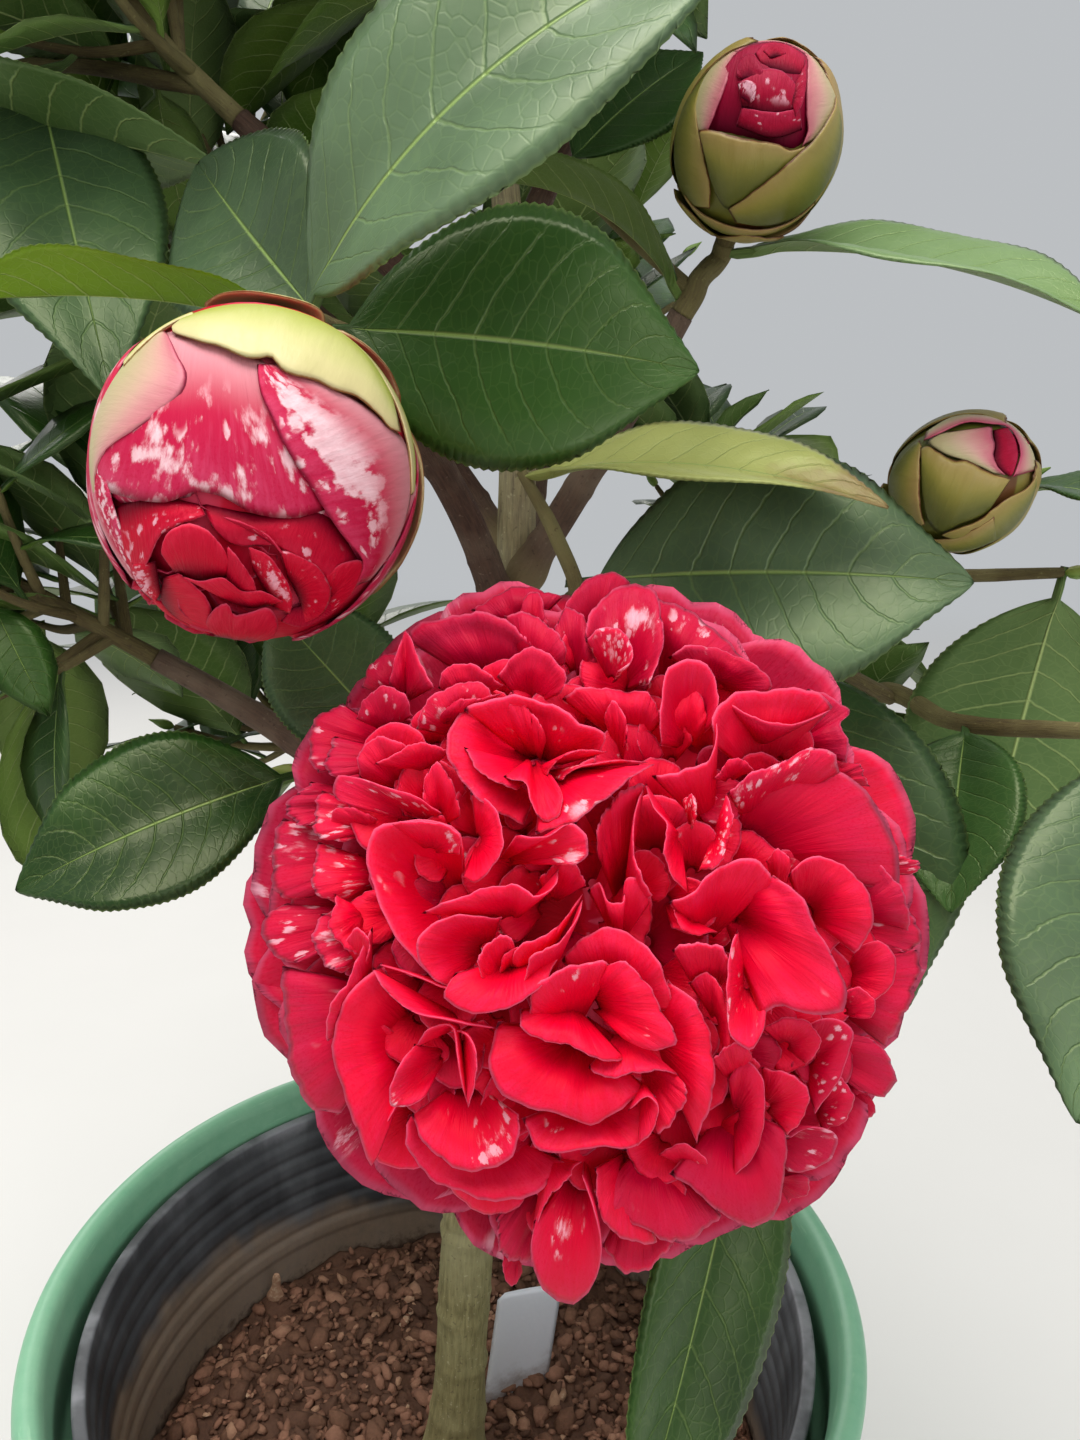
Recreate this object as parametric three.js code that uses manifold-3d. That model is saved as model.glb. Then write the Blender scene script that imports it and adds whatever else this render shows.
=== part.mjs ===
// A camellia shrub in flower, standing in its nursery pot: outer pot, ribbed liner, potting mix, trunk,
// boughs, one open bloom, fat buds and masses of leaves. Millimetres, +Z up, the front faces -Y, and the
// origin is the centre of the pot's flat underside.
import * as THREE from "three";
import { mergeVertices } from "three/addons/utils/BufferGeometryUtils.js";
import Module from "manifold-3d";

const wasm = await Module();
wasm.setup();

// Driving dimensions of the pot, its liner and the mix
const SEAT_GAP = 0.3;
const POT_HEIGHT = 240;
const POT_LIP_RADIUS = 130;
const POT_FOOT_RADIUS = 95;
const POT_NECK_RADIUS = 119;
const POT_WALL = 3;
const POT_FLOOR = 6;
const COLLAR_BOTTOM = 206;
const COLLAR_RADIUS = 126;
const DRAIN_COUNT = 8;
const DRAIN_SIZE = [22, 16, 9];
const LINER_TOP = 228;
const LINER_TOP_RADIUS = 114;
const LINER_FOOT_RADIUS = 87;
const LINER_WALL = 1.6;
const LINER_LIP = 2.4;
const LINER_SHIFT = 3;
const RIB_COUNT = 6;
const RIB_PITCH = 8;
const RIB_DEPTH = 1;
const RIB_TOP = 222;
const MIX_TOP = 168;
const MIX_EDGE_DROP = 5;
const MIX_LUMP = 2.6;
const ROUND_SIDES = 32;
const TAG = { width: 24, height: 58, thick: 0.9, foot: 14, at: [19, 20], turn: 0.35, lean: 0.12 };

// The trunk and the boughs: [x, y, z, radius] from the foot to the tip
const TRUNK_FOOT_Z = MIX_TOP + SEAT_GAP;
const TRUNK = [
  [1, -4, TRUNK_FOOT_Z, 12.4],
  [1, -4, 175, 10.4],
  [2, -4, 190, 9],
  [5, -2, 250, 8.2],
  [9, 0, 320, 7.2],
  [14, -2, 400, 6.2],
  [19, -3, 470, 5.2],
  [18, 2, 530, 4.2],
  [13, 6, 585, 3.2],
];
const FLARE_LOBES = 3;
const FLARE_SHARE = 0.1;
const TRUNK_SIDES = 12;
const BOUGH_SIDES = 7;
const BOUGHS = {
  front: [[14, -2, 398, 4.6], [20, -28, 416, 4.1], [27, -50, 430, 3.6], [31, -66, 436, 3.1]],
  left: [[17, -3, 452, 4.4], [6, -30, 486, 3.8], [-4, -50, 506, 3.3], [-10, -64, 516, 2.9]],
  upper_right: [[19, -3, 462, 4.4], [34, -17, 488, 3.8], [50, -26, 516, 3.2], [57, -29, 529, 2.9]],
  right: [[16, -2, 425, 4.2], [50, -12, 446, 3.6], [82, -26, 464, 3.1], [97, -34, 472, 2.8]],
  middle: [[17, -3, 437, 3.6], [25, -22, 452, 3.1], [31, -34, 461, 2.7]],
  left_low: [[13, -1, 375, 4.6], [-25, 0, 404, 4], [-60, -2, 430, 3.4], [-78, -6, 442, 3]],
  left_high: [[19, 0, 508, 4], [-8, -2, 538, 3.5], [-34, -4, 562, 3.1], [-48, -4, 574, 2.8]],
  back_left: [[19, -2, 468, 4.4], [-6, 24, 500, 3.8], [-34, 44, 528, 3.3], [-50, 52, 542, 2.9]],
  back: [[15, -2, 420, 4.4], [20, 30, 456, 3.8], [24, 58, 488, 3.3], [26, 74, 504, 2.9]],
  back_right: [[11, -1, 346, 4.4], [44, 26, 372, 3.8], [72, 46, 396, 3.3], [84, 54, 406, 2.9]],
  back_low: [[9, 0, 326, 4.2], [-18, 32, 352, 3.7], [-42, 60, 376, 3.2], [-52, 74, 386, 2.9]],
  right_low: [[13, -2, 382, 4.2], [52, -4, 404, 3.7], [92, -14, 426, 3.2], [108, -20, 436, 2.9]],
  right_high: [[17, 3, 542, 3.5], [33, 10, 580, 3.2], [48, 18, 618, 2.9], [54, 22, 634, 2.7]],
  right_back: [[17, -3, 438, 4.2], [44, 26, 452, 3.7], [66, 54, 462, 3.2], [74, 66, 466, 2.9]],
};

// The open bloom: a domed head of ruffled petals on a receptacle
const BLOOM = { centre: [34, -134, 426], facing: [-0.03, -0.93, 0.36], radius: 56, depth: 28 };
const DOME = { radius: 50, height: 30 };
const CORE_SHARE = 0.84;
const PETAL_THICK = 1.3;
const PETAL_BASE = 17;
const GUARD_ROWS = [
  { count: 9, tilt: 92, length: 56, width: 46, phase: 0 },
  { count: 9, tilt: 72, length: 59, width: 42, phase: 20 },
];
const SWIRL_ROWS = [
  { count: 3, tilt: 25, phase: 30 },
  { count: 8, tilt: 62, phase: 0 },
];
const SWIRL_PETALS = 3;
const SWIRL_RADIUS = 14;
const SWIRL_SUNK = 12;

// Buds: [x, y, z] of the middle, the way the tip points, the radius across and the half length
const BUDS = {
  big: { centre: [-22, -106, 495], tip: [-0.08, -0.7, -0.71], radius: 26, half: 28 },
  upper: { centre: [69, -45, 561], tip: [0.12, -0.7, 0.7], radius: 16.5, half: 18 },
  side: { centre: [118, -48, 493], tip: [0.38, -0.75, 0.54], radius: 14.5, half: 15.5 },
};
const BUD_SIDES = 14;
const BUD_RINGS = 7;
const BUD_TIP_PETALS = 5;
const BUD_STALK = 5;

// Leaves: the photographed ones are placed one by one, the others grow by the seeded rule
// Rings of a leaf: the share of its length, the share of its half width, and the thickness of its middle.
// The front leaves have one ring more than the seeded ones.
const LEAF_RINGS = [
  [0, 0.05, 1.2],
  [0.3, 0.86, 1.3],
  [0.66, 0.9, 1.2],
];
const SEEDED_RINGS = [
  [0, 0.05, 1.2],
  [0.46, 1, 1.3],
];
const LEAF_DOTS = [[0.22, 0.6], [0.35, 0.92], [0.48, 1], [0.6, 0.97], [0.74, 0.75], [0.87, 0.4], [1, 0.02]];
const STEM_SIDES = 5;
const TWIG_SIDES = 3;
const STEM_STRAIGHT = 6;
const SEED = 4021;

// Twigs of the front of the crown: the stem beyond its bough's tip as [x, y, z, radius], the flower or bud
// that it holds, and its side twigs from a place along it
const FRONT = {
  front: {
    stem: [[33, -84, 425, 2.6]],
    holds: "bloom",
    twigs: {
      under: { from: 0.5, line: [[52, -88, 408, 1.9], [70, -103, 394, 1.5]] },
      lower_left: { from: 0.3, line: [[6, -74, 432, 1.9], [-24, -72, 432, 1.4]] },
    },
  },
  left: { stem: [[-15, -73, 521, 2.5]], holds: "big", twigs: {} },
  upper_right: {
    stem: [[60, -30, 535, 2.6]],
    holds: "upper",
    twigs: { behind: { from: 0.25, line: [[44, -20, 548, 1.6], [30, -9, 563, 1.3]] } },
  },
  right: {
    stem: [[103, -34, 473, 2.4]],
    holds: "side",
    twigs: {
      over: { from: 0.4, line: [[120, -28, 484, 1.7], [134, -34, 492, 1.3]] },
      drop: { from: 0.2, line: [[122, -26, 470, 1.7], [150, -34, 472, 1.3]] },
    },
  },
  middle: { stem: [[34, -41, 466, 2.1], [29, -43, 480, 1.8], [21, -41, 494, 1.3]], twigs: {} },
  left_high: {
    stem: [[-74, -6, 600, 2.3], [-92, -8, 640, 1.6]],
    twigs: { far: { from: 0.12, line: [[-104, 8, 588, 1.8], [-144, 4, 572, 1.4]] } },
  },
  right_low: {
    stem: [[124, -40, 437, 2.2], [138, -66, 442, 1.9], [150, -88, 448, 1.5]],
    twigs: { behind: { from: 0.12, line: [[98, -34, 448, 1.7], [86, -41, 455, 1.3]] } },
  },
};

// Leaves of the front of the crown: the mass, the twig, the place along it, the tip, the way the upper face
// looks at mid length, the width, and the bend and the fold in degrees
const FRONT_LEAVES = [
  ["left", "stem", 0.92, [66, -99, 579], [-0.25, -0.95, 0.15], 54, 26, 14],
  ["left", "stem", 0.6, [54, -86, 514], [-0.05, -0.95, 0.3], 50, 28, 12],
  ["left", "stem", 0.76, [-78, -94, 523], [0, 0.1, 1], 36, 26, 22],
  ["left", "stem", 0.5, [-50, -33, 558], [-0.3, -0.9, 0.2], 44, 20, 14],
  ["front", "lower_left", 1, [-78, -93, 413], [-0.1, -0.75, 0.65], 40, 30, 20],
  ["front", "under", 1, [49, -156, 319], [0.1, -0.9, 0.35], 34, 16, 16],
  ["front", "lower_left", 0.55, [-33, -62, 467], [0.2, -0.9, 0.3], 30, 20, 12],
  ["upper_right", "stem", 0.1, [10, -16, 559], [0.2, 0.1, 1], 34, 62, 24],
  ["upper_right", "stem", 0.85, [138, -72, 522], [0.3, -0.5, 0.8], 38, 34, 20],
  ["upper_right", "behind", 1, [62, -6, 589], [0, -0.6, 0.8], 38, 24, 14],
  ["middle", "stem", 0.97, [95, -66, 489], [0.1, -0.15, 1], 32, 34, 24],
  ["middle", "stem", 0.3, [115, -69, 474], [-0.2, -0.95, 0.3], 58, 30, 14],
  ["right", "over", 1, [173, -66, 479], [0.1, -0.3, 0.9], 34, 40, 18],
  ["right", "drop", 1, [138, -40, 399], [0.1, 0.95, 0.2], 56, 10, 12],
  ["left_high", "far", 1, [-48, -23, 559], [-0.1, 0.5, 1], 46, 22, 16],
  ["left_high", "far", 0.5, [-66, -52, 508], [0.2, -0.8, 0.5], 44, 24, 16],
  ["left_high", "stem", 0.8, [-106, -64, 600], [-0.1, -0.7, 0.7], 42, 24, 14],
  ["right_low", "behind", 1, [109, -75, 379], [-0.2, -0.9, 0.25], 48, 30, 14],
  ["right_low", "stem", 0.4, [115, -78, 404], [-0.5, -0.7, 0.4], 34, 30, 26],
  ["right_low", "stem", 0.96, [119, -131, 390], [-0.3, -0.85, 0.4], 46, 24, 16],
];

// Every mass: how many seeded shoots its stem throws and, where no photographed stem is given above, the way
// its stem heads and how long it is
const GROWTH = {
  front: { shoots: 0 },
  left: { shoots: 0 },
  upper_right: { shoots: 0 },
  right: { shoots: 0 },
  middle: { shoots: 0 },
  top: { shoots: 11, heads: [-0.04, 0.06, 1], length: 64 },
  right_low: { shoots: 6 },
  right_high: { shoots: 9, heads: [0.66, 0.2, 0.72], length: 56 },
  right_back: { shoots: 9, heads: [0.3, 0.9, -0.1], length: 52 },
  back_right: { shoots: 10, heads: [0.8, 0.5, 0.2], length: 58 },
  back_low: { shoots: 10, heads: [-0.56, 0.74, 0.3], length: 58 },
  back: { shoots: 10, heads: [0.1, 0.8, 0.6], length: 64 },
  left_low: { shoots: 10, heads: [-0.84, -0.1, 0.5], length: 60 },
  back_left: { shoots: 10, heads: [-0.62, 0.56, 0.56], length: 60 },
  left_high: { shoots: 9 },
};
const GOLDEN_TURN = THREE.MathUtils.degToRad(137.5);
const STEM_RADII = [2.6, 2.4, 2, 1.5];
const STEM_WANDER = 0.22;
const SHOOT = { length: [38, 56], lean: [40, 66], radii: [1.7, 1.4, 1.1], from: 0.12, lift: 0.25, fewest: 2 };
const SHOOT_LEAVES = 6;
const LEAF = { length: [70, 96], shape: 0.52, lean: [44, 72], bend: [12, 46], fold: [10, 26], from: 0.3, swing: 0.6,
  shrink: [1, 0.95, 0.88, 0.8, 0.74] };
// How far new growth keeps from leaf points of its own mass and of the others, and from twigs, limbs, flowers
const CLEAR = { own: 5.5, other: 9, twig: 4, limb: 4.5, flower: 6, shoot: 0.6 };
const CROWN = { centre: [4, 26, 528], radii: [226, 206, 204] };
// Where nothing seeded grows: the parting in front of the boughs, and what stays open in the view from a
// viewpoint at the front. The view looks along +Y, tipped down by a pitch, and its windows are in tangents
// of the angles across and up: [left, right, bottom, top].
const PARTING = { low: [-150, -400, 200], high: [190, -52, 606] };
const VIEWPOINT = { at: [26, -292, 504], pitch: 15.2 };
const WINDOWS = [
  [0.148, 0.5, 0.314, 0.666],
  [0.314, 0.5, 0.111, 0.314],
  [0.296, 0.5, -0.666, -0.194],
  [-0.333, 0.3, -0.666, -0.342],
  [-0.055, 0.055, 0.111, 0.259],
];

// A sequence of numbers from 0 to 1 that is the same each time
class Seeded {
  constructor(seed) {
    this.state = seed;
  }
  next() {
    this.state = (this.state * 1664525 + 1013904223) % 4294967296;
    return this.state / 4294967296;
  }
  between([low, high]) {
    return low + (high - low) * this.next();
  }
}

const vec = (p) => new THREE.Vector3(p[0], p[1], p[2]);

// A unit vector square to direction, as near to wanted as it can be
function squared(direction, wanted) {
  const out = wanted.clone().addScaledVector(direction, -wanted.dot(direction));
  if (out.lengthSq() < 1e-6) out.set(1, 0, 0).addScaledVector(direction, -direction.x);
  return out.normalize();
}

// A closed geometry from rings of points, each joined to the next. A ring of one point closes an end in a
// tip, and any other end is capped by a fan.
function loft(rings) {
  const sides = Math.max(...rings.map((ring) => ring.length));
  const faces = [];
  let start = 0;
  for (let k = 0; k + 1 < rings.length; k++) {
    const next = start + rings[k].length;
    for (let i = 0; i < sides; i++) {
      const j = (i + 1) % sides;
      if (rings[k].length === 1) faces.push(start, next + j, next + i);
      else if (rings[k + 1].length === 1) faces.push(start + i, start + j, next);
      else faces.push(start + i, start + j, next + j, start + i, next + j, next + i);
    }
    start = next;
  }
  for (let i = 1; i + 1 < rings[0].length; i++) faces.push(0, i + 1, i);
  for (let i = 1; i + 1 < rings.at(-1).length; i++) faces.push(start, start + i, start + i + 1);
  return geometryOf(rings.flat(), faces);
}

function geometryOf(points, faces) {
  const geometry = new THREE.BufferGeometry();
  geometry.setAttribute("position", new THREE.Float32BufferAttribute(points.flatMap((p) => [p.x, p.y, p.z]), 3));
  geometry.setIndex(faces);
  return geometry;
}

// A solid for cutting and joining, from a closed geometry
function solidOf(geometry) {
  const bare = geometry.clone();
  bare.deleteAttribute("normal");
  bare.deleteAttribute("uv");
  const merged = mergeVertices(bare, 1e-4);
  const solid = new wasm.Manifold(
    new wasm.Mesh({
      numProp: 3,
      vertProperties: merged.attributes.position.array,
      triVerts: new Uint32Array(merged.index.array),
    }),
  );
  if (solid.volume() < 0) throw new Error("a geometry is inside out");
  return solid;
}

// The largest piece of a solid, without the loose scraps
function largest(solid) {
  const pieces = solid.decompose();
  return pieces.reduce((best, piece) => (piece.volume() > best.volume() ? piece : best));
}

function joined(solids) {
  return solids.reduce((all, solid) => all.add(solid));
}

function meshOf(name, solid, material) {
  const { numProp, vertProperties, triVerts } = solid.getMesh();
  const geometry = new THREE.BufferGeometry();
  const count = vertProperties.length / numProp;
  const position = new Float32Array(count * 3);
  for (let i = 0; i < count; i++) position.set(vertProperties.subarray(i * numProp, i * numProp + 3), i * 3);
  geometry.setAttribute("position", new THREE.BufferAttribute(position, 3));
  geometry.setIndex(new THREE.BufferAttribute(triVerts, 1));
  geometry.computeVertexNormals();
  const mesh = new THREE.Mesh(geometry, material);
  mesh.name = name;
  return mesh;
}

// Rings square to a line of [x, y, z, radius] points, turned as little as possible from one to the next
function limbRings(line, sides, grow = 0, flare = () => 1) {
  const points = line.map(vec);
  let across = null;
  return line.map(([, , , radius], k) => {
    const ahead = points[Math.min(k + 1, points.length - 1)];
    const behind = points[Math.max(k - 1, 0)];
    const along = ahead.clone().sub(behind).normalize();
    if (k === 0 && flare(0, 0) !== 1) along.set(0, 0, 1);
    across = squared(along, across ?? new THREE.Vector3(1, 0, 0.01));
    const third = along.clone().cross(across);
    return Array.from({ length: sides }, (_, i) => {
      const angle = (i / sides) * Math.PI * 2;
      const reach = (radius + grow) * flare(k, angle);
      return points[k]
        .clone()
        .addScaledVector(across, Math.cos(angle) * reach)
        .addScaledVector(third, Math.sin(angle) * reach);
    });
  });
}

function limb(line, sides, grow) {
  return solidOf(loft(limbRings(line, sides, grow)));
}

// The root flare: three low lobes that fade out above the foot
function trunkFlare(k, angle) {
  const share = k < 3 ? FLARE_SHARE * (1 - k / 3) : 0;
  return 1 + share * Math.cos(FLARE_LOBES * angle + 0.6);
}

function trunkSolid(grow) {
  return solidOf(loft(limbRings(TRUNK, TRUNK_SIDES, grow, trunkFlare)));
}

function lathe(profile, sides) {
  return solidOf(new THREE.LatheGeometry(profile.map(([r, z]) => new THREE.Vector2(r, z)), sides).rotateX(Math.PI / 2));
}

// The outer pot: a tapered tub with a collar and a rolled lip, and drain notches round its foot
function outerPot() {
  const lip = POT_LIP_RADIUS;
  const inner = lip - 8.4;
  const profile = [
    [0, 0],
    [POT_FOOT_RADIUS - 3, 0],
    [POT_FOOT_RADIUS, 3],
    [POT_NECK_RADIUS, COLLAR_BOTTOM],
    [COLLAR_RADIUS - 2, COLLAR_BOTTOM + 2],
    [COLLAR_RADIUS, POT_HEIGHT - 9],
    [lip - 1, POT_HEIGHT - 7],
    [lip, POT_HEIGHT - 4],
    [lip - 1.2, POT_HEIGHT - 1.2],
    [lip - 3.6, POT_HEIGHT],
    [lip - 6.6, POT_HEIGHT - 1],
    [inner, POT_HEIGHT - 4],
    [inner - 1.6, POT_HEIGHT - 12],
    [COLLAR_RADIUS - POT_WALL - 3, COLLAR_BOTTOM + 4],
    [POT_NECK_RADIUS - POT_WALL, COLLAR_BOTTOM - 2],
    [POT_FOOT_RADIUS - POT_WALL, POT_FLOOR],
    [0, POT_FLOOR],
  ];
  let pot = lathe(profile, ROUND_SIDES);
  for (let k = 0; k < DRAIN_COUNT; k++) {
    const angle = ((k + 0.5) / DRAIN_COUNT) * Math.PI * 2;
    const notch = new THREE.BoxGeometry(...DRAIN_SIZE);
    notch.translate(POT_FOOT_RADIUS - 1, 0, POT_FLOOR + 8).rotateZ(angle);
    pot = pot.subtract(solidOf(notch));
  }
  return pot;
}

// Radius of the liner's outer face at a height
function linerRadius(z) {
  const share = (z - POT_FLOOR) / (LINER_TOP - POT_FLOOR);
  return LINER_FOOT_RADIUS + (LINER_TOP_RADIUS - LINER_FOOT_RADIUS) * share;
}

// The liner: a thin pot with ribs round the inside of its upper wall
function liner() {
  const foot = POT_FLOOR + SEAT_GAP;
  const outer = [
    [0, foot],
    [linerRadius(foot), foot],
    [linerRadius(LINER_TOP - 5), LINER_TOP - 5],
    [LINER_TOP_RADIUS + LINER_LIP, LINER_TOP - 3],
    [LINER_TOP_RADIUS + LINER_LIP, LINER_TOP],
  ];
  const inner = [[linerRadius(LINER_TOP) - LINER_WALL, LINER_TOP]];
  for (let k = 0; k < RIB_COUNT; k++) {
    const z = RIB_TOP - k * RIB_PITCH;
    inner.push([linerRadius(z) - LINER_WALL, z]);
    inner.push([linerRadius(z - RIB_PITCH / 2) - LINER_WALL - RIB_DEPTH, z - RIB_PITCH / 2]);
  }
  const lowest = RIB_TOP - RIB_COUNT * RIB_PITCH;
  inner.push([linerRadius(lowest) - LINER_WALL, lowest]);
  inner.push([linerRadius(foot) - LINER_WALL, foot + LINER_WALL]);
  inner.push([0, foot + LINER_WALL]);
  const solid = lathe([...outer, ...inner], ROUND_SIDES);
  return solid.translate([0, LINER_SHIFT, 0]);
}

// Height of the mix at a place: level round the trunk's foot, lumpy further out and lower at the wall
function mixHeight(x, y) {
  const [footX, footY] = TRUNK[0];
  const away = Math.hypot(x - footX, y - footY);
  const lumps = Math.sin(x * 0.11 + 1.3) * Math.cos(y * 0.13) + 0.6 * Math.sin(x * 0.23 - y * 0.19);
  const fade = THREE.MathUtils.smoothstep(away, 17, 40);
  const edge = THREE.MathUtils.smoothstep(Math.hypot(x, y), 60, 108);
  return MIX_TOP + fade * lumps * MIX_LUMP - edge * MIX_EDGE_DROP;
}

// The potting mix: fills the liner up to its lumpy top
function pottingMix() {
  const low = POT_FLOOR + SEAT_GAP + LINER_WALL + SEAT_GAP;
  const gap = LINER_WALL + SEAT_GAP + 0.2;
  const steps = [1, 0.84, 0.66, 0.48, 0.3, 0.15];
  const [footX, footY] = TRUNK[0];
  const edgeZ = MIX_TOP - MIX_EDGE_DROP;
  const ring = (share, height) =>
    Array.from({ length: ROUND_SIDES }, (_, i) => {
      const angle = (i / ROUND_SIDES) * Math.PI * 2;
      const reach = (linerRadius(edgeZ - 4) - gap) * Math.min(share, 1);
      const x = footX * (1 - share) + Math.cos(angle) * reach;
      const y = footY * (1 - share) + Math.sin(angle) * reach + LINER_SHIFT * share;
      return new THREE.Vector3(x, y, height(x, y));
    });
  const lowRing = ring(1, () => low).map((p) => {
    const share = (linerRadius(low) - gap) / (linerRadius(edgeZ - 4) - gap);
    return new THREE.Vector3(p.x * share, (p.y - LINER_SHIFT) * share + LINER_SHIFT, low);
  });
  const rings = [lowRing, ring(1, () => edgeZ - 4), ...steps.slice(1).map((share) => ring(share, mixHeight))];
  return solidOf(loft(rings));
}

// A plain white card stuck in the mix behind the trunk, and the slot that it stands in
function tagBox(grow) {
  const box = new THREE.BoxGeometry(TAG.width + grow, TAG.thick + grow, TAG.height + grow);
  box.translate(0, 0, TAG.height / 2).rotateY(TAG.lean).rotateZ(TAG.turn);
  box.translate(TAG.at[0], TAG.at[1], MIX_TOP - TAG.foot);
  return solidOf(box);
}

// A thin closed sheet from a grid of points and the normals there: thick in the middle, sharp round its rim
function sheet(grid, normals, thick) {
  const rows = grid.length;
  const columns = grid[0].length;
  const points = [];
  const numbers = new Map();
  const numberOf = (side, r, c) => {
    const onRim = r === 0 || c === 0 || r === rows - 1 || c === columns - 1;
    const key = `${onRim ? 0 : side},${r},${c}`;
    if (!numbers.has(key)) {
      numbers.set(key, points.length);
      points.push(grid[r][c].clone().addScaledVector(normals[r][c], onRim ? 0 : (side * thick) / 2));
    }
    return numbers.get(key);
  };
  const faces = [];
  for (let r = 0; r + 1 < rows; r++)
    for (let c = 0; c + 1 < columns; c++)
      for (const side of [1, -1]) {
        const [p, q, u, v] = [[r, c], [r, c + 1], [r + 1, c + 1], [r + 1, c]].map(([i, j]) => numberOf(side, i, j));
        if (side === 1) faces.push(p, q, u, p, u, v);
        else faces.push(p, u, q, p, v, u);
      }
  return geometryOf(points, faces);
}

// A unit frame [across, third] square to a direction
function frameAt(along, wanted = new THREE.Vector3(0, 0, 1)) {
  const across = squared(along, wanted);
  return [across, along.clone().cross(across)];
}

// A spot at a share of the length of a line of [x, y, z, radius] points, and the direction there
function spotOn(line, share) {
  const points = line.map(vec);
  const lengths = points.slice(1).map((p, i) => p.distanceTo(points[i]));
  let left = share * lengths.reduce((sum, length) => sum + length, 0);
  let k = 0;
  while (k + 1 < lengths.length && left > lengths[k]) left -= lengths[k++];
  const along = points[k + 1].clone().sub(points[k]).normalize();
  return { at: points[k].clone().addScaledVector(along, left), along };
}

// Points every few millimetres along a line, for keeping clear of it
function dotsAlong(line, step) {
  const dots = [];
  for (let k = 0; k + 1 < line.length; k++) {
    const [a, b] = [vec(line[k]), vec(line[k + 1])];
    const count = Math.ceil(a.distanceTo(b) / step);
    for (let i = 0; i < count; i++) dots.push(a.clone().lerp(b, i / count));
  }
  dots.push(vec(line.at(-1)));
  return dots;
}

// What stands in the crown already, as points with the distance that new growth keeps from them: own for
// growth of the same mass and other for the rest
class Space {
  constructor() {
    this.dots = [];
  }
  add(owner, points, own, other) {
    for (const at of points) this.dots.push({ at, owner, own, other });
  }
  clear(owner, points, share) {
    return points.every((p) =>
      this.dots.every((dot) => p.distanceTo(dot.at) >= share * (dot.owner === owner ? dot.own : dot.other)),
    );
  }
}

// Whether a place is seen through one of the windows
function inWindow(p) {
  const pitch = THREE.MathUtils.degToRad(VIEWPOINT.pitch);
  const [x, y, z] = p.toArray().map((value, i) => value - VIEWPOINT.at[i]);
  const depth = y * Math.cos(pitch) - z * Math.sin(pitch);
  const rise = (y * Math.sin(pitch) + z * Math.cos(pitch)) / depth;
  return WINDOWS.some(([l, r, b, t]) => x > l * depth && x < r * depth && rise > b && rise < t);
}

// Whether the seeded growth may be at a place: inside the crown, out of the parting and of the windows
function inCrown(p) {
  const [x, y, z] = p.toArray().map((value, i) => (value - CROWN.centre[i]) / CROWN.radii[i]);
  const parted = p.toArray().every((value, i) => value > PARTING.low[i] && value < PARTING.high[i]);
  return x * x + y * y + z * z < 1 && !parted && !inWindow(p);
}

// A leaf from its root: an arc that bends away from its upper side, with the two halves folded up.
// The frame is the direction at the root, the way the upper side looks there, and the side between them.
class Leaf {
  constructor(root, along, face, { length, width, bend, fold }) {
    this.root = root;
    this.along = along;
    this.face = squared(along, face);
    this.side = this.face.clone().cross(along);
    Object.assign(this, { length, width, bend: THREE.MathUtils.degToRad(bend), fold: THREE.MathUtils.degToRad(fold) });
  }
  // A leaf from its root to a known tip, with its upper side looking a given way at mid length
  static reaching(root, tip, face, width, bend, fold) {
    const half = THREE.MathUtils.degToRad(bend) / 2;
    const chord = tip.clone().sub(root);
    const span = chord.length();
    chord.normalize();
    const middle = squared(chord, face);
    const along = chord.clone().multiplyScalar(Math.cos(half)).addScaledVector(middle, Math.sin(half));
    const top = middle.clone().multiplyScalar(Math.cos(half)).addScaledVector(chord, -Math.sin(half));
    return new Leaf(root, along, top, { length: (span * half) / Math.sin(half), width, bend, fold });
  }
  // The middle of the blade and its upper direction at a share t of the length
  midrib(t) {
    const turn = this.bend * t;
    const ahead = (this.length * Math.sin(turn)) / this.bend;
    const down = (this.length * (1 - Math.cos(turn))) / this.bend;
    const at = this.root.clone().addScaledVector(this.along, ahead).addScaledVector(this.face, -down);
    const up = this.face.clone().multiplyScalar(Math.cos(turn)).addScaledVector(this.along, Math.sin(turn));
    return { at, up };
  }
  // A point of the blade: t along it and u from -1 to 1 across it, for a half width
  point(t, u, half) {
    const { at, up } = this.midrib(t);
    return at
      .addScaledVector(this.side, u * half * Math.cos(this.fold))
      .addScaledVector(up, Math.abs(u) * half * Math.sin(this.fold));
  }
  dots() {
    const points = [];
    for (const [t, share] of LEAF_DOTS)
      for (const u of [-1, -0.5, 0, 0.5, 1]) points.push(this.point(t, u, (this.width / 2) * share));
    return points;
  }
  solid(stations) {
    const rings = stations.map(([t, share, thick]) => {
      const { at, up } = this.midrib(t);
      const half = (this.width / 2) * share;
      const lift = up.clone().multiplyScalar(thick / 2);
      return [this.point(t, -1, half), at.clone().sub(lift), this.point(t, 1, half), at.clone().add(lift)];
    });
    rings.push([this.midrib(1).at]);
    return solidOf(loft(rings));
  }
}

// The trunk and the boughs fill space before anything grows
function fillLimbs(space) {
  for (const line of [TRUNK, ...Object.values(BOUGHS)])
    for (const [x, y, z, radius] of line.slice(0, -1)) {
      const k = line.findIndex((p) => p[0] === x && p[1] === y && p[2] === z);
      space.add(null, dotsAlong(line.slice(k, k + 2), 5), radius + CLEAR.limb, radius + CLEAR.limb);
    }
}

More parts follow.
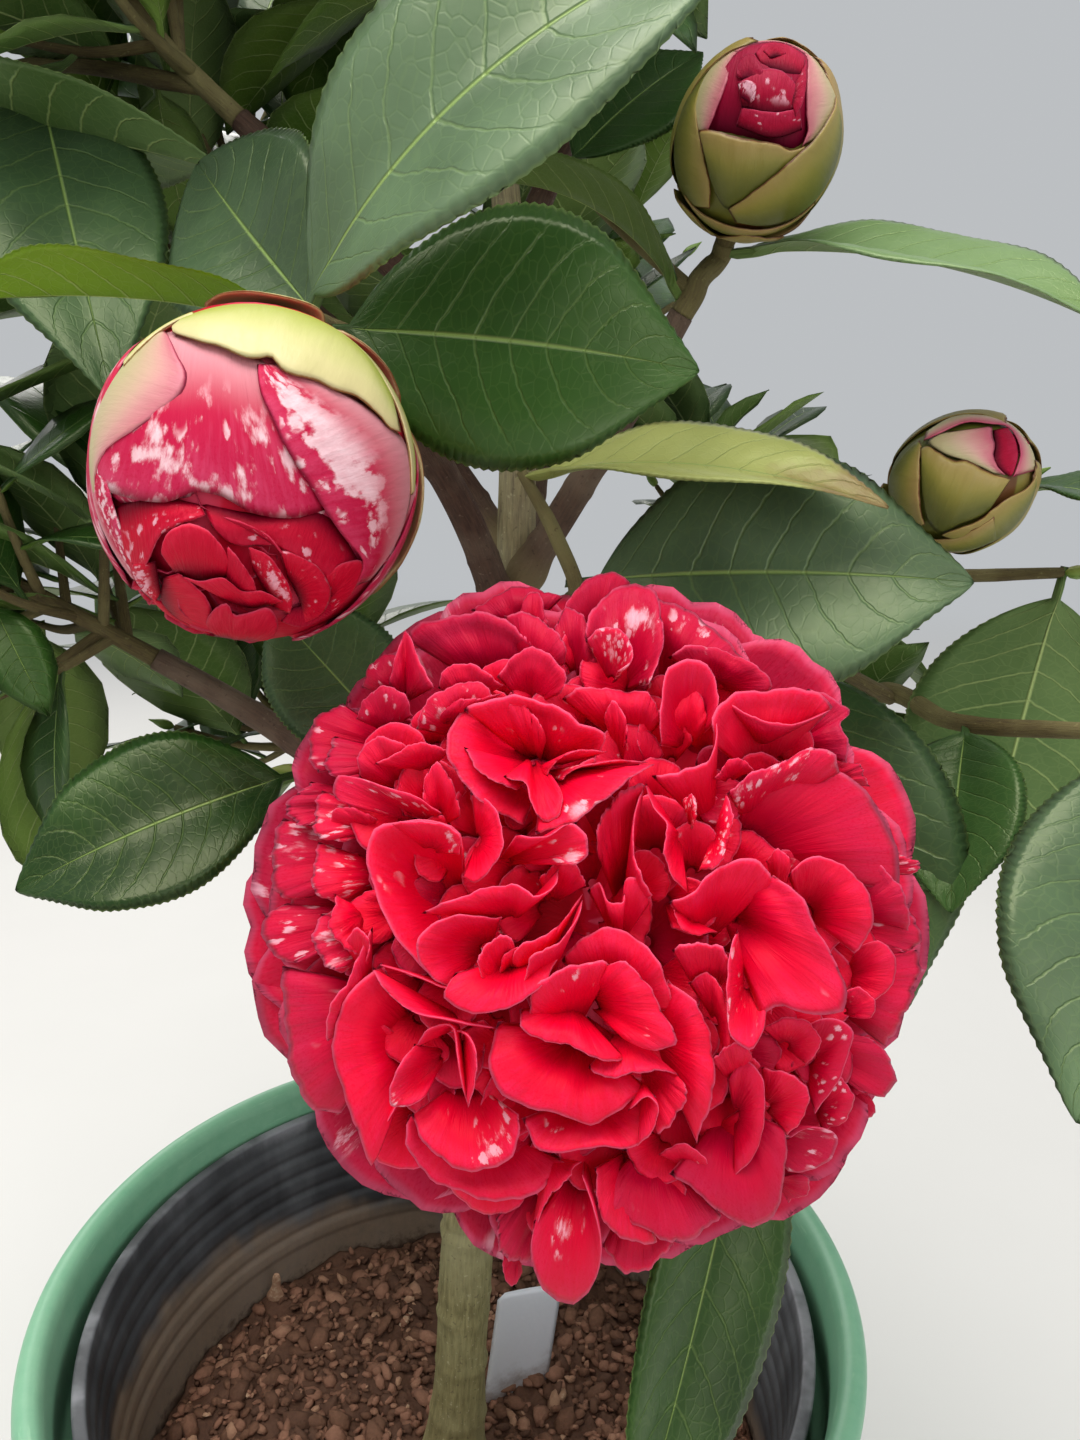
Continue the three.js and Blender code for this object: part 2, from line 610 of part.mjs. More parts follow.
// Balls that stand for a flower or bud: one in the middle and one ring round its axis
function fillFlower(space, { centre, facing, radius }) {
  const axis = vec(facing).normalize();
  const [across, third] = frameAt(axis);
  space.add(null, [vec(centre)], radius * 0.75 + CLEAR.flower, radius * 0.75 + CLEAR.flower);
  const ring = Array.from({ length: 10 }, (_, i) => {
    const angle = (i / 10) * Math.PI * 2;
    return vec(centre)
      .addScaledVector(across, Math.cos(angle) * radius * 0.6)
      .addScaledVector(third, Math.sin(angle) * radius * 0.6);
  });
  space.add(null, ring, radius * 0.42 + CLEAR.flower, radius * 0.42 + CLEAR.flower);
}

// The foot of the stalk of a flower or bud, and the way from there to its middle
function stalkFoot(name) {
  if (name === "bloom") {
    const axis = vec(BLOOM.facing).normalize();
    return { at: vec(BLOOM.centre).addScaledVector(axis, -BLOOM.depth - BUD_STALK), along: axis };
  }
  const { centre, tip, half } = BUDS[name];
  const axis = vec(tip).normalize();
  return { at: vec(centre).addScaledVector(axis, -half - BUD_STALK), along: axis };
}

// The stem of a mass leaves its bough's tip, straight on at first
function stemStart(name) {
  const line = name === "top" ? TRUNK : BOUGHS[name];
  const { along } = spotOn(line, 1);
  const tip = vec(line.at(-1));
  const radius = line.at(-1)[3];
  const first = tip.clone().addScaledVector(along, SEAT_GAP);
  const second = tip.clone().addScaledVector(along, STEM_STRAIGHT);
  return { along, line: [[...first, radius * 0.94], [...second, radius * 0.9]] };
}

// The stem, side twigs and leaves of a mass at the front of the crown
function frontGrowth(name) {
  const { stem, holds, twigs } = FRONT[name];
  const line = [...stemStart(name).line, ...stem];
  if (holds) {
    const { at, along } = stalkFoot(holds);
    line.push([...at.clone().addScaledVector(along, -4), 2.4]);
    line.push([...at.clone().addScaledVector(along, -SEAT_GAP), 2.3]);
  }
  const lines = { stem: line };
  for (const [twig, { from, line: rest }] of Object.entries(twigs)) {
    const { at } = spotOn(line, from);
    lines[twig] = [[...at, rest[0][3] + 0.2], ...rest];
  }
  const leaves = FRONT_LEAVES.filter((entry) => entry[0] === name).map(([, twig, place, tip, face, ...shape]) =>
    Leaf.reaching(spotOn(lines[twig], place).at, vec(tip), vec(face), ...shape),
  );
  return { twigs: Object.values(lines), leaves };
}

// A stem that heads one way and wanders a little, as a line of [x, y, z, radius] points
function wanderingStem(name, seeded) {
  const { heads, length } = GROWTH[name];
  const line = stemStart(name).line.map(([x, y, z], k) => [x, y, z, STEM_RADII[k]]);
  let at = vec(line.at(-1));
  for (const radius of STEM_RADII.slice(2)) {
    const wander = new THREE.Vector3(seeded.next() - 0.5, seeded.next() - 0.5, seeded.next() - 0.5);
    const way = vec(heads).normalize().addScaledVector(wander, STEM_WANDER * 2).normalize();
    at = at.clone().addScaledVector(way, length / 2);
    line.push([...at, radius]);
  }
  return line;
}

// A direction that leans off another by an angle, round it by a turn
function leaning(along, lean, turn) {
  const [across, third] = frameAt(along);
  return along
    .clone()
    .multiplyScalar(Math.cos(lean))
    .addScaledVector(across, Math.sin(lean) * Math.cos(turn))
    .addScaledVector(third, Math.sin(lean) * Math.sin(turn));
}

// A shoot off a stem: two pieces, the second lifted a little more than the first
function shootLine(spot, turn, last, seeded) {
  const lean = THREE.MathUtils.degToRad(seeded.between(SHOOT.lean)) * (last ? 0.3 : 1);
  const length = seeded.between(SHOOT.length);
  const way = leaning(spot.along, lean, turn);
  const lifted = way.clone().addScaledVector(new THREE.Vector3(0, 0, 1), SHOOT.lift).normalize();
  const middle = spot.at.clone().addScaledVector(way, length / 2);
  const tip = middle.clone().addScaledVector(lifted, length / 2);
  return [spot.at, middle, tip].map((p, k) => [...p, SHOOT.radii[k]]);
}

// A leaf on a shoot: it leans off the shoot, and its stalk turns so that its upper side looks up and out
function shootLeaf(line, i, turn, shrink, seeded) {
  const share = LEAF.from + (1 - LEAF.from) * (i / (SHOOT_LEAVES - 1));
  const spot = spotOn(line, Math.min(share, 0.985));
  const lean = THREE.MathUtils.degToRad(seeded.between(LEAF.lean)) * (i === SHOOT_LEAVES - 1 ? 0.35 : 1);
  const length = seeded.between(LEAF.length) * shrink;
  const [bend, fold] = [seeded.between(LEAF.bend), seeded.between(LEAF.fold)];
  const swing = seeded.between([-LEAF.swing, LEAF.swing]);
  const along = leaning(spot.along, lean, turn + i * GOLDEN_TURN + swing);
  along.z += 0.12;
  along.normalize();
  const face = new THREE.Vector3(0, 0, 1).addScaledVector(spot.along, 0.4);
  const leaf = new Leaf(spot.at, along, face, { length, width: length * LEAF.shape, bend, fold });
  leaf.seeded = true;
  return leaf;
}

// The ways that each leaf of a shoot may grow, the fullest first
function shootLeaves(line, seeded) {
  const turn = seeded.between([0, Math.PI * 2]);
  return Array.from({ length: SHOOT_LEAVES }, (_, i) =>
    LEAF.shrink.map((shrink) => shootLeaf(line, i, turn, shrink, seeded)),
  );
}

// The seeded shoots of a mass and their leaves. A leaf that has no room is skipped, and so is a shoot that
// has none itself or would be left nearly bare.
function addShoots(name, growth, seeded, space) {
  const { shoots, phase = seeded.between([0, Math.PI * 2]) } = GROWTH[name];
  const stem = growth.twigs[0];
  for (let k = 0; k < shoots; k++) {
    const last = k === shoots - 1;
    const share = SHOOT.from + (1 - SHOOT.from) * (k / (shoots - 1));
    const line = shootLine(spotOn(stem, Math.min(share, 0.985)), phase + k * GOLDEN_TURN, last, seeded);
    const choices = shootLeaves(line, seeded);
    const dots = dotsAlong(line, 5);
    if (!dots.every(inCrown) || !space.clear(name, dots.slice(2), CLEAR.shoot)) continue;
    const before = space.dots.length;
    const kept = [];
    for (const ways of choices) {
      const leaf = ways.find((way) => way.dots().every(inCrown) && space.clear(name, way.dots(), 1));
      if (!leaf) continue;
      kept.push(leaf);
      space.add(name, leaf.dots(), CLEAR.own, CLEAR.other);
    }
    if (kept.length < SHOOT.fewest) {
      space.dots.length = before;
      continue;
    }
    space.add(name, dots, 0, SHOOT.radii[0] + CLEAR.twig);
    growth.twigs.push(line);
    growth.leaves.push(...kept);
  }
}

// One solid of the twigs and leaves of a mass
function massSolid({ twigs, leaves }) {
  const limbs = twigs.map((line, k) => limb(line, k === 0 ? STEM_SIDES : TWIG_SIDES));
  const blades = leaves.map((leaf) => leaf.solid(leaf.seeded ? SEEDED_RINGS : LEAF_RINGS));
  return largest(joined([...limbs, ...blades])).simplify(0.15);
}

// Every mass: first the stems and what was photographed, then the seeded shoots in the room that is left
function crownGrowth() {
  const space = new Space();
  fillLimbs(space);
  fillFlower(space, BLOOM);
  for (const { centre, tip, radius } of Object.values(BUDS)) fillFlower(space, { centre, facing: tip, radius });
  const growth = {};
  const seeds = {};
  Object.keys(GROWTH).forEach((name, k) => {
    seeds[name] = new Seeded(SEED + k * 7919);
    growth[name] = name in FRONT ? frontGrowth(name) : { twigs: [wanderingStem(name, seeds[name])], leaves: [] };
    for (const line of growth[name].twigs) space.add(name, dotsAlong(line, 5), 0, line[0][3] + CLEAR.twig);
    for (const leaf of growth[name].leaves) space.add(name, leaf.dots(), CLEAR.own, CLEAR.other);
  });
  for (const name of Object.keys(GROWTH)) addShoots(name, growth[name], seeds[name], space);
  return growth;
}

// A point of the bloom: across and third lie in the plane square to its axis, and the axis points forward
class BloomFrame {
  constructor() {
    this.centre = vec(BLOOM.centre);
    this.axis = vec(BLOOM.facing).normalize();
    [this.across, this.third] = frameAt(this.axis);
  }
  direction(tilt, turn) {
    return this.axis
      .clone()
      .multiplyScalar(Math.cos(tilt))
      .addScaledVector(this.across, Math.sin(tilt) * Math.cos(turn))
      .addScaledVector(this.third, Math.sin(tilt) * Math.sin(turn));
  }
  // A point of the dome: its radius across and its height along the axis differ
  dome(tilt, turn, share = 1) {
    const radial = this.direction(Math.PI / 2, turn);
    return this.centre
      .clone()
      .addScaledVector(radial, Math.sin(tilt) * DOME.radius * share)
      .addScaledVector(this.axis, Math.cos(tilt) * DOME.height * share);
  }
}

// A grid of points and normals from a function of u across (-1 to 1) and t outward (0 to 1)
function gridOf(rows, columns, at) {
  const grid = [];
  for (let r = 0; r < rows; r++) {
    grid.push([]);
    for (let c = 0; c < columns; c++) grid[r].push(at((2 * c) / (columns - 1) - 1, r / (rows - 1)));
  }
  const normals = grid.map((row, r) =>
    row.map((_, c) => {
      const ahead = grid[Math.min(r + 1, rows - 1)][c].clone().sub(grid[Math.max(r - 1, 0)][c]);
      const beside = row[Math.min(c + 1, columns - 1)].clone().sub(row[Math.max(c - 1, 0)]);
      return beside.cross(ahead).normalize();
    }),
  );
  return { grid, normals };
}

// A broad outer petal: it leaves the base of the bloom at a tilt, cups forward and rounds off at its end
function guardPetal(frame, { tilt, length, width }, turn) {
  const base = frame.centre.clone().addScaledVector(frame.axis, -PETAL_BASE);
  const [way, side] = [frame.direction(tilt, turn), frame.direction(Math.PI / 2, turn + Math.PI / 2)];
  const rise = way.clone().cross(side).normalize();
  if (rise.dot(frame.axis) < 0) rise.negate();
  const { grid, normals } = gridOf(4, 4, (u, t) => {
    const half = (width / 2) * (0.3 + 0.7 * Math.sin(Math.PI * Math.min(t + 0.12, 0.8)));
    const reach = (0.2 + 0.8 * t) * length * (1 - 0.16 * u * u * t);
    return base
      .clone()
      .addScaledVector(way, reach)
      .addScaledVector(side, u * half)
      .addScaledVector(rise, 5 * u * u + 5 * Math.sin(Math.PI * t));
  });
  return solidOf(sheet(grid, normals, PETAL_THICK));
}

// An upright petal of a swirl: it curls round the middle of the swirl and flares at its free edge
function swirlPetal(frame, tilt, turn, round) {
  const middle = frame.dome(tilt, turn);
  const out = frame.direction(tilt, turn);
  const [across, third] = frameAt(out);
  const { grid, normals } = gridOf(3, 4, (u, t) => {
    const angle = round + u * 0.95;
    const reach = SWIRL_RADIUS * (0.45 + 0.75 * t * t) * (1 + 0.12 * Math.cos(3 * u));
    const height = -SWIRL_SUNK + t * (SWIRL_SUNK + 4 - 4 * u * u);
    return middle
      .clone()
      .addScaledVector(across, Math.cos(angle) * reach)
      .addScaledVector(third, Math.sin(angle) * reach)
      .addScaledVector(out, height);
  });
  return solidOf(sheet(grid, normals, PETAL_THICK));
}

// The head of the bloom inside its petals, round across and shallow along the axis
function bloomCore(frame) {
  const rings = [[frame.centre.clone().addScaledVector(frame.axis, -DOME.height * 0.86)]];
  for (let k = 1; k < 6; k++) {
    const tilt = Math.PI * (1 - k / 6);
    rings.push(Array.from({ length: 14 }, (_, i) => frame.dome(tilt, (i / 14) * Math.PI * 2, CORE_SHARE)));
  }
  rings.push([frame.centre.clone().addScaledVector(frame.axis, DOME.height * CORE_SHARE)]);
  return solidOf(loft(rings));
}

// The open bloom: core, outer petals, swirls and the short stalk at its back
function bloom() {
  const frame = new BloomFrame();
  const parts = [bloomCore(frame)];
  for (const { count, tilt, phase, ...shape } of GUARD_ROWS)
    for (let i = 0; i < count; i++) {
      const turn = (i / count) * Math.PI * 2 + THREE.MathUtils.degToRad(phase);
      parts.push(guardPetal(frame, { tilt: THREE.MathUtils.degToRad(tilt), ...shape }, turn));
    }
  for (const { count, tilt, phase } of SWIRL_ROWS)
    for (let i = 0; i < count; i++) {
      const turn = (i / count) * Math.PI * 2 + THREE.MathUtils.degToRad(phase);
      for (let k = 0; k < SWIRL_PETALS; k++) {
        const round = ((k + 0.35 * i) / SWIRL_PETALS) * Math.PI * 2;
        parts.push(swirlPetal(frame, THREE.MathUtils.degToRad(tilt), turn, round));
      }
    }
  parts.push(stalk("bloom", BLOOM.depth));
  return largest(joined(parts));
}

// A short stalk from inside a flower or bud to its foot
function stalk(name, reach) {
  const { at, along } = stalkFoot(name);
  const inside = at.clone().addScaledVector(along, BUD_STALK + reach * 0.3);
  return limb([[...at, 2.3], [...at.clone().addScaledVector(along, BUD_STALK), 2.8], [...inside, 3.4]], 8);
}

// A fat bud: an egg that is fuller at its foot, with a few crumpled petals open at its tip
function bud(name) {
  const { centre, tip, radius, half } = BUDS[name];
  const axis = vec(tip).normalize();
  const [across, third] = frameAt(axis, new THREE.Vector3(1, 0.2, 0.1));
  const at = (along, reach, angle) =>
    vec(centre)
      .addScaledVector(axis, along)
      .addScaledVector(across, Math.cos(angle) * reach)
      .addScaledVector(third, Math.sin(angle) * reach);
  const rings = [[at(-half, 0, 0)]];
  for (let k = 1; k < BUD_RINGS; k++) {
    const turn = (Math.PI * k) / BUD_RINGS;
    const reach = radius * Math.sin(turn) ** 0.9 * (1 + 0.05 * Math.cos(turn));
    const ring = (i) => at(-half * Math.cos(turn) * 0.98, reach, (i / BUD_SIDES) * Math.PI * 2);
    rings.push(Array.from({ length: BUD_SIDES }, (_, i) => ring(i)));
  }
  rings.push([at(half * 0.97, 0, 0)]);
  const parts = [solidOf(loft(rings)), stalk(name, half)];
  for (let i = 0; i < BUD_TIP_PETALS; i++) {
    const round = (i / BUD_TIP_PETALS) * Math.PI * 2;
    const { grid, normals } = gridOf(3, 4, (u, t) => {
      const reach = radius * (0.3 - 0.16 * t + 0.04 * u);
      return at(half * (0.8 + 0.26 * t * (1 - 0.5 * u * u)), reach, round + u * 0.6);
    });
    parts.push(solidOf(sheet(grid, normals, PETAL_THICK)));
  }
  return largest(joined(parts));
}

const finish = (color, roughness) => new THREE.MeshStandardMaterial({ color, roughness, metalness: 0 });
const FINISHES = {
  outer_pot: finish(0x7fb59c, 0.55),
  liner: finish(0x3a3b3d, 0.75),
  mix: finish(0x4f3328, 0.95),
  tag: finish(0xd9d9dc, 0.6),
  trunk: finish(0x93897a, 0.85),
  bough: finish(0x5a4238, 0.8),
  leaf: finish(0x2f5a2c, 0.4),
  bloom: finish(0xc3122c, 0.6),
  big: finish(0xc95a6a, 0.55),
  small: finish(0x9a9d55, 0.55),
};

function build() {
  const plant = new THREE.Group();
  plant.name = "potted_camellia";
  const put = (name, solid, material) => plant.add(meshOf(name, solid, material));
  put("outer_pot", outerPot(), FINISHES.outer_pot);
  put("inner_pot", liner(), FINISHES.liner);
  put("potting_mix", pottingMix().subtract(tagBox(2 * SEAT_GAP)), FINISHES.mix);
  put("plant_tag", tagBox(0), FINISHES.tag);
  put("trunk", trunkSolid(0), FINISHES.trunk);
  const seat = trunkSolid(SEAT_GAP);
  for (const [name, line] of Object.entries(BOUGHS))
    put(`bough_${name}`, largest(limb(line, BOUGH_SIDES).subtract(seat)), FINISHES.bough);
  for (const [name, growth] of Object.entries(crownGrowth()))
    put(`leaves_${name}`, massSolid(growth), FINISHES.leaf);
  put("bloom", bloom(), FINISHES.bloom);
  put("bud_big", bud("big"), FINISHES.big);
  put("bud_upper", bud("upper"), FINISHES.small);
  put("bud_side", bud("side"), FINISHES.small);
  return plant;
}

export default build();
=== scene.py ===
"""A camellia shrub in flower in its nursery pot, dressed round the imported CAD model.

Shapes are worked out in millimetres in the frame's own axes (+Z up, the front faces -Y, the origin is the
middle of the pot's flat underside) and become metres when a mesh is made.
"""

from __future__ import annotations

import sys

import logging
import math
from dataclasses import dataclass, field
from enum import Enum

import bpy
import numpy as np
from mathutils import Matrix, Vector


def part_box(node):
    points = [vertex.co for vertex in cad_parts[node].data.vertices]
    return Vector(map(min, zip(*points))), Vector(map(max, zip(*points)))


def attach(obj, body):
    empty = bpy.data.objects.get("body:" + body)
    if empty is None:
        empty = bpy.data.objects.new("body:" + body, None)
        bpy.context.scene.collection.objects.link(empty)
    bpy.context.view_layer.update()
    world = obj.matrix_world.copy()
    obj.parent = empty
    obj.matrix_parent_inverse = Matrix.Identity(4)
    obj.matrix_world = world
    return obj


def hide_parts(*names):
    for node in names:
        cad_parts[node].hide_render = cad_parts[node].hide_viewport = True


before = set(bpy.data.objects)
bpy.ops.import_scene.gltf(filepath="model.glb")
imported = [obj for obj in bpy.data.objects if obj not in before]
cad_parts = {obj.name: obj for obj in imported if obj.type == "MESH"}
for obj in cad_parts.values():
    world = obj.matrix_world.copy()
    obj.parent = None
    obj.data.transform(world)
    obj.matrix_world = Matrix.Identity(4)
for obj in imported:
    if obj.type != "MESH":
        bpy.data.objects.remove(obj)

LOG = logging.getLogger("camellia")
MM = 0.001
BODY = "root"
UV_NAME = "UVMap"
SEED = 4021
GOLDEN_TURN = math.radians(137.5)
Array = np.ndarray


# Numbers and directions


def unit(vectors: Array) -> Array:
    """Vectors scaled to length one along the last axis."""
    return vectors / np.maximum(np.linalg.norm(vectors, axis=-1, keepdims=True), 1e-12)


def smooth(low: float, high: float, value: Array | float) -> Array:
    """The smooth step 3s^2 - 2s^3, where s is value's share of the way from low to high."""
    share = np.clip((np.asarray(value, float) - low) / (high - low), 0, 1)
    return share * share * (3 - 2 * share)


def squared(direction: Array, wanted: Array) -> Array:
    """A unit vector square to a direction, as near to the wanted one as it can be.

    Args:
        direction: A unit vector.
        wanted: The vector to come near to.

    Returns:
        The unit vector.
    """
    out = wanted - direction * float(wanted @ direction)
    if out @ out < 1e-6:
        out = np.array([1.0, 0, 0]) - direction * direction[0]
    return unit(out)


def frame_at(along: Array, wanted: Array = np.array([0.0, 0, 1])) -> tuple[Array, Array]:
    """Two unit vectors square to a direction: across, which is nearest to wanted, and along x across."""
    across = squared(along, wanted)
    return across, np.cross(along, across)


def leaning(along: Array, lean: float, turn: float) -> Array:
    """A unit vector that leans off another by an angle, round it by a turn."""
    across, third = frame_at(along)
    return along * math.cos(lean) + (across * math.cos(turn) + third * math.sin(turn)) * math.sin(lean)


def evenly_round(count: int) -> Array:
    """Angles spread evenly round a circle."""
    return np.arange(count) / count * math.tau


def lengths_along(points: Array) -> Array:
    """How far each point of a line lies from the first one, along the line."""
    return np.concatenate([[0], np.cumsum(np.linalg.norm(np.diff(points, axis=0), axis=1))])


class Seeded:
    """A sequence of numbers from 0 to 1 that is the same each time, as in the part's source."""

    def __init__(self, seed: int) -> None:
        """Starts the sequence at a seed."""
        self.state = seed

    def next(self) -> float:
        """The next number of the sequence s' = (1664525 s + 1013904223) mod 2^32, over 2^32."""
        self.state = (self.state * 1664525 + 1013904223) % 4294967296
        return self.state / 4294967296

    def between(self, span: tuple[float, float]) -> float:
        """The next number, stretched to a span."""
        return span[0] + (span[1] - span[0]) * self.next()


# Meshes


class Skin:
    """Gathers surfaces into one mesh: points in millimetres, faces, a UV pair and two numbers a point.

    The numbers are tone, which varies a finish from one leaf, petal or chip to the next, and mark, which each
    finish reads in its own way.
    """

    def __init__(self) -> None:
        """Starts empty."""
        self.points: list[Array] = []
        self.uvs: list[Array] = []
        self.tones: list[Array] = []
        self.marks: list[Array] = []
        self.loops: list[Array] = []
        self.sizes: list[Array] = []
        self.slots: list[Array] = []
        self.count = 0

    def add(self, points: Array, faces: list[tuple[Array, int]], uv: Array, tone: Array | float = 0.5,
            mark: Array | float = 0.0) -> None:
        """Adds one surface.

        Args:
            points: Its points, n by 3.
            faces: Pairs of faces (m by 3 or m by 4 point numbers) and their material's place.
            uv: The UV pair of each point, n by 2.
            tone: One number, or one a point.
            mark: One number, or one a point.
        """
        n = len(points)
        self.points.append(points)
        self.uvs.append(uv)
        self.tones.append(np.broadcast_to(tone, n))
        self.marks.append(np.broadcast_to(mark, n))
        for corners, slot in faces:
            self.loops.append((corners + self.count).ravel())
            self.sizes.append(np.full(len(corners), corners.shape[1]))
            self.slots.append(np.full(len(corners), slot))
        self.count += n

    def piece(self, name: str, finishes: list[Finish], slot: str, nodes: list[str]) -> bpy.types.Object:
        """Makes the mesh object, gives it its finishes and joins it to the frame.

        Args:
            name: The object's name.
            finishes: Its finishes, in the order of the faces' places.
            slot: Not used.
            nodes: The CAD nodes that it stands for.

        Returns:
            The object.
        """
        points, uvs = np.concatenate(self.points) * MM, np.concatenate(self.uvs)
        loops, sizes = np.concatenate(self.loops), np.concatenate(self.sizes)
        mesh = bpy.data.meshes.new(name)
        mesh.vertices.add(len(points))
        mesh.vertices.foreach_set("co", points.astype(np.float32).ravel())
        mesh.loops.add(len(loops))
        mesh.loops.foreach_set("vertex_index", loops.astype(np.int32))
        mesh.polygons.add(len(sizes))
        mesh.polygons.foreach_set("loop_start", (np.cumsum(sizes) - sizes).astype(np.int32))
        mesh.polygons.foreach_set("material_index", np.concatenate(self.slots).astype(np.int32))
        mesh.uv_layers.new(name=UV_NAME).data.foreach_set("uv", uvs[loops].astype(np.float32).ravel())
        for label, values in (("tone", self.tones), ("mark", self.marks)):
            layer = mesh.attributes.new(label, "FLOAT", "POINT")
            layer.data.foreach_set("value", np.concatenate(values).astype(np.float32))
        mesh.update(calc_edges=True)
        mesh.validate()
        mesh.shade_smooth()
        for finish in finishes:
            mesh.materials.append(finish.material())
        made = bpy.data.objects.new(name, mesh)
        bpy.context.scene.collection.objects.link(made)
        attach(made, BODY)
        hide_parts(*nodes)
        triangles = int((sizes - 2).sum())
        LOG.info("%s: %d triangles, stands for %s", name, triangles, ", ".join(nodes))
        return made


def grid_faces(numbers: Array) -> Array:
    """Four-cornered faces of a grid of point numbers; they look the way rows x columns points."""
    corners = [numbers[:-1, :-1], numbers[1:, :-1], numbers[1:, 1:], numbers[:-1, 1:]]
    return np.stack(corners, -1).reshape(-1, 4)


def grid_normals(points: Array) -> Array:
    """Unit normals of a grid of points: the cross product of its slopes along rows and columns."""
    return unit(np.cross(np.gradient(points, axis=0), np.gradient(points, axis=1)))


def grid_uv(t: Array, w: Array) -> Array:
    """The UV pairs of a grid: t goes from 0 to 1 down its rows, w from -1 to 1 across its columns."""
    return np.stack(np.broadcast_arrays(t, (w + 1) / 2), -1)


def wrapped_numbers(rows: int, sides: int) -> Array:
    """Point numbers of a grid that closes on itself: its first column comes again as its last."""
    numbers = np.arange(rows * sides).reshape(rows, sides)
    return np.concatenate([numbers, numbers[:, :1]], 1)


def fan(pole: int, ring: Array) -> Array:
    """Triangles from a pole to a ring of point numbers; a ring in reverse makes them look the other way."""
    return np.stack([np.full(len(ring) - 1, pole), ring[1:], ring[:-1]], -1)


SAME_DIAGONAL = [0, 3, 2, 1]


def add_sheet(skin: Skin, points: Array, over: Array | float, under: Array | float, uv: Array,
              tone: float = 0.5, mark: Array | float = 0.0, slots: tuple[int, int] = (0, 0)) -> None:
    """Adds a thin closed sheet: its two faces lie over and under a grid and meet in the grid's own rim.

    Args:
        skin: Where the sheet goes.
        points: A grid of points, rows by columns by 3. The upper face looks the way rows x columns points.
        over: How far the upper face stands off the grid, in millimetres.
        under: The same for the lower face.
        uv: The UV pair of each grid point.
        tone: The sheet's tone.
        mark: Its mark, one number or one a grid point.
        slots: The places of the materials of the upper and the lower face.
    """
    rows, columns = points.shape[:2]
    normals = grid_normals(points)
    inner = np.zeros((rows, columns), bool)
    inner[1:-1, 1:-1] = True
    top = points + normals * (np.broadcast_to(over, (rows, columns)) * inner)[..., None]
    low = points - normals * np.broadcast_to(under, (rows, columns))[..., None]
    upper = np.arange(rows * columns).reshape(rows, columns)
    lower = upper.copy()
    lower[inner] = rows * columns + np.arange(inner.sum())
    mark = np.broadcast_to(mark, (rows, columns))
    skin.add(
        np.concatenate([top.reshape(-1, 3), low[inner]]),
        [(grid_faces(upper), slots[0]), (grid_faces(lower)[:, SAME_DIAGONAL], slots[1])],
        np.concatenate([uv.reshape(-1, 2), uv[inner]]),
        tone,
        np.concatenate([mark.ravel(), mark[inner]]),
    )


def add_lathed(skin: Skin, profile: Array, sides: int, shift: tuple[float, float] = (0, 0),
               holes: Array | None = None, bridges: list[Array] | None = None) -> None:
    """Adds a profile turned round the Z axis; a profile point on the axis becomes a closed pole.

    Args:
        skin: Where it goes.
        profile: Radius and height of each point, counter-clockwise round the wall's section.
        sides: How many columns go round.
        shift: How far the axis stands off the origin in x and y.
        holes: Which faces are left out, rows by sides, or None.
        bridges: Faces to add, as (row, column) pairs of four corners each.
    """
    angle = evenly_round(sides)
    radius, height = profile[:, :1], profile[:, 1:]
    rows = len(profile)
    ring = np.stack([radius * np.cos(angle) + shift[0], radius * np.sin(angle) + shift[1],
                     np.broadcast_to(height, (rows, sides))], -1)
    wrapped = wrapped_numbers(rows, sides)
    faces = grid_faces(wrapped)[:, ::-1].reshape(rows - 1, sides, 4)
    keep = np.ones((rows - 1, sides), bool) if holes is None else ~holes
    poles = profile[:, 0] < 1e-6
    keep[poles[:-1] | poles[1:]] = False
    found = [faces[keep]]
    if poles[0]:
        found.append(fan(wrapped[0, 0], wrapped[1]))
    if poles[-1]:
        found.append(fan(wrapped[-1, 0], wrapped[-2, ::-1]))
    found += [wrapped[corners[..., 0], corners[..., 1]] for corners in bridges or []]
    along = lengths_along(profile)
    uv = np.stack(np.broadcast_arrays(angle / math.tau, (along / along[-1])[:, None]), -1)
    used = np.zeros(rows * sides, bool)
    for corners in found:
        used[corners.ravel()] = True
    order = np.cumsum(used) - 1
    skin.add(ring.reshape(-1, 3)[used], [(order[corners], 0) for corners in found], uv.reshape(-1, 2)[used])


def rounded(corners: Array, radius: float, steps: int = 4) -> Array:
    """A profile with its inner corners rounded: each becomes the curve (1-s)^2 A + 2s(1-s) C + s^2 B.

    Args:
        corners: The points of the profile, n by 2.
        radius: How far from a corner C its curve's ends A and B lie, at most 0.45 of either side.
        steps: How many points each corner becomes.

    Returns:
        The points of the rounded profile.
    """
    ahead, behind = corners[2:] - corners[1:-1], corners[:-2] - corners[1:-1]
    shorter = np.minimum(np.linalg.norm(ahead, axis=1), np.linalg.norm(behind, axis=1))
    reach = np.minimum(radius, 0.45 * shorter)
    start = corners[1:-1] + unit(behind) * reach[:, None]
    end = corners[1:-1] + unit(ahead) * reach[:, None]
    s = np.linspace(0, 1, steps)[None, :, None]
    curve = (1 - s) ** 2 * start[:, None] + 2 * s * (1 - s) * corners[1:-1, None] + s**2 * end[:, None]
    return np.concatenate([corners[:1], curve.reshape(-1, 2), corners[-1:]])


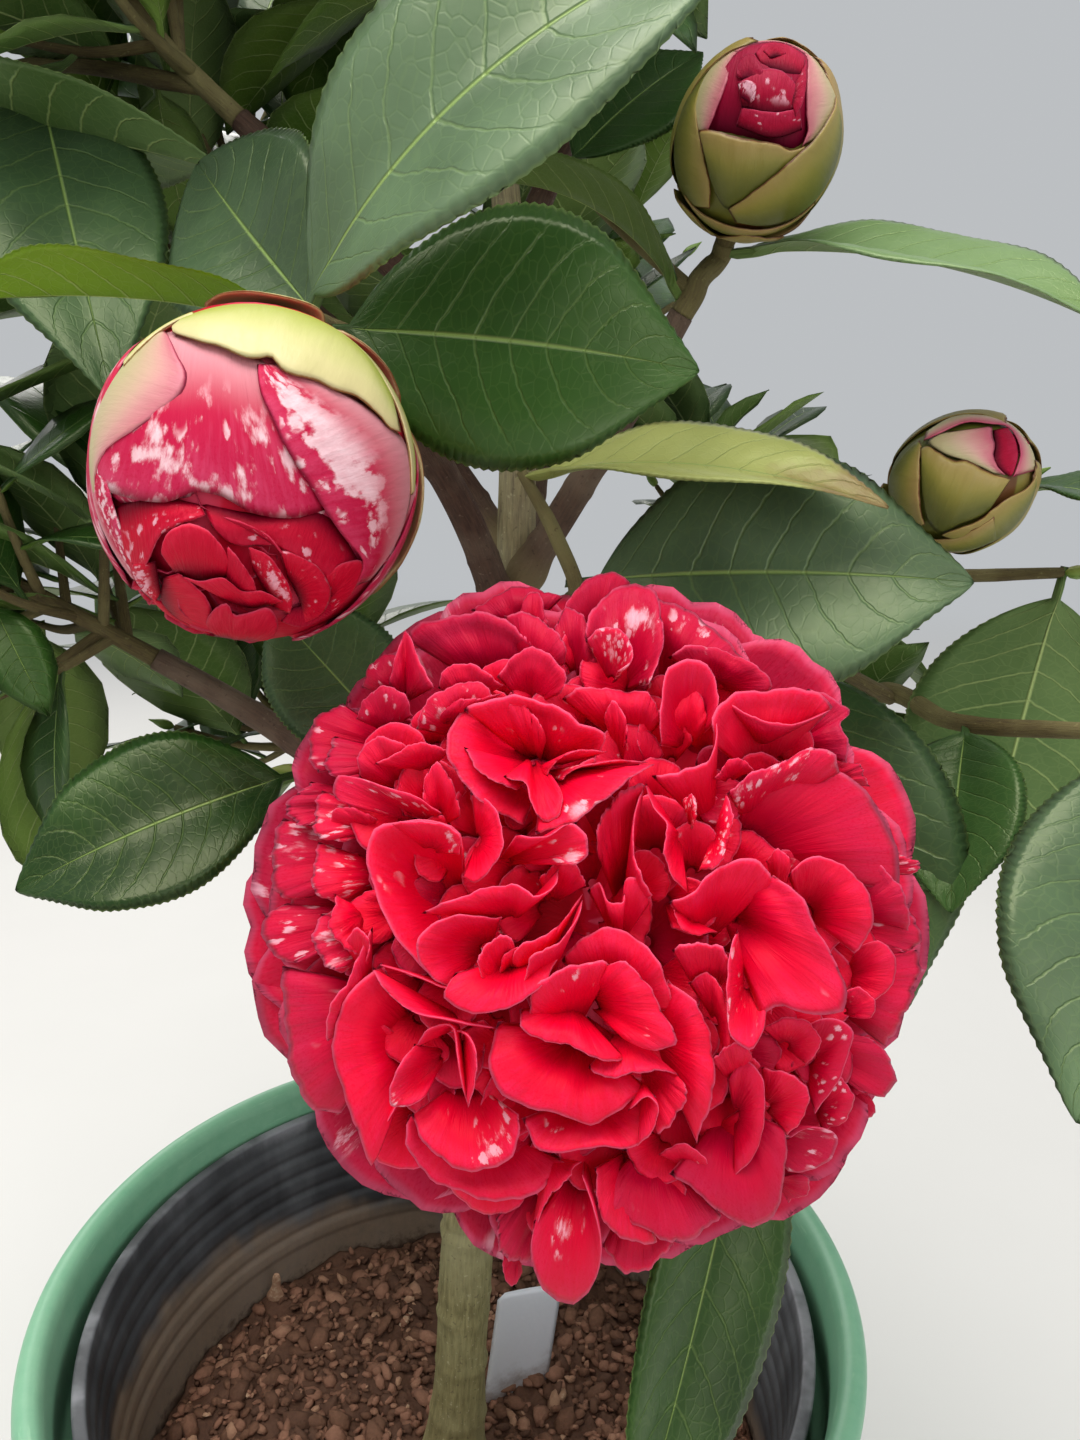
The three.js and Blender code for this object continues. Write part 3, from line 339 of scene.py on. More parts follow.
def smooth_line(line: Array, count: int) -> Array:
    """Points along the cubic Hermite curve through a line, with slopes from its neighbours.

    Args:
        line: Points with their radii, n by 4.
        count: How many points to give.

    Returns:
        The points with their radii, count by 4.
    """
    steps = np.linalg.norm(np.diff(line[:, :3], axis=0), axis=1)
    knots = np.concatenate([[0], np.cumsum(steps)])
    slopes = np.gradient(line, knots, axis=0)
    at = np.linspace(0, knots[-1], count)
    k = np.clip(np.searchsorted(knots, at, side="right") - 1, 0, len(steps) - 1)
    gap = steps[k][:, None]
    s = ((at - knots[k]) / steps[k])[:, None]
    a, b = line[k], line[k + 1]
    return (a * (2 * s**3 - 3 * s**2 + 1) + b * (3 * s**2 - 2 * s**3)
            + slopes[k] * gap * (s**3 - 2 * s**2 + s) + slopes[k + 1] * gap * (s**3 - s**2))


def add_tube(skin: Skin, line: Array, sides: int, relief: Array | float = 0.0, tone: float = 0.5,
             slot: int = 0, blunt: float = 0.35, mark: float | None = None) -> None:
    """Adds a tube round a line: rings square to it, and a rounded closed cap at each end.

    Args:
        skin: Where it goes.
        line: Points with their radii, n by 4, close enough for a smooth curve.
        sides: How many sides it has.
        relief: How far each ring point stands off the radius, n by sides, in millimetres.
        tone: The tube's tone.
        slot: The place of its material.
        blunt: How far each cap's tip stands off its end, in radii.
        mark: Its mark, or None for the length along it in decimetres.

    The UV pair is the cosine and sine of the angle round it.
    """
    points, radii = line[:, :3], line[:, 3]
    along = unit(np.gradient(points, axis=0))
    mean = unit(points[-1] - points[0])
    wanted = np.eye(3)[np.argmin(np.abs(mean))]
    across = unit(wanted - along * (along @ wanted)[:, None])
    third = np.cross(along, across)
    angle = evenly_round(sides)
    reach = radii[:, None] + relief
    ring = (points[:, None] + across[:, None] * (np.cos(angle) * reach)[..., None]
            + third[:, None] * (np.sin(angle) * reach)[..., None])
    n = len(line)
    wrapped = wrapped_numbers(n, sides)
    caps = np.stack([points[0] - along[0] * radii[0] * blunt, points[-1] + along[-1] * radii[-1] * blunt])
    uv = np.tile(np.stack([np.cos(angle), np.sin(angle)], -1) / 2 + 0.5, (n, 1))
    marks = np.repeat(lengths_along(points) / 100, sides) if mark is None else np.full(n * sides, mark)
    skin.add(
        np.concatenate([ring.reshape(-1, 3), caps]),
        [(grid_faces(wrapped)[:, ::-1], slot), (fan(n * sides, wrapped[0]), slot),
         (fan(n * sides + 1, wrapped[-1, ::-1]), slot)],
        np.concatenate([uv, uv[[0, -1]]]),
        tone,
        np.concatenate([marks, marks[[0, -1]]]),
    )


# Shader nodes


def linear(code: str) -> tuple[float, float, float, float]:
    """The linear colour of a six-figure sRGB code."""
    parts = [int(code[i:i + 2], 16) / 255 for i in (1, 3, 5)]
    red, green, blue = (p / 12.92 if p <= 0.04045 else ((p + 0.055) / 1.055) ** 2.4 for p in parts)
    return red, green, blue, 1.0


class Link:
    """A value that varies over a surface: an output socket, on which arithmetic adds Math nodes."""

    def __init__(self, bench: Bench, socket: bpy.types.NodeSocket) -> None:
        """Wraps an output socket of a bench's material."""
        self.bench = bench
        self.socket = socket

    def math(self, operation: str, *values: Link | float) -> Link:
        """The result of a Math node on values."""
        return self.bench.node("ShaderNodeMath", {"operation": operation}, dict(enumerate(values)))

    def __add__(self, other: Link | float) -> Link:
        """The sum."""
        return self.math("ADD", self, other)

    def __sub__(self, other: Link | float) -> Link:
        """The difference."""
        return self.math("SUBTRACT", self, other)

    def __rsub__(self, other: float) -> Link:
        """The difference, with the number first."""
        return self.math("SUBTRACT", other, self)

    def __mul__(self, other: Link | float) -> Link:
        """The product."""
        return self.math("MULTIPLY", self, other)

    def __abs__(self) -> Link:
        """The size without its sign."""
        return self.math("ABSOLUTE", self)

    def most(self, other: Link | float) -> Link:
        """The greater of the two."""
        return self.math("MAXIMUM", self, other)

    def fraction(self) -> Link:
        """What is left over a whole number."""
        return self.math("FRACT", self)

    def step(self, low: float, high: float) -> Link:
        """The smooth step from 0 at low to 1 at high, also where low is above high."""
        settings = {"interpolation_type": "SMOOTHSTEP"}
        if low < high:
            return self.bench.node("ShaderNodeMapRange", settings, {0: self, 1: low, 2: high, 3: 0.0, 4: 1.0})
        return self.bench.node("ShaderNodeMapRange", settings, {0: self, 1: high, 2: low, 3: 1.0, 4: 0.0})


class Bench:
    """The node tree of one material, and the few ways in which nodes are added to it."""

    def __init__(self, name: str) -> None:
        """Makes an empty material with its Principled surface."""
        self.made = bpy.data.materials.new(name)
        self.made.use_nodes = True
        self.tree = self.made.node_tree
        self.tree.nodes.clear()
        self.surface = self.tree.nodes.new("ShaderNodeBsdfPrincipled")
        output = self.tree.nodes.new("ShaderNodeOutputMaterial")
        self.tree.links.new(self.surface.outputs[0], output.inputs["Surface"])

    def node(self, kind: str, settings: dict | None = None, sockets: dict | None = None,
             output: int | str = 0) -> Link:
        """Adds a node.

        Args:
            kind: The node's type.
            settings: Its own settings, set first; "stops" holds a colour ramp's (place, colour) pairs.
            sockets: A value or a link for each input, by its name or number.
            output: The output to give back.

        Returns:
            The output as a link.
        """
        made = self.tree.nodes.new(kind)
        for name, value in (settings or {}).items():
            if name == "stops":
                self.set_stops(made.color_ramp, value)
            else:
                setattr(made, name, value)
        for name, value in (sockets or {}).items():
            self.feed(made.inputs[name], value)
        return Link(self, made.outputs[output])

    def set_stops(self, ramp: bpy.types.ColorRamp, stops: list[tuple[float, tuple]]) -> None:
        """Gives a colour ramp its stops."""
        while len(ramp.elements) < len(stops):
            ramp.elements.new(1.0)
        for element, (place, colour) in zip(ramp.elements, stops):
            element.position = place
            element.color = colour

    def feed(self, socket: bpy.types.NodeSocket, value: Link | float | tuple | str) -> None:
        """Puts a link, a fixed value or the colour of a six-figure code into an input."""
        if isinstance(value, Link):
            self.tree.links.new(value.socket, socket)
        else:
            socket.default_value = linear(value) if isinstance(value, str) else value

    def mix(self, share: Link | float, first: Link | tuple | str, second: Link | tuple | str) -> Link:
        """A colour on the way from the first to the second, by a share that is kept from 0 to 1."""
        settings = {"data_type": "RGBA", "clamp_factor": True}
        return self.node("ShaderNodeMix", settings, {0: share, 6: first, 7: second}, 2)

    def number(self, name: str) -> Link:
        """A number that the mesh holds for each point."""
        return self.node("ShaderNodeAttribute", {"attribute_name": name}, output="Fac")

    def object_place(self) -> Link:
        """The place on the object, in metres."""
        return self.node("ShaderNodeTexCoord", output="Object")

    def part(self, vector: Link, which: int) -> Link:
        """One of a vector's three numbers."""
        return self.node("ShaderNodeSeparateXYZ", sockets={0: vector}, output=which)

    def uv(self) -> tuple[Link, Link]:
        """The two numbers of the piece's own UV map."""
        both = self.node("ShaderNodeUVMap", {"uv_map": UV_NAME})
        return self.part(both, 0), self.part(both, 1)

    def stretched(self, at: Link, scale: tuple[float, float, float]) -> Link:
        """A place multiplied by a number along each axis."""
        return self.node("ShaderNodeMapping", sockets={0: at, "Scale": scale})

    def place(self, x: Link | float, y: Link | float, z: Link | float = 0.0) -> Link:
        """A vector of three numbers."""
        return self.node("ShaderNodeCombineXYZ", sockets={0: x, 1: y, 2: z})

    def noise(self, at: Link, scale: float, detail: float = 3.0, rough: float = 0.55) -> Link:
        """Noise from about 0 to 1 at a place."""
        sockets = {"Vector": at, "Scale": scale, "Detail": detail, "Roughness": rough}
        return self.node("ShaderNodeTexNoise", sockets=sockets)

    def cells(self, at: Link, feature: str = "DISTANCE_TO_EDGE") -> Link:
        """Distance to the edge of a cell, or another feature of a Voronoi pattern of cells one wide."""
        return self.node("ShaderNodeTexVoronoi", {"feature": feature}, {"Vector": at, "Scale": 1.0})

    def bump(self, height: Link, distance: float) -> Link:
        """The normal of a surface whose height varies by a distance in metres."""
        return self.node("ShaderNodeBump", sockets={"Height": height, "Distance": distance, "Strength": 1.0})

    def dress(self, sockets: dict[str, Link | float | tuple | str]) -> None:
        """Feeds the surface's own sockets, by name."""
        for name, value in sockets.items():
            self.feed(self.surface.inputs[name], value)


@dataclass(frozen=True)
class Finish:
    """A finish: it paints one material, which is made once."""

    name: str

    def paint(self, bench: Bench) -> None:
        """Adds the finish's nodes."""
        raise NotImplementedError

    def material(self) -> bpy.types.Material:
        """The finish's material, made when it is first asked for."""
        found = bpy.data.materials.get(self.name)
        if found:
            return found
        bench = Bench(self.name)
        self.paint(bench)
        return bench.made


@dataclass(frozen=True)
class LeafFinish(Finish):
    """One face of a leaf: midrib, side veins and a fine network on a mottled ground, with a greyish painted sky
    sheen where the mark is high.
    """

    deep: str = "#183513"
    fresh: str = "#39661a"
    # A lighter yellow-green that a few leaves take by their tone.
    yellow_green: str = "#6c9000"
    old: str = "#b8b96a"
    dry: str = "#7a4f35"
    rib: str = "#93ad5e"
    # The greyish green of the painted sky sheen.
    painted_sky_sheen: str = "#8ba083"
    vein_share: float = 0.16
    rough: float = 0.34
    height: float = 0.0002
    raised: float = -1.0

    def paint(self, bench: Bench) -> None:
        """Veins from the leaf's UV map, mottling from its place and its tone, and a painted sky sheen from its
        mark.
        """
        t, v = bench.uv()
        tone, painted_sky_sheen = bench.number("tone"), bench.number("mark")
        across = abs(v * 2 - 1)
        at = bench.object_place()
        cloud = bench.noise(at, 55, 4)
        broad = bench.noise(at, 22, 2)
        fine = bench.noise(at, 420, 3)
        rib = (across + t * 0.018).step(0.036, 0.012)
        fork = ((t - across * 0.11 - across * across * 0.1) * 9.5 + (cloud - 0.5) * 0.7).fraction()
        side = abs(fork - 0.5).step(0.06, 0.008) * across.step(0.95, 0.6)
        net = bench.cells(bench.place(t * 34, v * 15, tone * 40)).step(0.1, 0.0)
        ground = bench.mix(tone * 0.6 + (broad - 0.5) * 1.3 + (cloud - 0.5) * 0.6, self.deep, self.fresh)
        # Leaves with a tone from 0.8 to about 0.97 turn a lighter yellow-green.
        ground = bench.mix(tone.step(0.8, 0.92) * tone.step(0.985, 0.955), ground, self.yellow_green)
        ground = bench.mix(((cloud - 0.62) * 6 * (fine + 0.4)).step(0.35, 1.2) * 0.16, ground, self.old)
        aged = tone.step(0.96, 0.99)
        ground = bench.mix(aged * (cloud * 0.5 + 0.55), ground, self.old)
        ground = bench.mix(aged * (t * 0.7 + cloud * 0.8).step(0.88, 1.1) * 0.8, ground, self.dry)
        # Painted sky reflection: where the mark is high, clouds of greyish green stand for the sky's sheen on
        # the glossy face.
        ground = bench.mix(painted_sky_sheen * (broad * 0.9 + cloud * 0.5), ground, self.painted_sky_sheen)
        ground = bench.mix(net * 0.05 + side * self.vein_share, ground, self.rib)
        ground = bench.mix(rib * 0.75, ground, self.rib)
        ground = bench.mix(across.step(0.965, 0.999) * 0.4, ground, self.rib)
        lifted = (rib * 1.4 + side * 0.8 + net * 0.1) * self.raised + fine * 0.12 + cloud * 0.8
        bench.dress({
            "Base Color": ground,
            "Roughness": fine * 0.16 + cloud * 0.12 + (self.rough - 0.14),
            "Normal": bench.bump(lifted, self.height),
            "Specular IOR Level": 0.5,
            "Specular Tint": "#f2f6c8",
        })


@dataclass(frozen=True)
class PetalFinish(Finish):
    """Velvety crimson: painted shade deeper at the base, outer petals darker by their own hue and painted
    shade, a pale painted sheen towards the free edge and a pale painted highlight along the rim, with white
    blotches where the mark is high.
    """

    # The base colour: painted shade at the foot of each bloom petal, a pale base in the bud petal.
    deep: str = "#b4001c"
    main: str = "#e6002c"
    light: str = "#f80450"
    # The darker crimson of the outer petals: their own hue and painted shade.
    outer: str = "#a20230"
    white: str = "#f9c6d4"
    # A pale pink painted sheen towards each petal's free edge.
    painted_sheen: str = "#f4608c"
    # The line along the edges: a pale painted highlight in the bloom's finishes, a darker edge in the bud
    # petal.
    rim: str = "#fb6c92"
    along: float = 4.2
    around: float = 9.0
    fine: float = 1.0
    streaky: float = 0.9
    # How strongly the painted sheen shows.
    painted_sheen_share: float = 0.2

    def paint(self, bench: Bench) -> None:
        """The UV map runs along and across each petal; tone and mark vary it."""
        t, v = bench.uv()
        tone, mark = bench.number("tone"), bench.number("mark")
        across = abs(v * 2 - 1)
        lines = bench.noise(bench.place(t * 3, v * 34, tone * 50), 1.0, 3)
        grain = bench.noise(bench.place(t * 50, v * 80, tone * 20), 1.0, 2)
        cloud = bench.noise(bench.place(t * 3, v * 3.4, tone * 90), 1.0, 3)
        ragged = bench.noise(bench.place(t * 7, v * 24, tone * 30), 1.0, 4, 0.7)
        patch = bench.noise(bench.place(t * 2.4 * self.fine, v * 4.5 * self.fine, tone * 70 + 3), 1.0, 2)
        cell = bench.cells(bench.place(t * self.along, v * self.around, tone * 60), "F1")
        # Painted shade: each petal darkens towards its base, down in the bloom's hollows.
        ground = bench.mix(t.step(0.0, 0.5), self.deep, self.main)
        ground = bench.mix((cloud - 0.5) * 0.7 + (lines - 0.5) * 0.8 + (t - 0.6) * 0.3, ground, self.light)
        # The outer petals, by their high tone, turn darker: their own hue and painted shade.
        ground = bench.mix(tone.step(0.45, 1.0) * (cloud * 0.5 + 0.5), ground, self.outer)
        # Painted sheen: a pale pink glow in streaks over the outer half of each petal.
        painted_sheen = t.step(0.45, 1.0) * (lines * 0.5 + cloud * 0.5) * (1 - grain.step(0.5, 0.66) * 0.7)
        ground = bench.mix(painted_sheen * self.painted_sheen_share, ground, self.painted_sheen)
        dots = (cell + (ragged - 0.5) * 0.9).step(0.36, 0.22) * (patch * 0.9 + mark * 0.42).step(0.67, 0.8)
        streaks = (patch * 0.7 + ragged * 0.36 + mark * 0.3).step(0.8, 0.93)
        streaks = streaks * mark.step(self.streaky - 0.35, self.streaky + 0.1)
        spots = dots.most(streaks) * mark.step(0.02, 0.2) * t.step(0.2, 0.55)
        ground = bench.mix(spots * (ragged * 0.6 + 0.35), ground, self.white)
        # Painted highlight: a pale line along the thin free edge and sides, where light catches it; the bud
        # petal's line is darker.
        edge = across.step(0.975, 1.0).most(t.step(0.955, 1.0))
        ground = bench.mix(edge * 0.6, ground, self.rim)
        bench.dress({
            "Base Color": ground,
            "Roughness": lines * 0.12 + 0.44,
            "Normal": bench.bump(lines * 0.9 + cloud * 0.5, 0.00022),
            "Specular IOR Level": 0.1,
        })


@dataclass(frozen=True)
class ScaleFinish(Finish):
    """A bud scale: yellow-green skin, browner towards its papery rim."""

    foot: str = "#8b9a45"
    main: str = "#c6c98a"
    blush: str = "#d99a86"
    rim: str = "#6b3a1d"
    blush_share: float = 0.25

    def paint(self, bench: Bench) -> None:
        """The UV map runs along and across each scale."""
        t, v = bench.uv()
        tone = bench.number("tone")
        across = abs(v * 2 - 1)
        lines = bench.noise(bench.place(t * 4, v * 30, tone * 40), 1.0, 3)
        cloud = bench.noise(bench.place(t * 3, v * 4, tone * 80), 1.0, 4)
        ground = bench.mix(t.step(0.1, 0.75) + (cloud - 0.5) * 0.5, self.foot, self.main)
        ground = bench.mix(t.step(0.45, 1.0) * self.blush_share * (cloud + tone * 1.6), ground, self.blush)
        ground = bench.mix((lines - 0.55) * 0.5, ground, self.foot)
        worn = (across.most(t) + (cloud - 0.5) * 0.04 + (lines - 0.5) * 0.03).step(0.965, 0.99)
        ground = bench.mix(worn * 0.9, ground, self.rim)
        bench.dress({
            "Base Color": ground,
            "Roughness": lines * 0.2 + 0.36,
            "Normal": bench.bump(lines * 0.6 + cloud * 0.5, 0.00018),
            "Specular IOR Level": 0.45,
        })


@dataclass(frozen=True)
class BarkFinish(Finish):
    """Bark: fine fissures along the limb, pale scaly patches and specks."""

    pale: str = "#d2c8a2"
    main: str = "#b3a67a"
    dark: str = "#5f5140"
    moss: str = "#94904f"
    moss_share: float = 0.4
    moss_foot: float = 0.2
    moss_top: float = 0.4
    grain: float = 1.0
    collar: str = "#9d9266"
    collar_share: float = 0.0

    def paint(self, bench: Bench) -> None:
        """The UV map goes round the limb and the mark along it; moss fades out upwards."""
        across, round_ = bench.uv()
        tone, along = bench.number("tone"), bench.number("mark")
        at = bench.object_place()
        z = bench.part(at, 2)
        fissure = bench.noise(bench.place(across * 6.4, round_ * 6.4, along * 6 * self.grain), 2.2, 5, 0.65)
        cloud = bench.noise(at, 48, 4)
        speck = bench.noise(at, 700, 2)
        ground = bench.mix((fissure - 0.5) * 2.2 + 0.5, self.dark, self.main)
        ground = bench.mix((cloud - 0.42) * 1.8 + (tone - 0.5) * 0.5, ground, self.pale)
        mossy = z.step(self.moss_top, self.moss_foot) * self.moss_share * (cloud + 0.4)
        ground = bench.mix(mossy, ground, self.moss)
        ground = bench.mix((along + cloud * 0.1).step(0.24, 0.1) * self.collar_share, ground, self.collar)
        ground = bench.mix(speck.step(0.64, 0.74) * 0.5, ground, self.pale)
        ground = bench.mix(speck.step(0.36, 0.28) * 0.5, ground, self.dark)
        bench.dress({
            "Base Color": ground,
            "Roughness": fissure * 0.2 + 0.66,
            "Normal": bench.bump(fissure * 1.0 + cloud * 0.4 + speck * 0.2, 0.0005),
            "Specular IOR Level": 0.25,
        })


@dataclass(frozen=True)
class PotFinish(Finish):
    """Weathered plastic: a plain ground with dust, scuffs and fine marks of turning."""

    main: str = "#69a883"
    worn: str = "#a8d4b0"
    dust: str = "#8f8776"
    dust_height: float = 0.06
    rough: float = 0.42
    dust_share: float = 0.5

    def paint(self, bench: Bench) -> None:
        """Dust gathers low down and in clouds; scuffs are fine and bright."""
        at = bench.object_place()
        z = bench.part(at, 2)
        cloud = bench.noise(at, 14, 5)
        fine = bench.noise(at, 180, 4, 0.65)
        scuff = bench.noise(bench.stretched(at, (60, 60, 900)), 1.0, 3, 0.7)
        low = z.step(self.dust_height, 0.0)
        ground = bench.mix((cloud - 0.5) * 0.6 + (fine - 0.5) * 0.4 + 0.3, self.main, self.worn)
        ground = bench.mix(scuff.step(0.62, 0.72) * 0.35, ground, self.worn)
        dusty = (low + cloud - 0.62).step(0.0, 0.9) * (fine + 0.35) * self.dust_share
        ground = bench.mix(dusty, ground, self.dust)
        bench.dress({
            "Base Color": ground,
            "Roughness": cloud * 0.22 + fine * 0.18 + (self.rough - 0.2),
            "Normal": bench.bump(fine * 0.6 + scuff * 0.4, 0.00012),
        })


@dataclass(frozen=True)
class LinerFinish(Finish):
    """Black plastic gone grey: pale on the rubbed ribs and lip, with a tan stain above the mix and a dark band
    of painted shade just over it.
    """

    stain_low: float = 0.160
    stain_high: float = 0.178
    stain_rise: float = 0.022
    top: float = 0.228

    def paint(self, bench: Bench) -> None:
        """The stain, the wear and the band of painted shade follow the height on the object; the stain rises
        towards the left.
        """
        at = bench.object_place()
        left = bench.part(at, 0).step(0.0, -0.11)
        z = bench.part(at, 2)
        cloud = bench.noise(at, 26, 5)
        fine = bench.noise(at, 260, 4, 0.7)
        smear = bench.noise(bench.stretched(at, (40, 40, 7)), 1.0, 4)
        ground = bench.mix((cloud - 0.4) * 1.6, "#323336", "#6c6e72")
        ground = bench.mix((smear - 0.42).step(0.0, 0.25) * 0.35, ground, "#85878a")
        lip = (z + (cloud - 0.5) * 0.02).step(self.top - 0.0045, self.top + 0.001)
        ground = bench.mix(lip * (smear.step(0.42, 0.6) * 0.6 + 0.12), ground, "#97979c")
        stain = z - left * self.stain_rise + (smear - 0.5) * 0.03
        stain = stain.step(self.stain_high, self.stain_low + 0.006)
        ground = bench.mix(stain * (fine * 0.6 + 0.45) * 0.8, ground, "#9c846c")
        # Painted shade: a dark brown band just above the mix line, where the wall meets the mix.
        painted_shade_band = (z + (fine - 0.5) * 0.02).step(self.stain_low + 0.006, self.stain_low - 0.002)
        ground = bench.mix(painted_shade_band, ground, "#4c382b")
        bench.dress({
            "Base Color": ground,
            "Roughness": cloud * 0.25 + fine * 0.2 + 0.35,
            "Normal": bench.bump(fine * 0.8 + smear * 0.5, 0.0002),
        })


@dataclass(frozen=True)
class CrumbFinish(Finish):
    """Damp bark crumbs: each crumb has its own brown, from nearly black to tan."""

    def paint(self, bench: Bench) -> None:
        """The tone picks the crumb's brown."""
        tone = bench.number("tone")
        at = bench.object_place()
        fine = bench.noise(at, 600, 4, 0.7)
        cloud = bench.noise(at, 60, 4)
        stops = [(0.0, linear("#463128")), (0.35, linear("#74523f")), (0.68, linear("#9c705a")),
                 (0.9, linear("#ba9174")), (1.0, linear("#dcc4a6"))]
        share = tone * 0.8 + (fine - 0.5) * 0.4 + cloud * 0.18
        ground = bench.node("ShaderNodeValToRGB", {"stops": stops}, {0: share})
        bench.dress({
            "Base Color": ground,
            "Roughness": fine * 0.2 + 0.72,
            "Normal": bench.bump(fine, 0.0006),
            "Specular IOR Level": 0.25,
        })


@dataclass(frozen=True)
class CardFinish(Finish):
    """White plastic card, soiled towards its foot."""

    foot: float = 0.170

    def paint(self, bench: Bench) -> None:
        """Soil splashes fade out upwards."""
        at = bench.object_place()
        z = bench.part(at, 2)
        cloud = bench.noise(at, 90, 5, 0.65)
        fine = bench.noise(at, 500, 3)
        dirt = (z + (cloud - 0.5) * 0.03).step(self.foot + 0.012, self.foot - 0.004)
        ground = bench.mix((fine - 0.4) * 0.25, "#f2f4fa", "#dcdfe8")
        ground = bench.mix(dirt * 0.8, ground, "#7a5f49")
        ground = bench.mix(cloud.step(0.66, 0.74) * 0.35, ground, "#8f8274")
        bench.dress({
            "Base Color": ground,
            "Roughness": fine * 0.2 + 0.4,
            "Normal": bench.bump(fine, 0.00008),
        })


AIR = (0.84, 0.87, 0.9, 1.0)
AIR_STRENGTH = 0.6


@dataclass(frozen=True)
class FloorFinish(Finish):
    """A plain pale matt floor that fades into the air all round, far from the plant."""

    near: float = 0.8
    far: float = 3.2

    def paint(self, bench: Bench) -> None:
        """Barely mottled near the plant; the fade follows the square of the distance from the middle."""
        at = bench.object_place()
        x, y = bench.part(at, 0), bench.part(at, 1)
        fade = (x * x + y * y).step(self.near**2, self.far**2)
        ground = bench.mix(bench.noise(at, 3, 4), "#cfcdc9", "#d8d6d2")
        black = (0.0, 0.0, 0.0, 1.0)
        air = tuple(part * AIR_STRENGTH for part in AIR[:3]) + (1.0,)
        bench.dress({
            "Base Color": bench.mix(fade, ground, black),
            "Roughness": 0.8,
            "Specular IOR Level": 0.0,
            "Emission Color": bench.mix(fade, black, air),
            "Emission Strength": 1.0,
        })


LEAF_TOP = LeafFinish("leaf_upper_face")
LEAF_UNDER = LeafFinish("leaf_lower_face", deep="#3c5c14", fresh="#76903c", old="#8f9144", rib="#b4c67c",
                        rough=0.55, raised=1.0, height=0.0003, vein_share=0.4)
# In the bloom's petal finishes the base colour is painted shade, the pale pink overlay a painted sheen and the
# pale edge line a painted highlight; the crumpled finishes' very dark bases are painted shade deep in the
# folds.
PETAL = PetalFinish("crimson_petal")
BUD_PETAL = PetalFinish("bud_petal", deep="#d99aa0", main="#bf1440", light="#e8668a", outer="#b01038",
                        white="#ffe6ea", painted_sheen="#e0527e", painted_sheen_share=0.4, rim="#8e1230", along=5.0, around=10.0,
                        fine=1.9, streaky=0.8)
CRUMPLED = PetalFinish("crumpled_petal", deep="#5d0014", main="#c40a2c", light="#ee3450", outer="#8e0a30",
                       painted_sheen="#d03c5e", rim="#d8506c")
SMALL_CRUMPLED = PetalFinish("small_crumpled_petal", deep="#4d0018", main="#a40a30", light="#cc2c54",
                             outer="#7a0a30", painted_sheen="#c0486c", rim="#cc5878", painted_sheen_share=0.3)
BIG_SCALE = ScaleFinish("big_bud_scale", foot="#a9b04a", main="#cfc98a", blush="#d8b890", rim="#94561f")
SMALL_SCALE = ScaleFinish("small_bud_scale", foot="#5b5e1f", main="#8d8636", blush="#b78c62", blush_share=0.3)
PALE_SKIN = ScaleFinish("pale_petal_skin", foot="#b9ad80", main="#cf9a90", blush="#c04a68", rim="#a8284c",
                        blush_share=0.6)
GROWTH_BUD = ScaleFinish("growth_bud", foot="#6c8a34", main="#8fa548", rim="#6f5a2c", blush_share=0.1)
TRUNK_BARK = BarkFinish("trunk_bark")
BOUGH_BARK = BarkFinish("bough_bark", pale="#8d7b68", main="#654a3c", dark="#3a2822", moss_share=0.0,
                        grain=1.6, collar="#857654", collar_share=0.85)
TWIG_BARK = BarkFinish("twig_bark", pale="#989060", main="#766a40", dark="#4a3a2a", moss_share=0.0, grain=2.0)
POT_PLASTIC = PotFinish("mint_plastic")
LINER_PLASTIC = LinerFinish("grey_black_plastic")
CRUMBS = CrumbFinish("bark_crumbs")
CARD = CardFinish("white_card")
FLOOR = FloorFinish("pale_floor")


# The plant's own sizes, as in the part's source

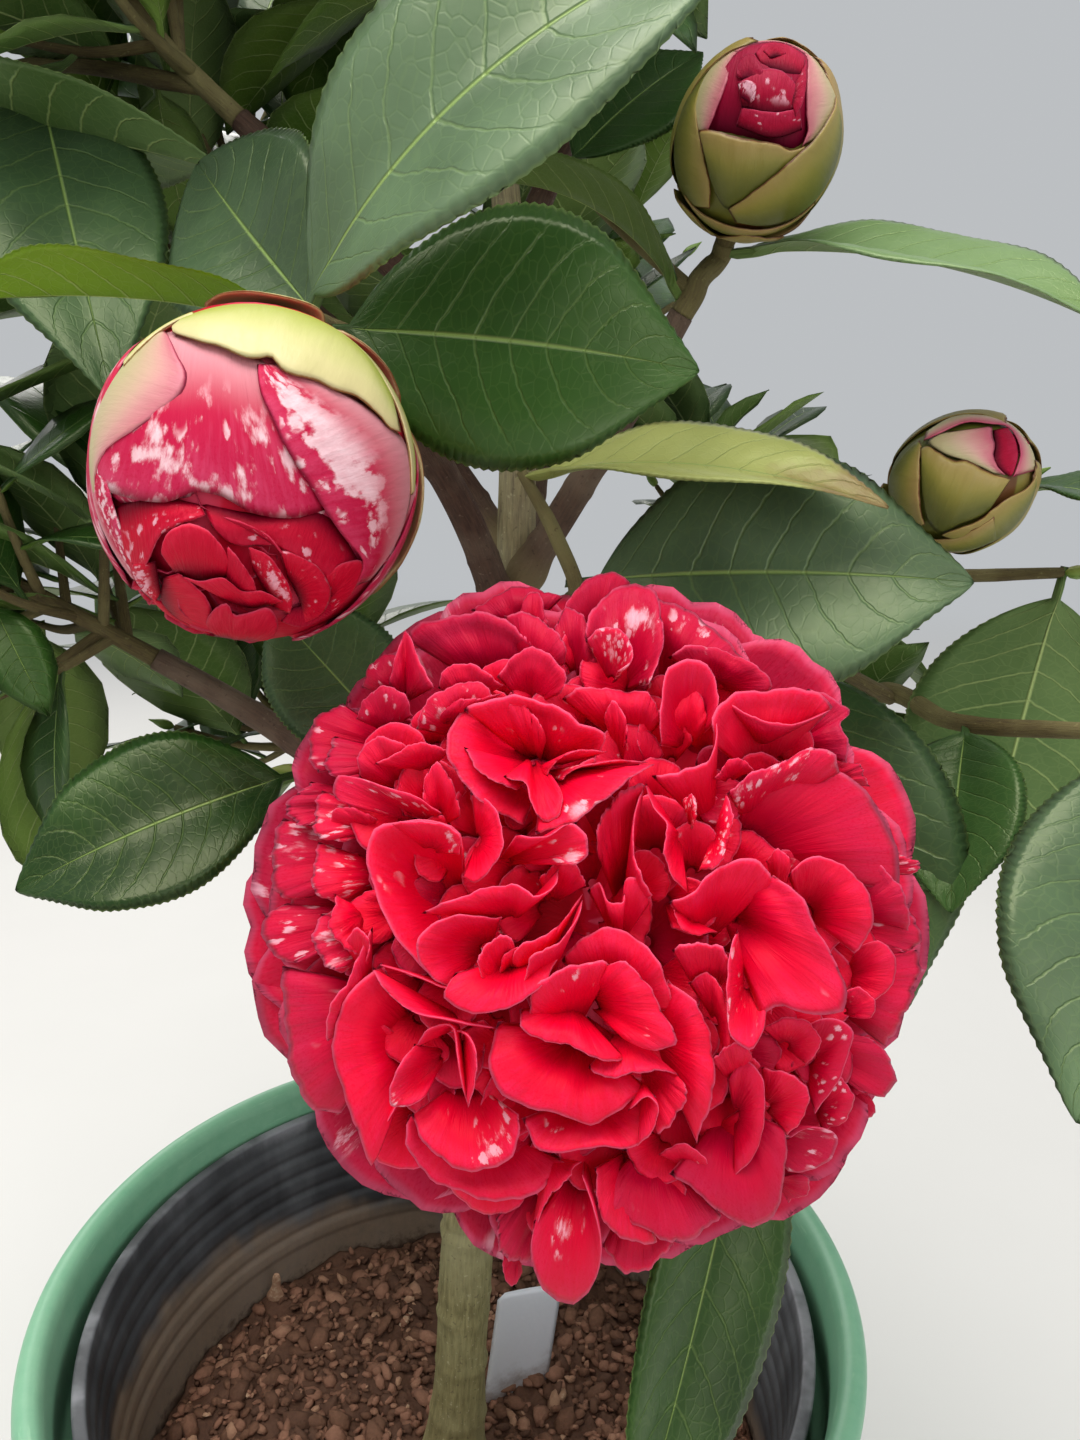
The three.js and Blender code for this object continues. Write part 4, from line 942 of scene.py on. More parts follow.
SEAT_GAP = 0.3
MIX_TOP = 168.0
TRUNK = [(1, -4, 168.3, 12.4), (1, -4, 175, 10.4), (2, -4, 190, 9), (5, -2, 250, 8.2), (9, 0, 320, 7.2),
         (14, -2, 400, 6.2), (19, -3, 470, 5.2), (18, 2, 530, 4.2), (13, 6, 585, 3.2)]
BOUGHS = {
    "front": [(14, -2, 398, 4.6), (20, -28, 416, 4.1), (27, -50, 430, 3.6), (31, -66, 436, 3.1)],
    "left": [(17, -3, 452, 4.4), (6, -30, 486, 3.8), (-4, -50, 506, 3.3), (-10, -64, 516, 2.9)],
    "upper_right": [(19, -3, 462, 4.4), (34, -17, 488, 3.8), (50, -26, 516, 3.2), (57, -29, 529, 2.9)],
    "right": [(16, -2, 425, 4.2), (50, -12, 446, 3.6), (82, -26, 464, 3.1), (97, -34, 472, 2.8)],
    "middle": [(17, -3, 437, 3.6), (25, -22, 452, 3.1), (31, -34, 461, 2.7)],
    "left_low": [(13, -1, 375, 4.6), (-25, 0, 404, 4), (-60, -2, 430, 3.4), (-78, -6, 442, 3)],
    "left_high": [(19, 0, 508, 4), (-8, -2, 538, 3.5), (-34, -4, 562, 3.1), (-48, -4, 574, 2.8)],
    "back_left": [(19, -2, 468, 4.4), (-6, 24, 500, 3.8), (-34, 44, 528, 3.3), (-50, 52, 542, 2.9)],
    "back": [(15, -2, 420, 4.4), (20, 30, 456, 3.8), (24, 58, 488, 3.3), (26, 74, 504, 2.9)],
    "back_right": [(11, -1, 346, 4.4), (44, 26, 372, 3.8), (72, 46, 396, 3.3), (84, 54, 406, 2.9)],
    "back_low": [(9, 0, 326, 4.2), (-18, 32, 352, 3.7), (-42, 60, 376, 3.2), (-52, 74, 386, 2.9)],
    "right_low": [(13, -2, 382, 4.2), (52, -4, 404, 3.7), (92, -14, 426, 3.2), (108, -20, 436, 2.9)],
    "right_high": [(17, 3, 542, 3.5), (33, 10, 580, 3.2), (48, 18, 618, 2.9), (54, 22, 634, 2.7)],
    "right_back": [(17, -3, 438, 4.2), (44, 26, 452, 3.7), (66, 54, 462, 3.2), (74, 66, 466, 2.9)],
}
BLOOM_CENTRE, BLOOM_FACING, BLOOM_RADIUS, BLOOM_DEPTH = (34, -134, 426), (-0.03, -0.93, 0.36), 56, 28
BUD_STALK = 5
EYE, EYE_PITCH = (26, -292, 504), 15.2
GROWTH = {
    "front": (0, None, 0), "left": (0, None, 0), "upper_right": (0, None, 0), "right": (0, None, 0),
    "middle": (0, None, 0), "top": (11, (-0.04, 0.06, 1), 64), "right_low": (6, None, 0),
    "right_high": (9, (0.66, 0.2, 0.72), 56), "right_back": (9, (0.3, 0.9, -0.1), 52),
    "back_right": (10, (0.8, 0.5, 0.2), 58), "back_low": (10, (-0.56, 0.74, 0.3), 58),
    "back": (10, (0.1, 0.8, 0.6), 64), "left_low": (10, (-0.84, -0.1, 0.5), 60),
    "back_left": (10, (-0.62, 0.56, 0.56), 60), "left_high": (9, None, 0),
}


def vec(values: tuple | list | Array) -> Array:
    """The first three numbers as a point or direction."""
    return np.array(values[:3], float)


@dataclass
class BudShape:
    """A fat bud: an egg that is fuller at its foot."""

    centre: tuple[float, float, float]
    tip: tuple[float, float, float]
    radius: float
    half: float

    def axes(self) -> tuple[Array, Array, Array]:
        """Its axis towards the tip, and two directions square to it."""
        axis = unit(vec(self.tip))
        across, third = frame_at(axis, np.array([1, 0.2, 0.1]))
        return axis, across, third

    def reach(self, turn: Array) -> Array:
        """Radius of the egg at an angle from its foot (0) to its tip (pi): r sin^0.9 (1 + 0.05 cos)."""
        return self.radius * np.maximum(np.sin(turn), 0) ** 0.9 * (1 + 0.05 * np.cos(turn))

    def skin_points(self, turn: Array, round_: Array, lift: Array | float) -> Array:
        """Points of the egg's skin, lifted off it.

        Args:
            turn: The angle from the foot to the tip.
            round_: The angle round the axis.
            lift: How far off the skin, in millimetres.

        Returns:
            The points, in the arrays' own shape by 3.
        """
        axis, across, third = self.axes()
        reach = self.reach(turn) + lift * np.sin(turn) ** 0.5
        high = -self.half * 0.98 * np.cos(turn) - lift * np.cos(turn)
        return (vec(self.centre) + axis * high[..., None] + across * (np.cos(round_) * reach)[..., None]
                + third * (np.sin(round_) * reach)[..., None])


BUDS = {
    "big": BudShape((-22, -106, 495), (-0.08, -0.7, -0.71), 26, 28),
    "upper": BudShape((69, -45, 561), (0.12, -0.7, 0.7), 16.5, 18),
    "side": BudShape((118, -48, 493), (0.38, -0.75, 0.54), 14.5, 15.5),
}


def stalk_foot(name: str) -> tuple[Array, Array]:
    """The foot of the stalk of the bloom or a bud, and the way from there to its middle."""
    if name == "bloom":
        axis = unit(vec(BLOOM_FACING))
        return vec(BLOOM_CENTRE) - axis * (BLOOM_DEPTH + BUD_STALK), axis
    shape = BUDS[name]
    axis = unit(vec(shape.tip))
    return vec(shape.centre) - axis * (shape.half + BUD_STALK), axis


# How the crown grows: the source's rule


def spot_on(line: Array, share: float) -> tuple[Array, Array]:
    """A spot at a share of the length of a line of points, and the direction there."""
    points = line[:, :3]
    steps = np.diff(points, axis=0)
    lengths = np.linalg.norm(steps, axis=1)
    left, k = share * lengths.sum(), 0
    while k + 1 < len(lengths) and left > lengths[k]:
        left -= lengths[k]
        k += 1
    along = steps[k] / lengths[k]
    return points[k] + along * left, along


def dots_along(line: Array, step: float = 5) -> Array:
    """Points every few millimetres along a line."""
    dots = []
    for a, b in zip(line[:-1, :3], line[1:, :3]):
        count = math.ceil(np.linalg.norm(b - a) / step)
        dots.append(a + (b - a) * (np.arange(count) / count)[:, None])
    return np.concatenate([*dots, line[-1:, :3]])


class Space:
    """What stands in the crown already: points, with the distance that new growth keeps from them."""

    MOST = 60000
    NEARBY = 60

    def __init__(self) -> None:
        """Starts empty."""
        self.at = np.zeros((self.MOST, 3))
        self.owner = np.zeros(self.MOST, int)
        self.own = np.zeros(self.MOST)
        self.other = np.zeros(self.MOST)
        self.count = 0

    def add(self, owner: int, points: Array, own: float, other: float) -> None:
        """Adds points of a mass (or -1), with the distance for growth of the same mass and for the rest."""
        part = slice(self.count, self.count + len(points))
        self.at[part], self.owner[part], self.own[part], self.other[part] = points, owner, own, other
        self.count += len(points)

    def clear(self, owner: int, points: Array, share: float) -> bool:
        """Whether every point keeps a share of its distance from all that stands there."""
        at = self.at[:self.count]
        low, high = points.min(0) - self.NEARBY, points.max(0) + self.NEARBY
        near = np.flatnonzero(((at > low) & (at < high)).all(1))
        gap = np.linalg.norm(points[:, None] - at[near], axis=2)
        need = np.where(self.owner[near] == owner, self.own[near], self.other[near])
        return bool((gap >= share * need).all())


@dataclass
class CrownSpace:
    """Where the seeded growth may be: inside an egg, out of the parting and of the windows in the view."""

    centre: tuple[float, float, float] = (4, 26, 528)
    radii: tuple[float, float, float] = (226, 206, 204)
    parting: tuple = ((-150, -400, 200), (190, -52, 606))
    windows: tuple = ((0.148, 0.5, 0.314, 0.666), (0.314, 0.5, 0.111, 0.314), (0.296, 0.5, -0.666, -0.194),
                      (-0.333, 0.3, -0.666, -0.342), (-0.055, 0.055, 0.111, 0.259))

    def holds(self, points: Array) -> bool:
        """Whether all the points may be grown over."""
        egg = (((points - vec(self.centre)) / vec(self.radii)) ** 2).sum(1) < 1
        low, high = vec(self.parting[0]), vec(self.parting[1])
        parted = ((points > low) & (points < high)).all(1)
        x, y, z = (points - vec(EYE)).T
        pitch = math.radians(EYE_PITCH)
        depth = y * math.cos(pitch) - z * math.sin(pitch)
        rise = (y * math.sin(pitch) + z * math.cos(pitch)) / depth
        seen = np.zeros(len(points), bool)
        for left, right, low_rise, high_rise in self.windows:
            seen |= (x > left * depth) & (x < right * depth) & (rise > low_rise) & (rise < high_rise)
        return bool((egg & ~parted & ~seen).all())


class LeafKind(Enum):
    """How finely a leaf is drawn: a photographed one, one of the rule's own, or a small one added here."""

    FRONT = "front"
    SEEDED = "seeded"
    SMALL = "small"


@dataclass
class Leaf:
    """A leaf from its root: an arc that bends away from its upper side, with its halves folded up."""

    root: Array
    along: Array
    face: Array
    length: float
    width: float
    bend: float
    fold: float
    kind: LeafKind = LeafKind.SEEDED
    tone: float = 0.5
    # How much painted sky sheen the leaf has.
    painted_sky_sheen: float = 0.0

    DOTS = ((0.22, 0.6), (0.35, 0.92), (0.48, 1), (0.6, 0.97), (0.74, 0.75), (0.87, 0.4), (1, 0.02))

    def __post_init__(self) -> None:
        """Squares the face to the direction and finds the side between them."""
        self.face = squared(self.along, self.face)
        self.side = np.cross(self.face, self.along)

    @classmethod
    def reaching(cls, root: Array, tip: Array, face: Array, width: float, bend: float, fold: float) -> Leaf:
        """A leaf from its root to a known tip, with its upper side looking a given way at mid length."""
        half = math.radians(bend) / 2
        span = float(np.linalg.norm(tip - root))
        chord = (tip - root) / span
        middle = squared(chord, face)
        along = chord * math.cos(half) + middle * math.sin(half)
        top = middle * math.cos(half) - chord * math.sin(half)
        length = span * half / math.sin(half)
        return cls(root, along, top, length, width, math.radians(bend), math.radians(fold), LeafKind.FRONT)

    def midrib(self, t: Array) -> tuple[Array, Array]:
        """The middle of the blade and its upper side at shares t of the length: an arc of radius L/bend."""
        turn = self.bend * t[:, None]
        ahead = self.length * np.sin(turn) / self.bend
        down = self.length * (1 - np.cos(turn)) / self.bend
        up = self.face * np.cos(turn) + self.along * np.sin(turn)
        return self.root + self.along * ahead - self.face * down, up

    def dots(self) -> Array:
        """Points of the blade, five across at seven places."""
        t, share = np.array(self.DOTS, float).T
        at, up = self.midrib(t)
        u = np.array([-1, -0.5, 0, 0.5, 1])[None, :, None]
        half = (self.width / 2 * share)[:, None, None]
        points = (at[:, None] + self.side * u * half * math.cos(self.fold)
                  + up[:, None] * np.abs(u) * half * math.sin(self.fold))
        return points.reshape(-1, 3)


@dataclass
class MassGrowth:
    """The twigs and leaves of one mass; the first twig is its stem."""

    twigs: list[Array]
    leaves: list[Leaf]


@dataclass
class GrowthRule:
    """The seeded rule by which the crown grows, with the source's own numbers."""

    space: Space = field(default_factory=Space)
    crown: CrownSpace = field(default_factory=CrownSpace)
    stem_radii: tuple = (2.6, 2.4, 2, 1.5)
    stem_wander: float = 0.22
    stem_straight: float = 6
    shoot_length: tuple = (38, 56)
    shoot_lean: tuple = (40, 66)
    shoot_radii: tuple = (1.7, 1.4, 1.1)
    shoot_from: float = 0.12
    shoot_lift: float = 0.25
    shoot_leaves: int = 6
    fewest: int = 2
    leaf_length: tuple = (70, 96)
    leaf_shape: float = 0.52
    leaf_lean: tuple = (44, 72)
    leaf_bend: tuple = (12, 46)
    leaf_fold: tuple = (10, 26)
    leaf_from: float = 0.3
    leaf_swing: float = 0.6
    leaf_shrink: tuple = (1, 0.95, 0.88, 0.8, 0.74)
    clear_own: float = 5.5
    clear_other: float = 9
    clear_twig: float = 4
    clear_limb: float = 4.5
    clear_flower: float = 6
    clear_shoot: float = 0.6
    ball_share: float = 0.75
    ring_share: float = 0.42
    ring_reach: float = 0.6
    ring_balls: int = 10
    last_shoot_lean: float = 0.3
    last_leaf_lean: float = 0.35
    last_share: float = 0.985
    leaf_rise: float = 0.12
    face_lean: float = 0.4
    tone_step: float = 7.31
    seed_step: int = 7919
    small_seed: int = 104729
    small_shoots: int = 18
    small_clear: float = 4.6

    front: dict = field(default_factory=lambda: {
        "front": ([(33, -84, 425, 2.6)], "bloom", [
            ("under", 0.5, [(52, -88, 408, 1.9), (70, -103, 394, 1.5)]),
            ("lower_left", 0.3, [(6, -74, 432, 1.9), (-24, -72, 432, 1.4)])]),
        "left": ([(-15, -73, 521, 2.5)], "big", []),
        "upper_right": ([(60, -30, 535, 2.6)], "upper", [
            ("behind", 0.25, [(44, -20, 548, 1.6), (30, -9, 563, 1.3)])]),
        "right": ([(103, -34, 473, 2.4)], "side", [
            ("over", 0.4, [(120, -28, 484, 1.7), (134, -34, 492, 1.3)]),
            ("drop", 0.2, [(122, -26, 470, 1.7), (150, -34, 472, 1.3)])]),
        "middle": ([(34, -41, 466, 2.1), (29, -43, 480, 1.8), (21, -41, 494, 1.3)], None, []),
        "left_high": ([(-74, -6, 600, 2.3), (-92, -8, 640, 1.6)], None, [
            ("far", 0.12, [(-104, 8, 588, 1.8), (-144, 4, 572, 1.4)])]),
        "right_low": ([(124, -40, 437, 2.2), (138, -66, 442, 1.9), (150, -88, 448, 1.5)], None, [
            ("behind", 0.12, [(98, -34, 448, 1.7), (86, -41, 455, 1.3)])]),
    })
    front_leaves: tuple = (
        ("left", "stem", 0.92, (66, -99, 579), (-0.25, -0.95, 0.15), 54, 26, 14),
        ("left", "stem", 0.6, (54, -86, 514), (-0.05, -0.95, 0.3), 50, 28, 12),
        ("left", "stem", 0.76, (-78, -94, 523), (0, 0.1, 1), 36, 26, 22),
        ("left", "stem", 0.5, (-50, -33, 558), (-0.3, -0.9, 0.2), 44, 20, 14),
        ("front", "lower_left", 1, (-78, -93, 413), (-0.1, -0.75, 0.65), 40, 30, 20),
        ("front", "under", 1, (49, -156, 319), (0.1, -0.9, 0.35), 34, 16, 16),
        ("front", "lower_left", 0.55, (-33, -62, 467), (0.2, -0.9, 0.3), 30, 20, 12),
        ("upper_right", "stem", 0.1, (10, -16, 559), (0.2, 0.1, 1), 34, 62, 24),
        ("upper_right", "stem", 0.85, (138, -72, 522), (0.3, -0.5, 0.8), 38, 34, 20),
        ("upper_right", "behind", 1, (62, -6, 589), (0, -0.6, 0.8), 38, 24, 14),
        ("middle", "stem", 0.97, (95, -66, 489), (0.1, -0.15, 1), 32, 34, 24),
        ("middle", "stem", 0.3, (115, -69, 474), (-0.2, -0.95, 0.3), 58, 30, 14),
        ("right", "over", 1, (173, -66, 479), (0.1, -0.3, 0.9), 34, 40, 18),
        ("right", "drop", 1, (138, -40, 399), (0.1, 0.95, 0.2), 56, 10, 12),
        ("left_high", "far", 1, (-48, -23, 559), (-0.1, 0.5, 1), 46, 22, 16),
        ("left_high", "far", 0.5, (-66, -52, 508), (0.2, -0.8, 0.5), 44, 24, 16),
        ("left_high", "stem", 0.8, (-106, -64, 600), (-0.1, -0.7, 0.7), 42, 24, 14),
        ("right_low", "behind", 1, (109, -75, 379), (-0.2, -0.9, 0.25), 48, 30, 14),
        ("right_low", "stem", 0.4, (115, -78, 404), (-0.5, -0.7, 0.4), 34, 30, 26),
        ("right_low", "stem", 0.96, (119, -131, 390), (-0.3, -0.85, 0.4), 46, 24, 16),
    )

    def fill_limbs(self) -> None:
        """The trunk and the boughs fill space before anything grows."""
        for line in [TRUNK, *BOUGHS.values()]:
            for k in range(len(line) - 1):
                keep = line[k][3] + self.clear_limb
                self.space.add(-1, dots_along(np.array(line[k:k + 2], float)), keep, keep)

    def fill_flower(self, centre: Array, facing: Array, radius: float) -> None:
        """Fills balls for a flower or bud: one in the middle and a ring of smaller ones round its axis."""
        across, third = frame_at(unit(facing))
        keep = radius * self.ball_share + self.clear_flower
        self.space.add(-1, centre[None], keep, keep)
        angle = evenly_round(self.ring_balls)[:, None]
        keep = radius * self.ring_share + self.clear_flower
        ring = centre + (across * np.cos(angle) + third * np.sin(angle)) * radius * self.ring_reach
        self.space.add(-1, ring, keep, keep)

    def stem_start(self, name: str) -> list[tuple]:
        """The first two points of a mass's stem, straight on from its bough's tip."""
        line = np.array(TRUNK if name == "top" else BOUGHS[name], float)
        _, along = spot_on(line, 1)
        tip, radius = line[-1, :3], line[-1, 3]
        ends = ((SEAT_GAP, 0.94), (self.stem_straight, 0.9))
        return [(*(tip + along * reach), radius * share) for reach, share in ends]

    def front_growth(self, name: str) -> MassGrowth:
        """The stem, side twigs and leaves of a mass at the front of the crown."""
        stem, holds, twigs = self.front[name]
        line = [*self.stem_start(name), *stem]
        if holds:
            at, along = stalk_foot(holds)
            line += [(*(at - along * 4), 2.4), (*(at - along * SEAT_GAP), 2.3)]
        lines = {"stem": np.array(line, float)}
        for twig, start, rest in twigs:
            at, _ = spot_on(lines["stem"], start)
            lines[twig] = np.array([(*at, rest[0][3] + 0.2), *rest], float)
        leaves = []
        for mass, twig, place, tip, face, *shape in self.front_leaves:
            if mass == name:
                leaves.append(Leaf.reaching(spot_on(lines[twig], place)[0], vec(tip), vec(face), *shape))
        return MassGrowth(list(lines.values()), leaves)

    def wandering_stem(self, name: str, seeded: Seeded) -> Array:
        """A stem that heads one way and wanders a little."""
        _, heads, length = GROWTH[name]
        line = [(*p[:3], self.stem_radii[k]) for k, p in enumerate(self.stem_start(name))]
        at = vec(line[-1])
        for radius in self.stem_radii[2:]:
            wander = np.array([seeded.next() - 0.5, seeded.next() - 0.5, seeded.next() - 0.5])
            at = at + unit(unit(vec(heads)) + wander * self.stem_wander * 2) * length / 2
            line.append((*at, radius))
        return np.array(line, float)

    def shoot_line(self, at: Array, along: Array, turn: float, last: bool, seeded: Seeded) -> Array:
        """A shoot off a stem: two pieces, the second lifted a little more than the first."""
        lean = math.radians(seeded.between(self.shoot_lean)) * (self.last_shoot_lean if last else 1)
        length = seeded.between(self.shoot_length)
        way = leaning(along, lean, turn)
        lifted = unit(way + np.array([0, 0, self.shoot_lift]))
        middle = at + way * length / 2
        points = (at, middle, middle + lifted * length / 2)
        return np.array([(*p, r) for p, r in zip(points, self.shoot_radii)], float)

    def shoot_leaf(self, line: Array, i: int, turn: float, shrink: float, seeded: Seeded) -> Leaf:
        """A leaf on a shoot: it leans off the shoot, with its upper side up and out."""
        share = self.leaf_from + (1 - self.leaf_from) * (i / (self.shoot_leaves - 1))
        at, way = spot_on(line, min(share, self.last_share))
        last = i == self.shoot_leaves - 1
        lean = math.radians(seeded.between(self.leaf_lean)) * (self.last_leaf_lean if last else 1)
        length = seeded.between(self.leaf_length) * shrink
        bend, fold = seeded.between(self.leaf_bend), seeded.between(self.leaf_fold)
        swing = seeded.between((-self.leaf_swing, self.leaf_swing))
        along = leaning(way, lean, turn + i * GOLDEN_TURN + swing)
        along[2] += self.leaf_rise
        face = np.array([0, 0, 1]) + way * self.face_lean
        return Leaf(at, unit(along), face, length, length * self.leaf_shape, math.radians(bend),
                    math.radians(fold))

    def add_shoots(self, owner: int, growth: MassGrowth, seeded: Seeded, shoots: int,
                   inside: tuple[Array, Array] | None = None) -> None:
        """The seeded shoots of a mass and their leaves.

        A leaf that has no room is skipped, and so is a shoot that has none itself or would be nearly bare.

        Args:
            owner: The mass's number in the space.
            growth: What it has already; the shoots are added to it.
            seeded: Its sequence of numbers.
            shoots: How many shoots its stem throws.
            inside: Two corners of a box that the growth keeps within, or None.
        """
        phase = seeded.between((0, math.tau))
        stem = growth.twigs[0]
        for k in range(shoots):
            share = self.shoot_from + (1 - self.shoot_from) * (k / (shoots - 1))
            at, along = spot_on(stem, min(share, self.last_share))
            line = self.shoot_line(at, along, phase + k * GOLDEN_TURN, k == shoots - 1, seeded)
            turn = seeded.between((0, math.tau))
            choices = [[self.shoot_leaf(line, i, turn, shrink, seeded) for shrink in self.leaf_shrink]
                       for i in range(self.shoot_leaves)]
            dots = dots_along(line)
            if not self.room(owner, dots, dots[2:], self.clear_shoot, inside):
                continue
            before, kept = self.space.count, []
            for ways in choices:
                fitting = (way for way in ways if self.room(owner, way.dots(), way.dots(), 1, inside))
                leaf = next(fitting, None)
                if leaf is not None:
                    leaf.tone = (leaf.length * self.tone_step) % 1
                    kept.append(leaf)
                    self.space.add(owner, leaf.dots(), self.clear_own, self.clear_other)
            if len(kept) < self.fewest:
                self.space.count = before
                continue
            self.space.add(owner, dots, 0, self.shoot_radii[0] + self.clear_twig)
            growth.twigs.append(line)
            growth.leaves.extend(kept)

    def room(self, owner: int, seen: Array, felt: Array, share: float,
             inside: tuple[Array, Array] | None) -> bool:
        """Whether growth may be at some points and keeps clear with others."""
        if inside is not None and not ((seen > inside[0]) & (seen < inside[1])).all():
            return False
        return self.crown.holds(seen) and self.space.clear(owner, felt, share)

    def grow(self) -> dict[str, MassGrowth]:
        """Every mass: first the stems and what was photographed, then the seeded shoots in the room left.

        Returns:
            The growth of each mass by its name.
        """
        self.fill_limbs()
        self.fill_flower(vec(BLOOM_CENTRE), vec(BLOOM_FACING), BLOOM_RADIUS)
        for shape in BUDS.values():
            self.fill_flower(vec(shape.centre), vec(shape.tip), shape.radius)
        growth: dict[str, MassGrowth] = {}
        seeds: dict[str, Seeded] = {}
        for k, name in enumerate(GROWTH):
            seeds[name] = Seeded(SEED + k * self.seed_step)
            if name in self.front:
                made = self.front_growth(name)
            else:
                made = MassGrowth([self.wandering_stem(name, seeds[name])], [])
            for line in made.twigs:
                self.space.add(k, dots_along(line), 0, line[0, 3] + self.clear_twig)
            for leaf in made.leaves:
                self.space.add(k, leaf.dots(), self.clear_own, self.clear_other)
            growth[name] = made
        for k, name in enumerate(GROWTH):
            self.add_shoots(k, growth[name], seeds[name], GROWTH[name][0])
        return growth

    def thicken(self, growth: dict[str, MassGrowth], boxes: dict[str, tuple[Array, Array]]) -> None:
        """Adds smaller leaves where each mass still has room, closer together than solids may be.

        Args:
            growth: The growth of each mass; the new growth is added to it.
            boxes: Two corners of each mass's CAD node, in millimetres.
        """
        self.leaf_length, self.shoot_length = (44, 72), (26, 48)
        self.clear_own, self.clear_other, self.clear_twig, self.clear_shoot = 3.2, 4.0, 1.0, 0.3
        self.shoot_radii, self.fewest = (1.5, 1.2, 0.9), 1
        self.space.own = np.minimum(self.space.own, self.clear_own)
        grown = np.flatnonzero(self.space.owner[:self.space.count] >= 0)
        self.space.other[grown] = np.minimum(self.space.other[grown], self.small_clear)
        for k, name in enumerate(GROWTH):
            if GROWTH[name][0]:
                before = len(growth[name].leaves)
                seeded = Seeded(SEED + self.small_seed + k * self.seed_step)
                self.add_shoots(k, growth[name], seeded, self.small_shoots, boxes[name])
                for leaf in growth[name].leaves[before:]:
                    leaf.kind = LeafKind.SMALL


# Limbs


def bark_relief(line: Array, sides: int, rng: np.random.Generator, depth: float) -> Array:
    """Relief of bark on a limb: ridges along it, made of waves whose phases drift, and rings at scars.

    Args:
        line: Points with their radii.
        sides: How many sides the limb has.
        rng: Where the phases come from.
        depth: The ridges' height as a share of the radius.

    Returns:
        Heights, one a ring point, in millimetres.
    """
    length = lengths_along(line[:, :3])[:, None]
    angle = evenly_round(sides)[None]
    waves_in_all = 7
    shape = (waves_in_all, 1, 1)
    lobes = rng.integers(2, 9, waves_in_all)[:, None, None]
    phase, drift = rng.uniform(0, math.tau, shape), rng.uniform(-0.16, 0.16, shape)
    pulse = rng.uniform(8, 40, shape)
    waves = np.sin(lobes * angle + phase + drift * length) * np.sin(length / pulse + phase * 2)
    count = max(2, int(length[-1, 0] / 21))
    scars = np.sort(rng.uniform(6, length[-1, 0] - 2, count))
    where = rng.uniform(0, math.tau, count)
    rings = np.exp(-(((length - scars) / 1.3) ** 2))[:, None, :]
    lopsided = 0.6 + 0.9 * np.exp(-3 * (1 - np.cos(angle.T[None] - where[None, None])))
    return line[:, 3:] * (depth * waves.sum(0) * 0.4 + 0.075 * (rings * lopsided).sum(2))


@dataclass
class Framework:
    """The trunk with its root flare, and the boughs, each with a collar where it leaves the trunk."""

    flare_lobes: int = 3
    flare_share: float = 0.1
    trunk_sides: int = 64
    trunk_rings: int = 240
    bough_sides: int = 20
    bough_rings: int = 70
    collar_share: float = 0.32
    collar_at: float = 6.0
    collar_length: float = 6.0
    trunk_relief: float = 0.035
    bough_relief: float = 0.04
    seed: int = 11

    def build(self) -> list[bpy.types.Object]:
        """Makes the trunk and the boughs.

        Returns:
            The two pieces.
        """
        rng = np.random.default_rng(self.seed)
        trunk, boughs = Skin(), Skin()
        line = smooth_line(np.array(TRUNK, float), self.trunk_rings)
        angle = evenly_round(self.trunk_sides)
        high = line[:, 2:3] - line[0, 2]
        flare = self.flare_share * np.clip(1 - high / 20, 0, 1) * np.cos(self.flare_lobes * angle + 0.6)
        relief = bark_relief(line, self.trunk_sides, rng, self.trunk_relief) + flare * line[:, 3:]
        relief[0] = np.minimum(relief[0], 0.4)
        add_tube(trunk, line, self.trunk_sides, relief, blunt=0.0)
        for k, bough in enumerate(BOUGHS.values()):
            line = smooth_line(np.array(bough, float), self.bough_rings)
            foot = np.linalg.norm(line[:, :3] - line[0, :3], axis=1)
            swelling = np.exp(-(((foot - self.collar_at) / self.collar_length) ** 2))
            line[:, 3] *= 1 + self.collar_share * swelling
            relief = bark_relief(line, self.bough_sides, rng, self.bough_relief)
            add_tube(boughs, line, self.bough_sides, relief, tone=(k * 0.37) % 1, blunt=0.3)
        return [
            trunk.piece("trunk_bark", [TRUNK_BARK], "trunk", ["trunk"]),
            boughs.piece("bough_bark", [BOUGH_BARK], "bough", [f"bough_{name}" for name in BOUGHS]),
        ]


# Leaves and twigs


LEAF_TEETH = 38


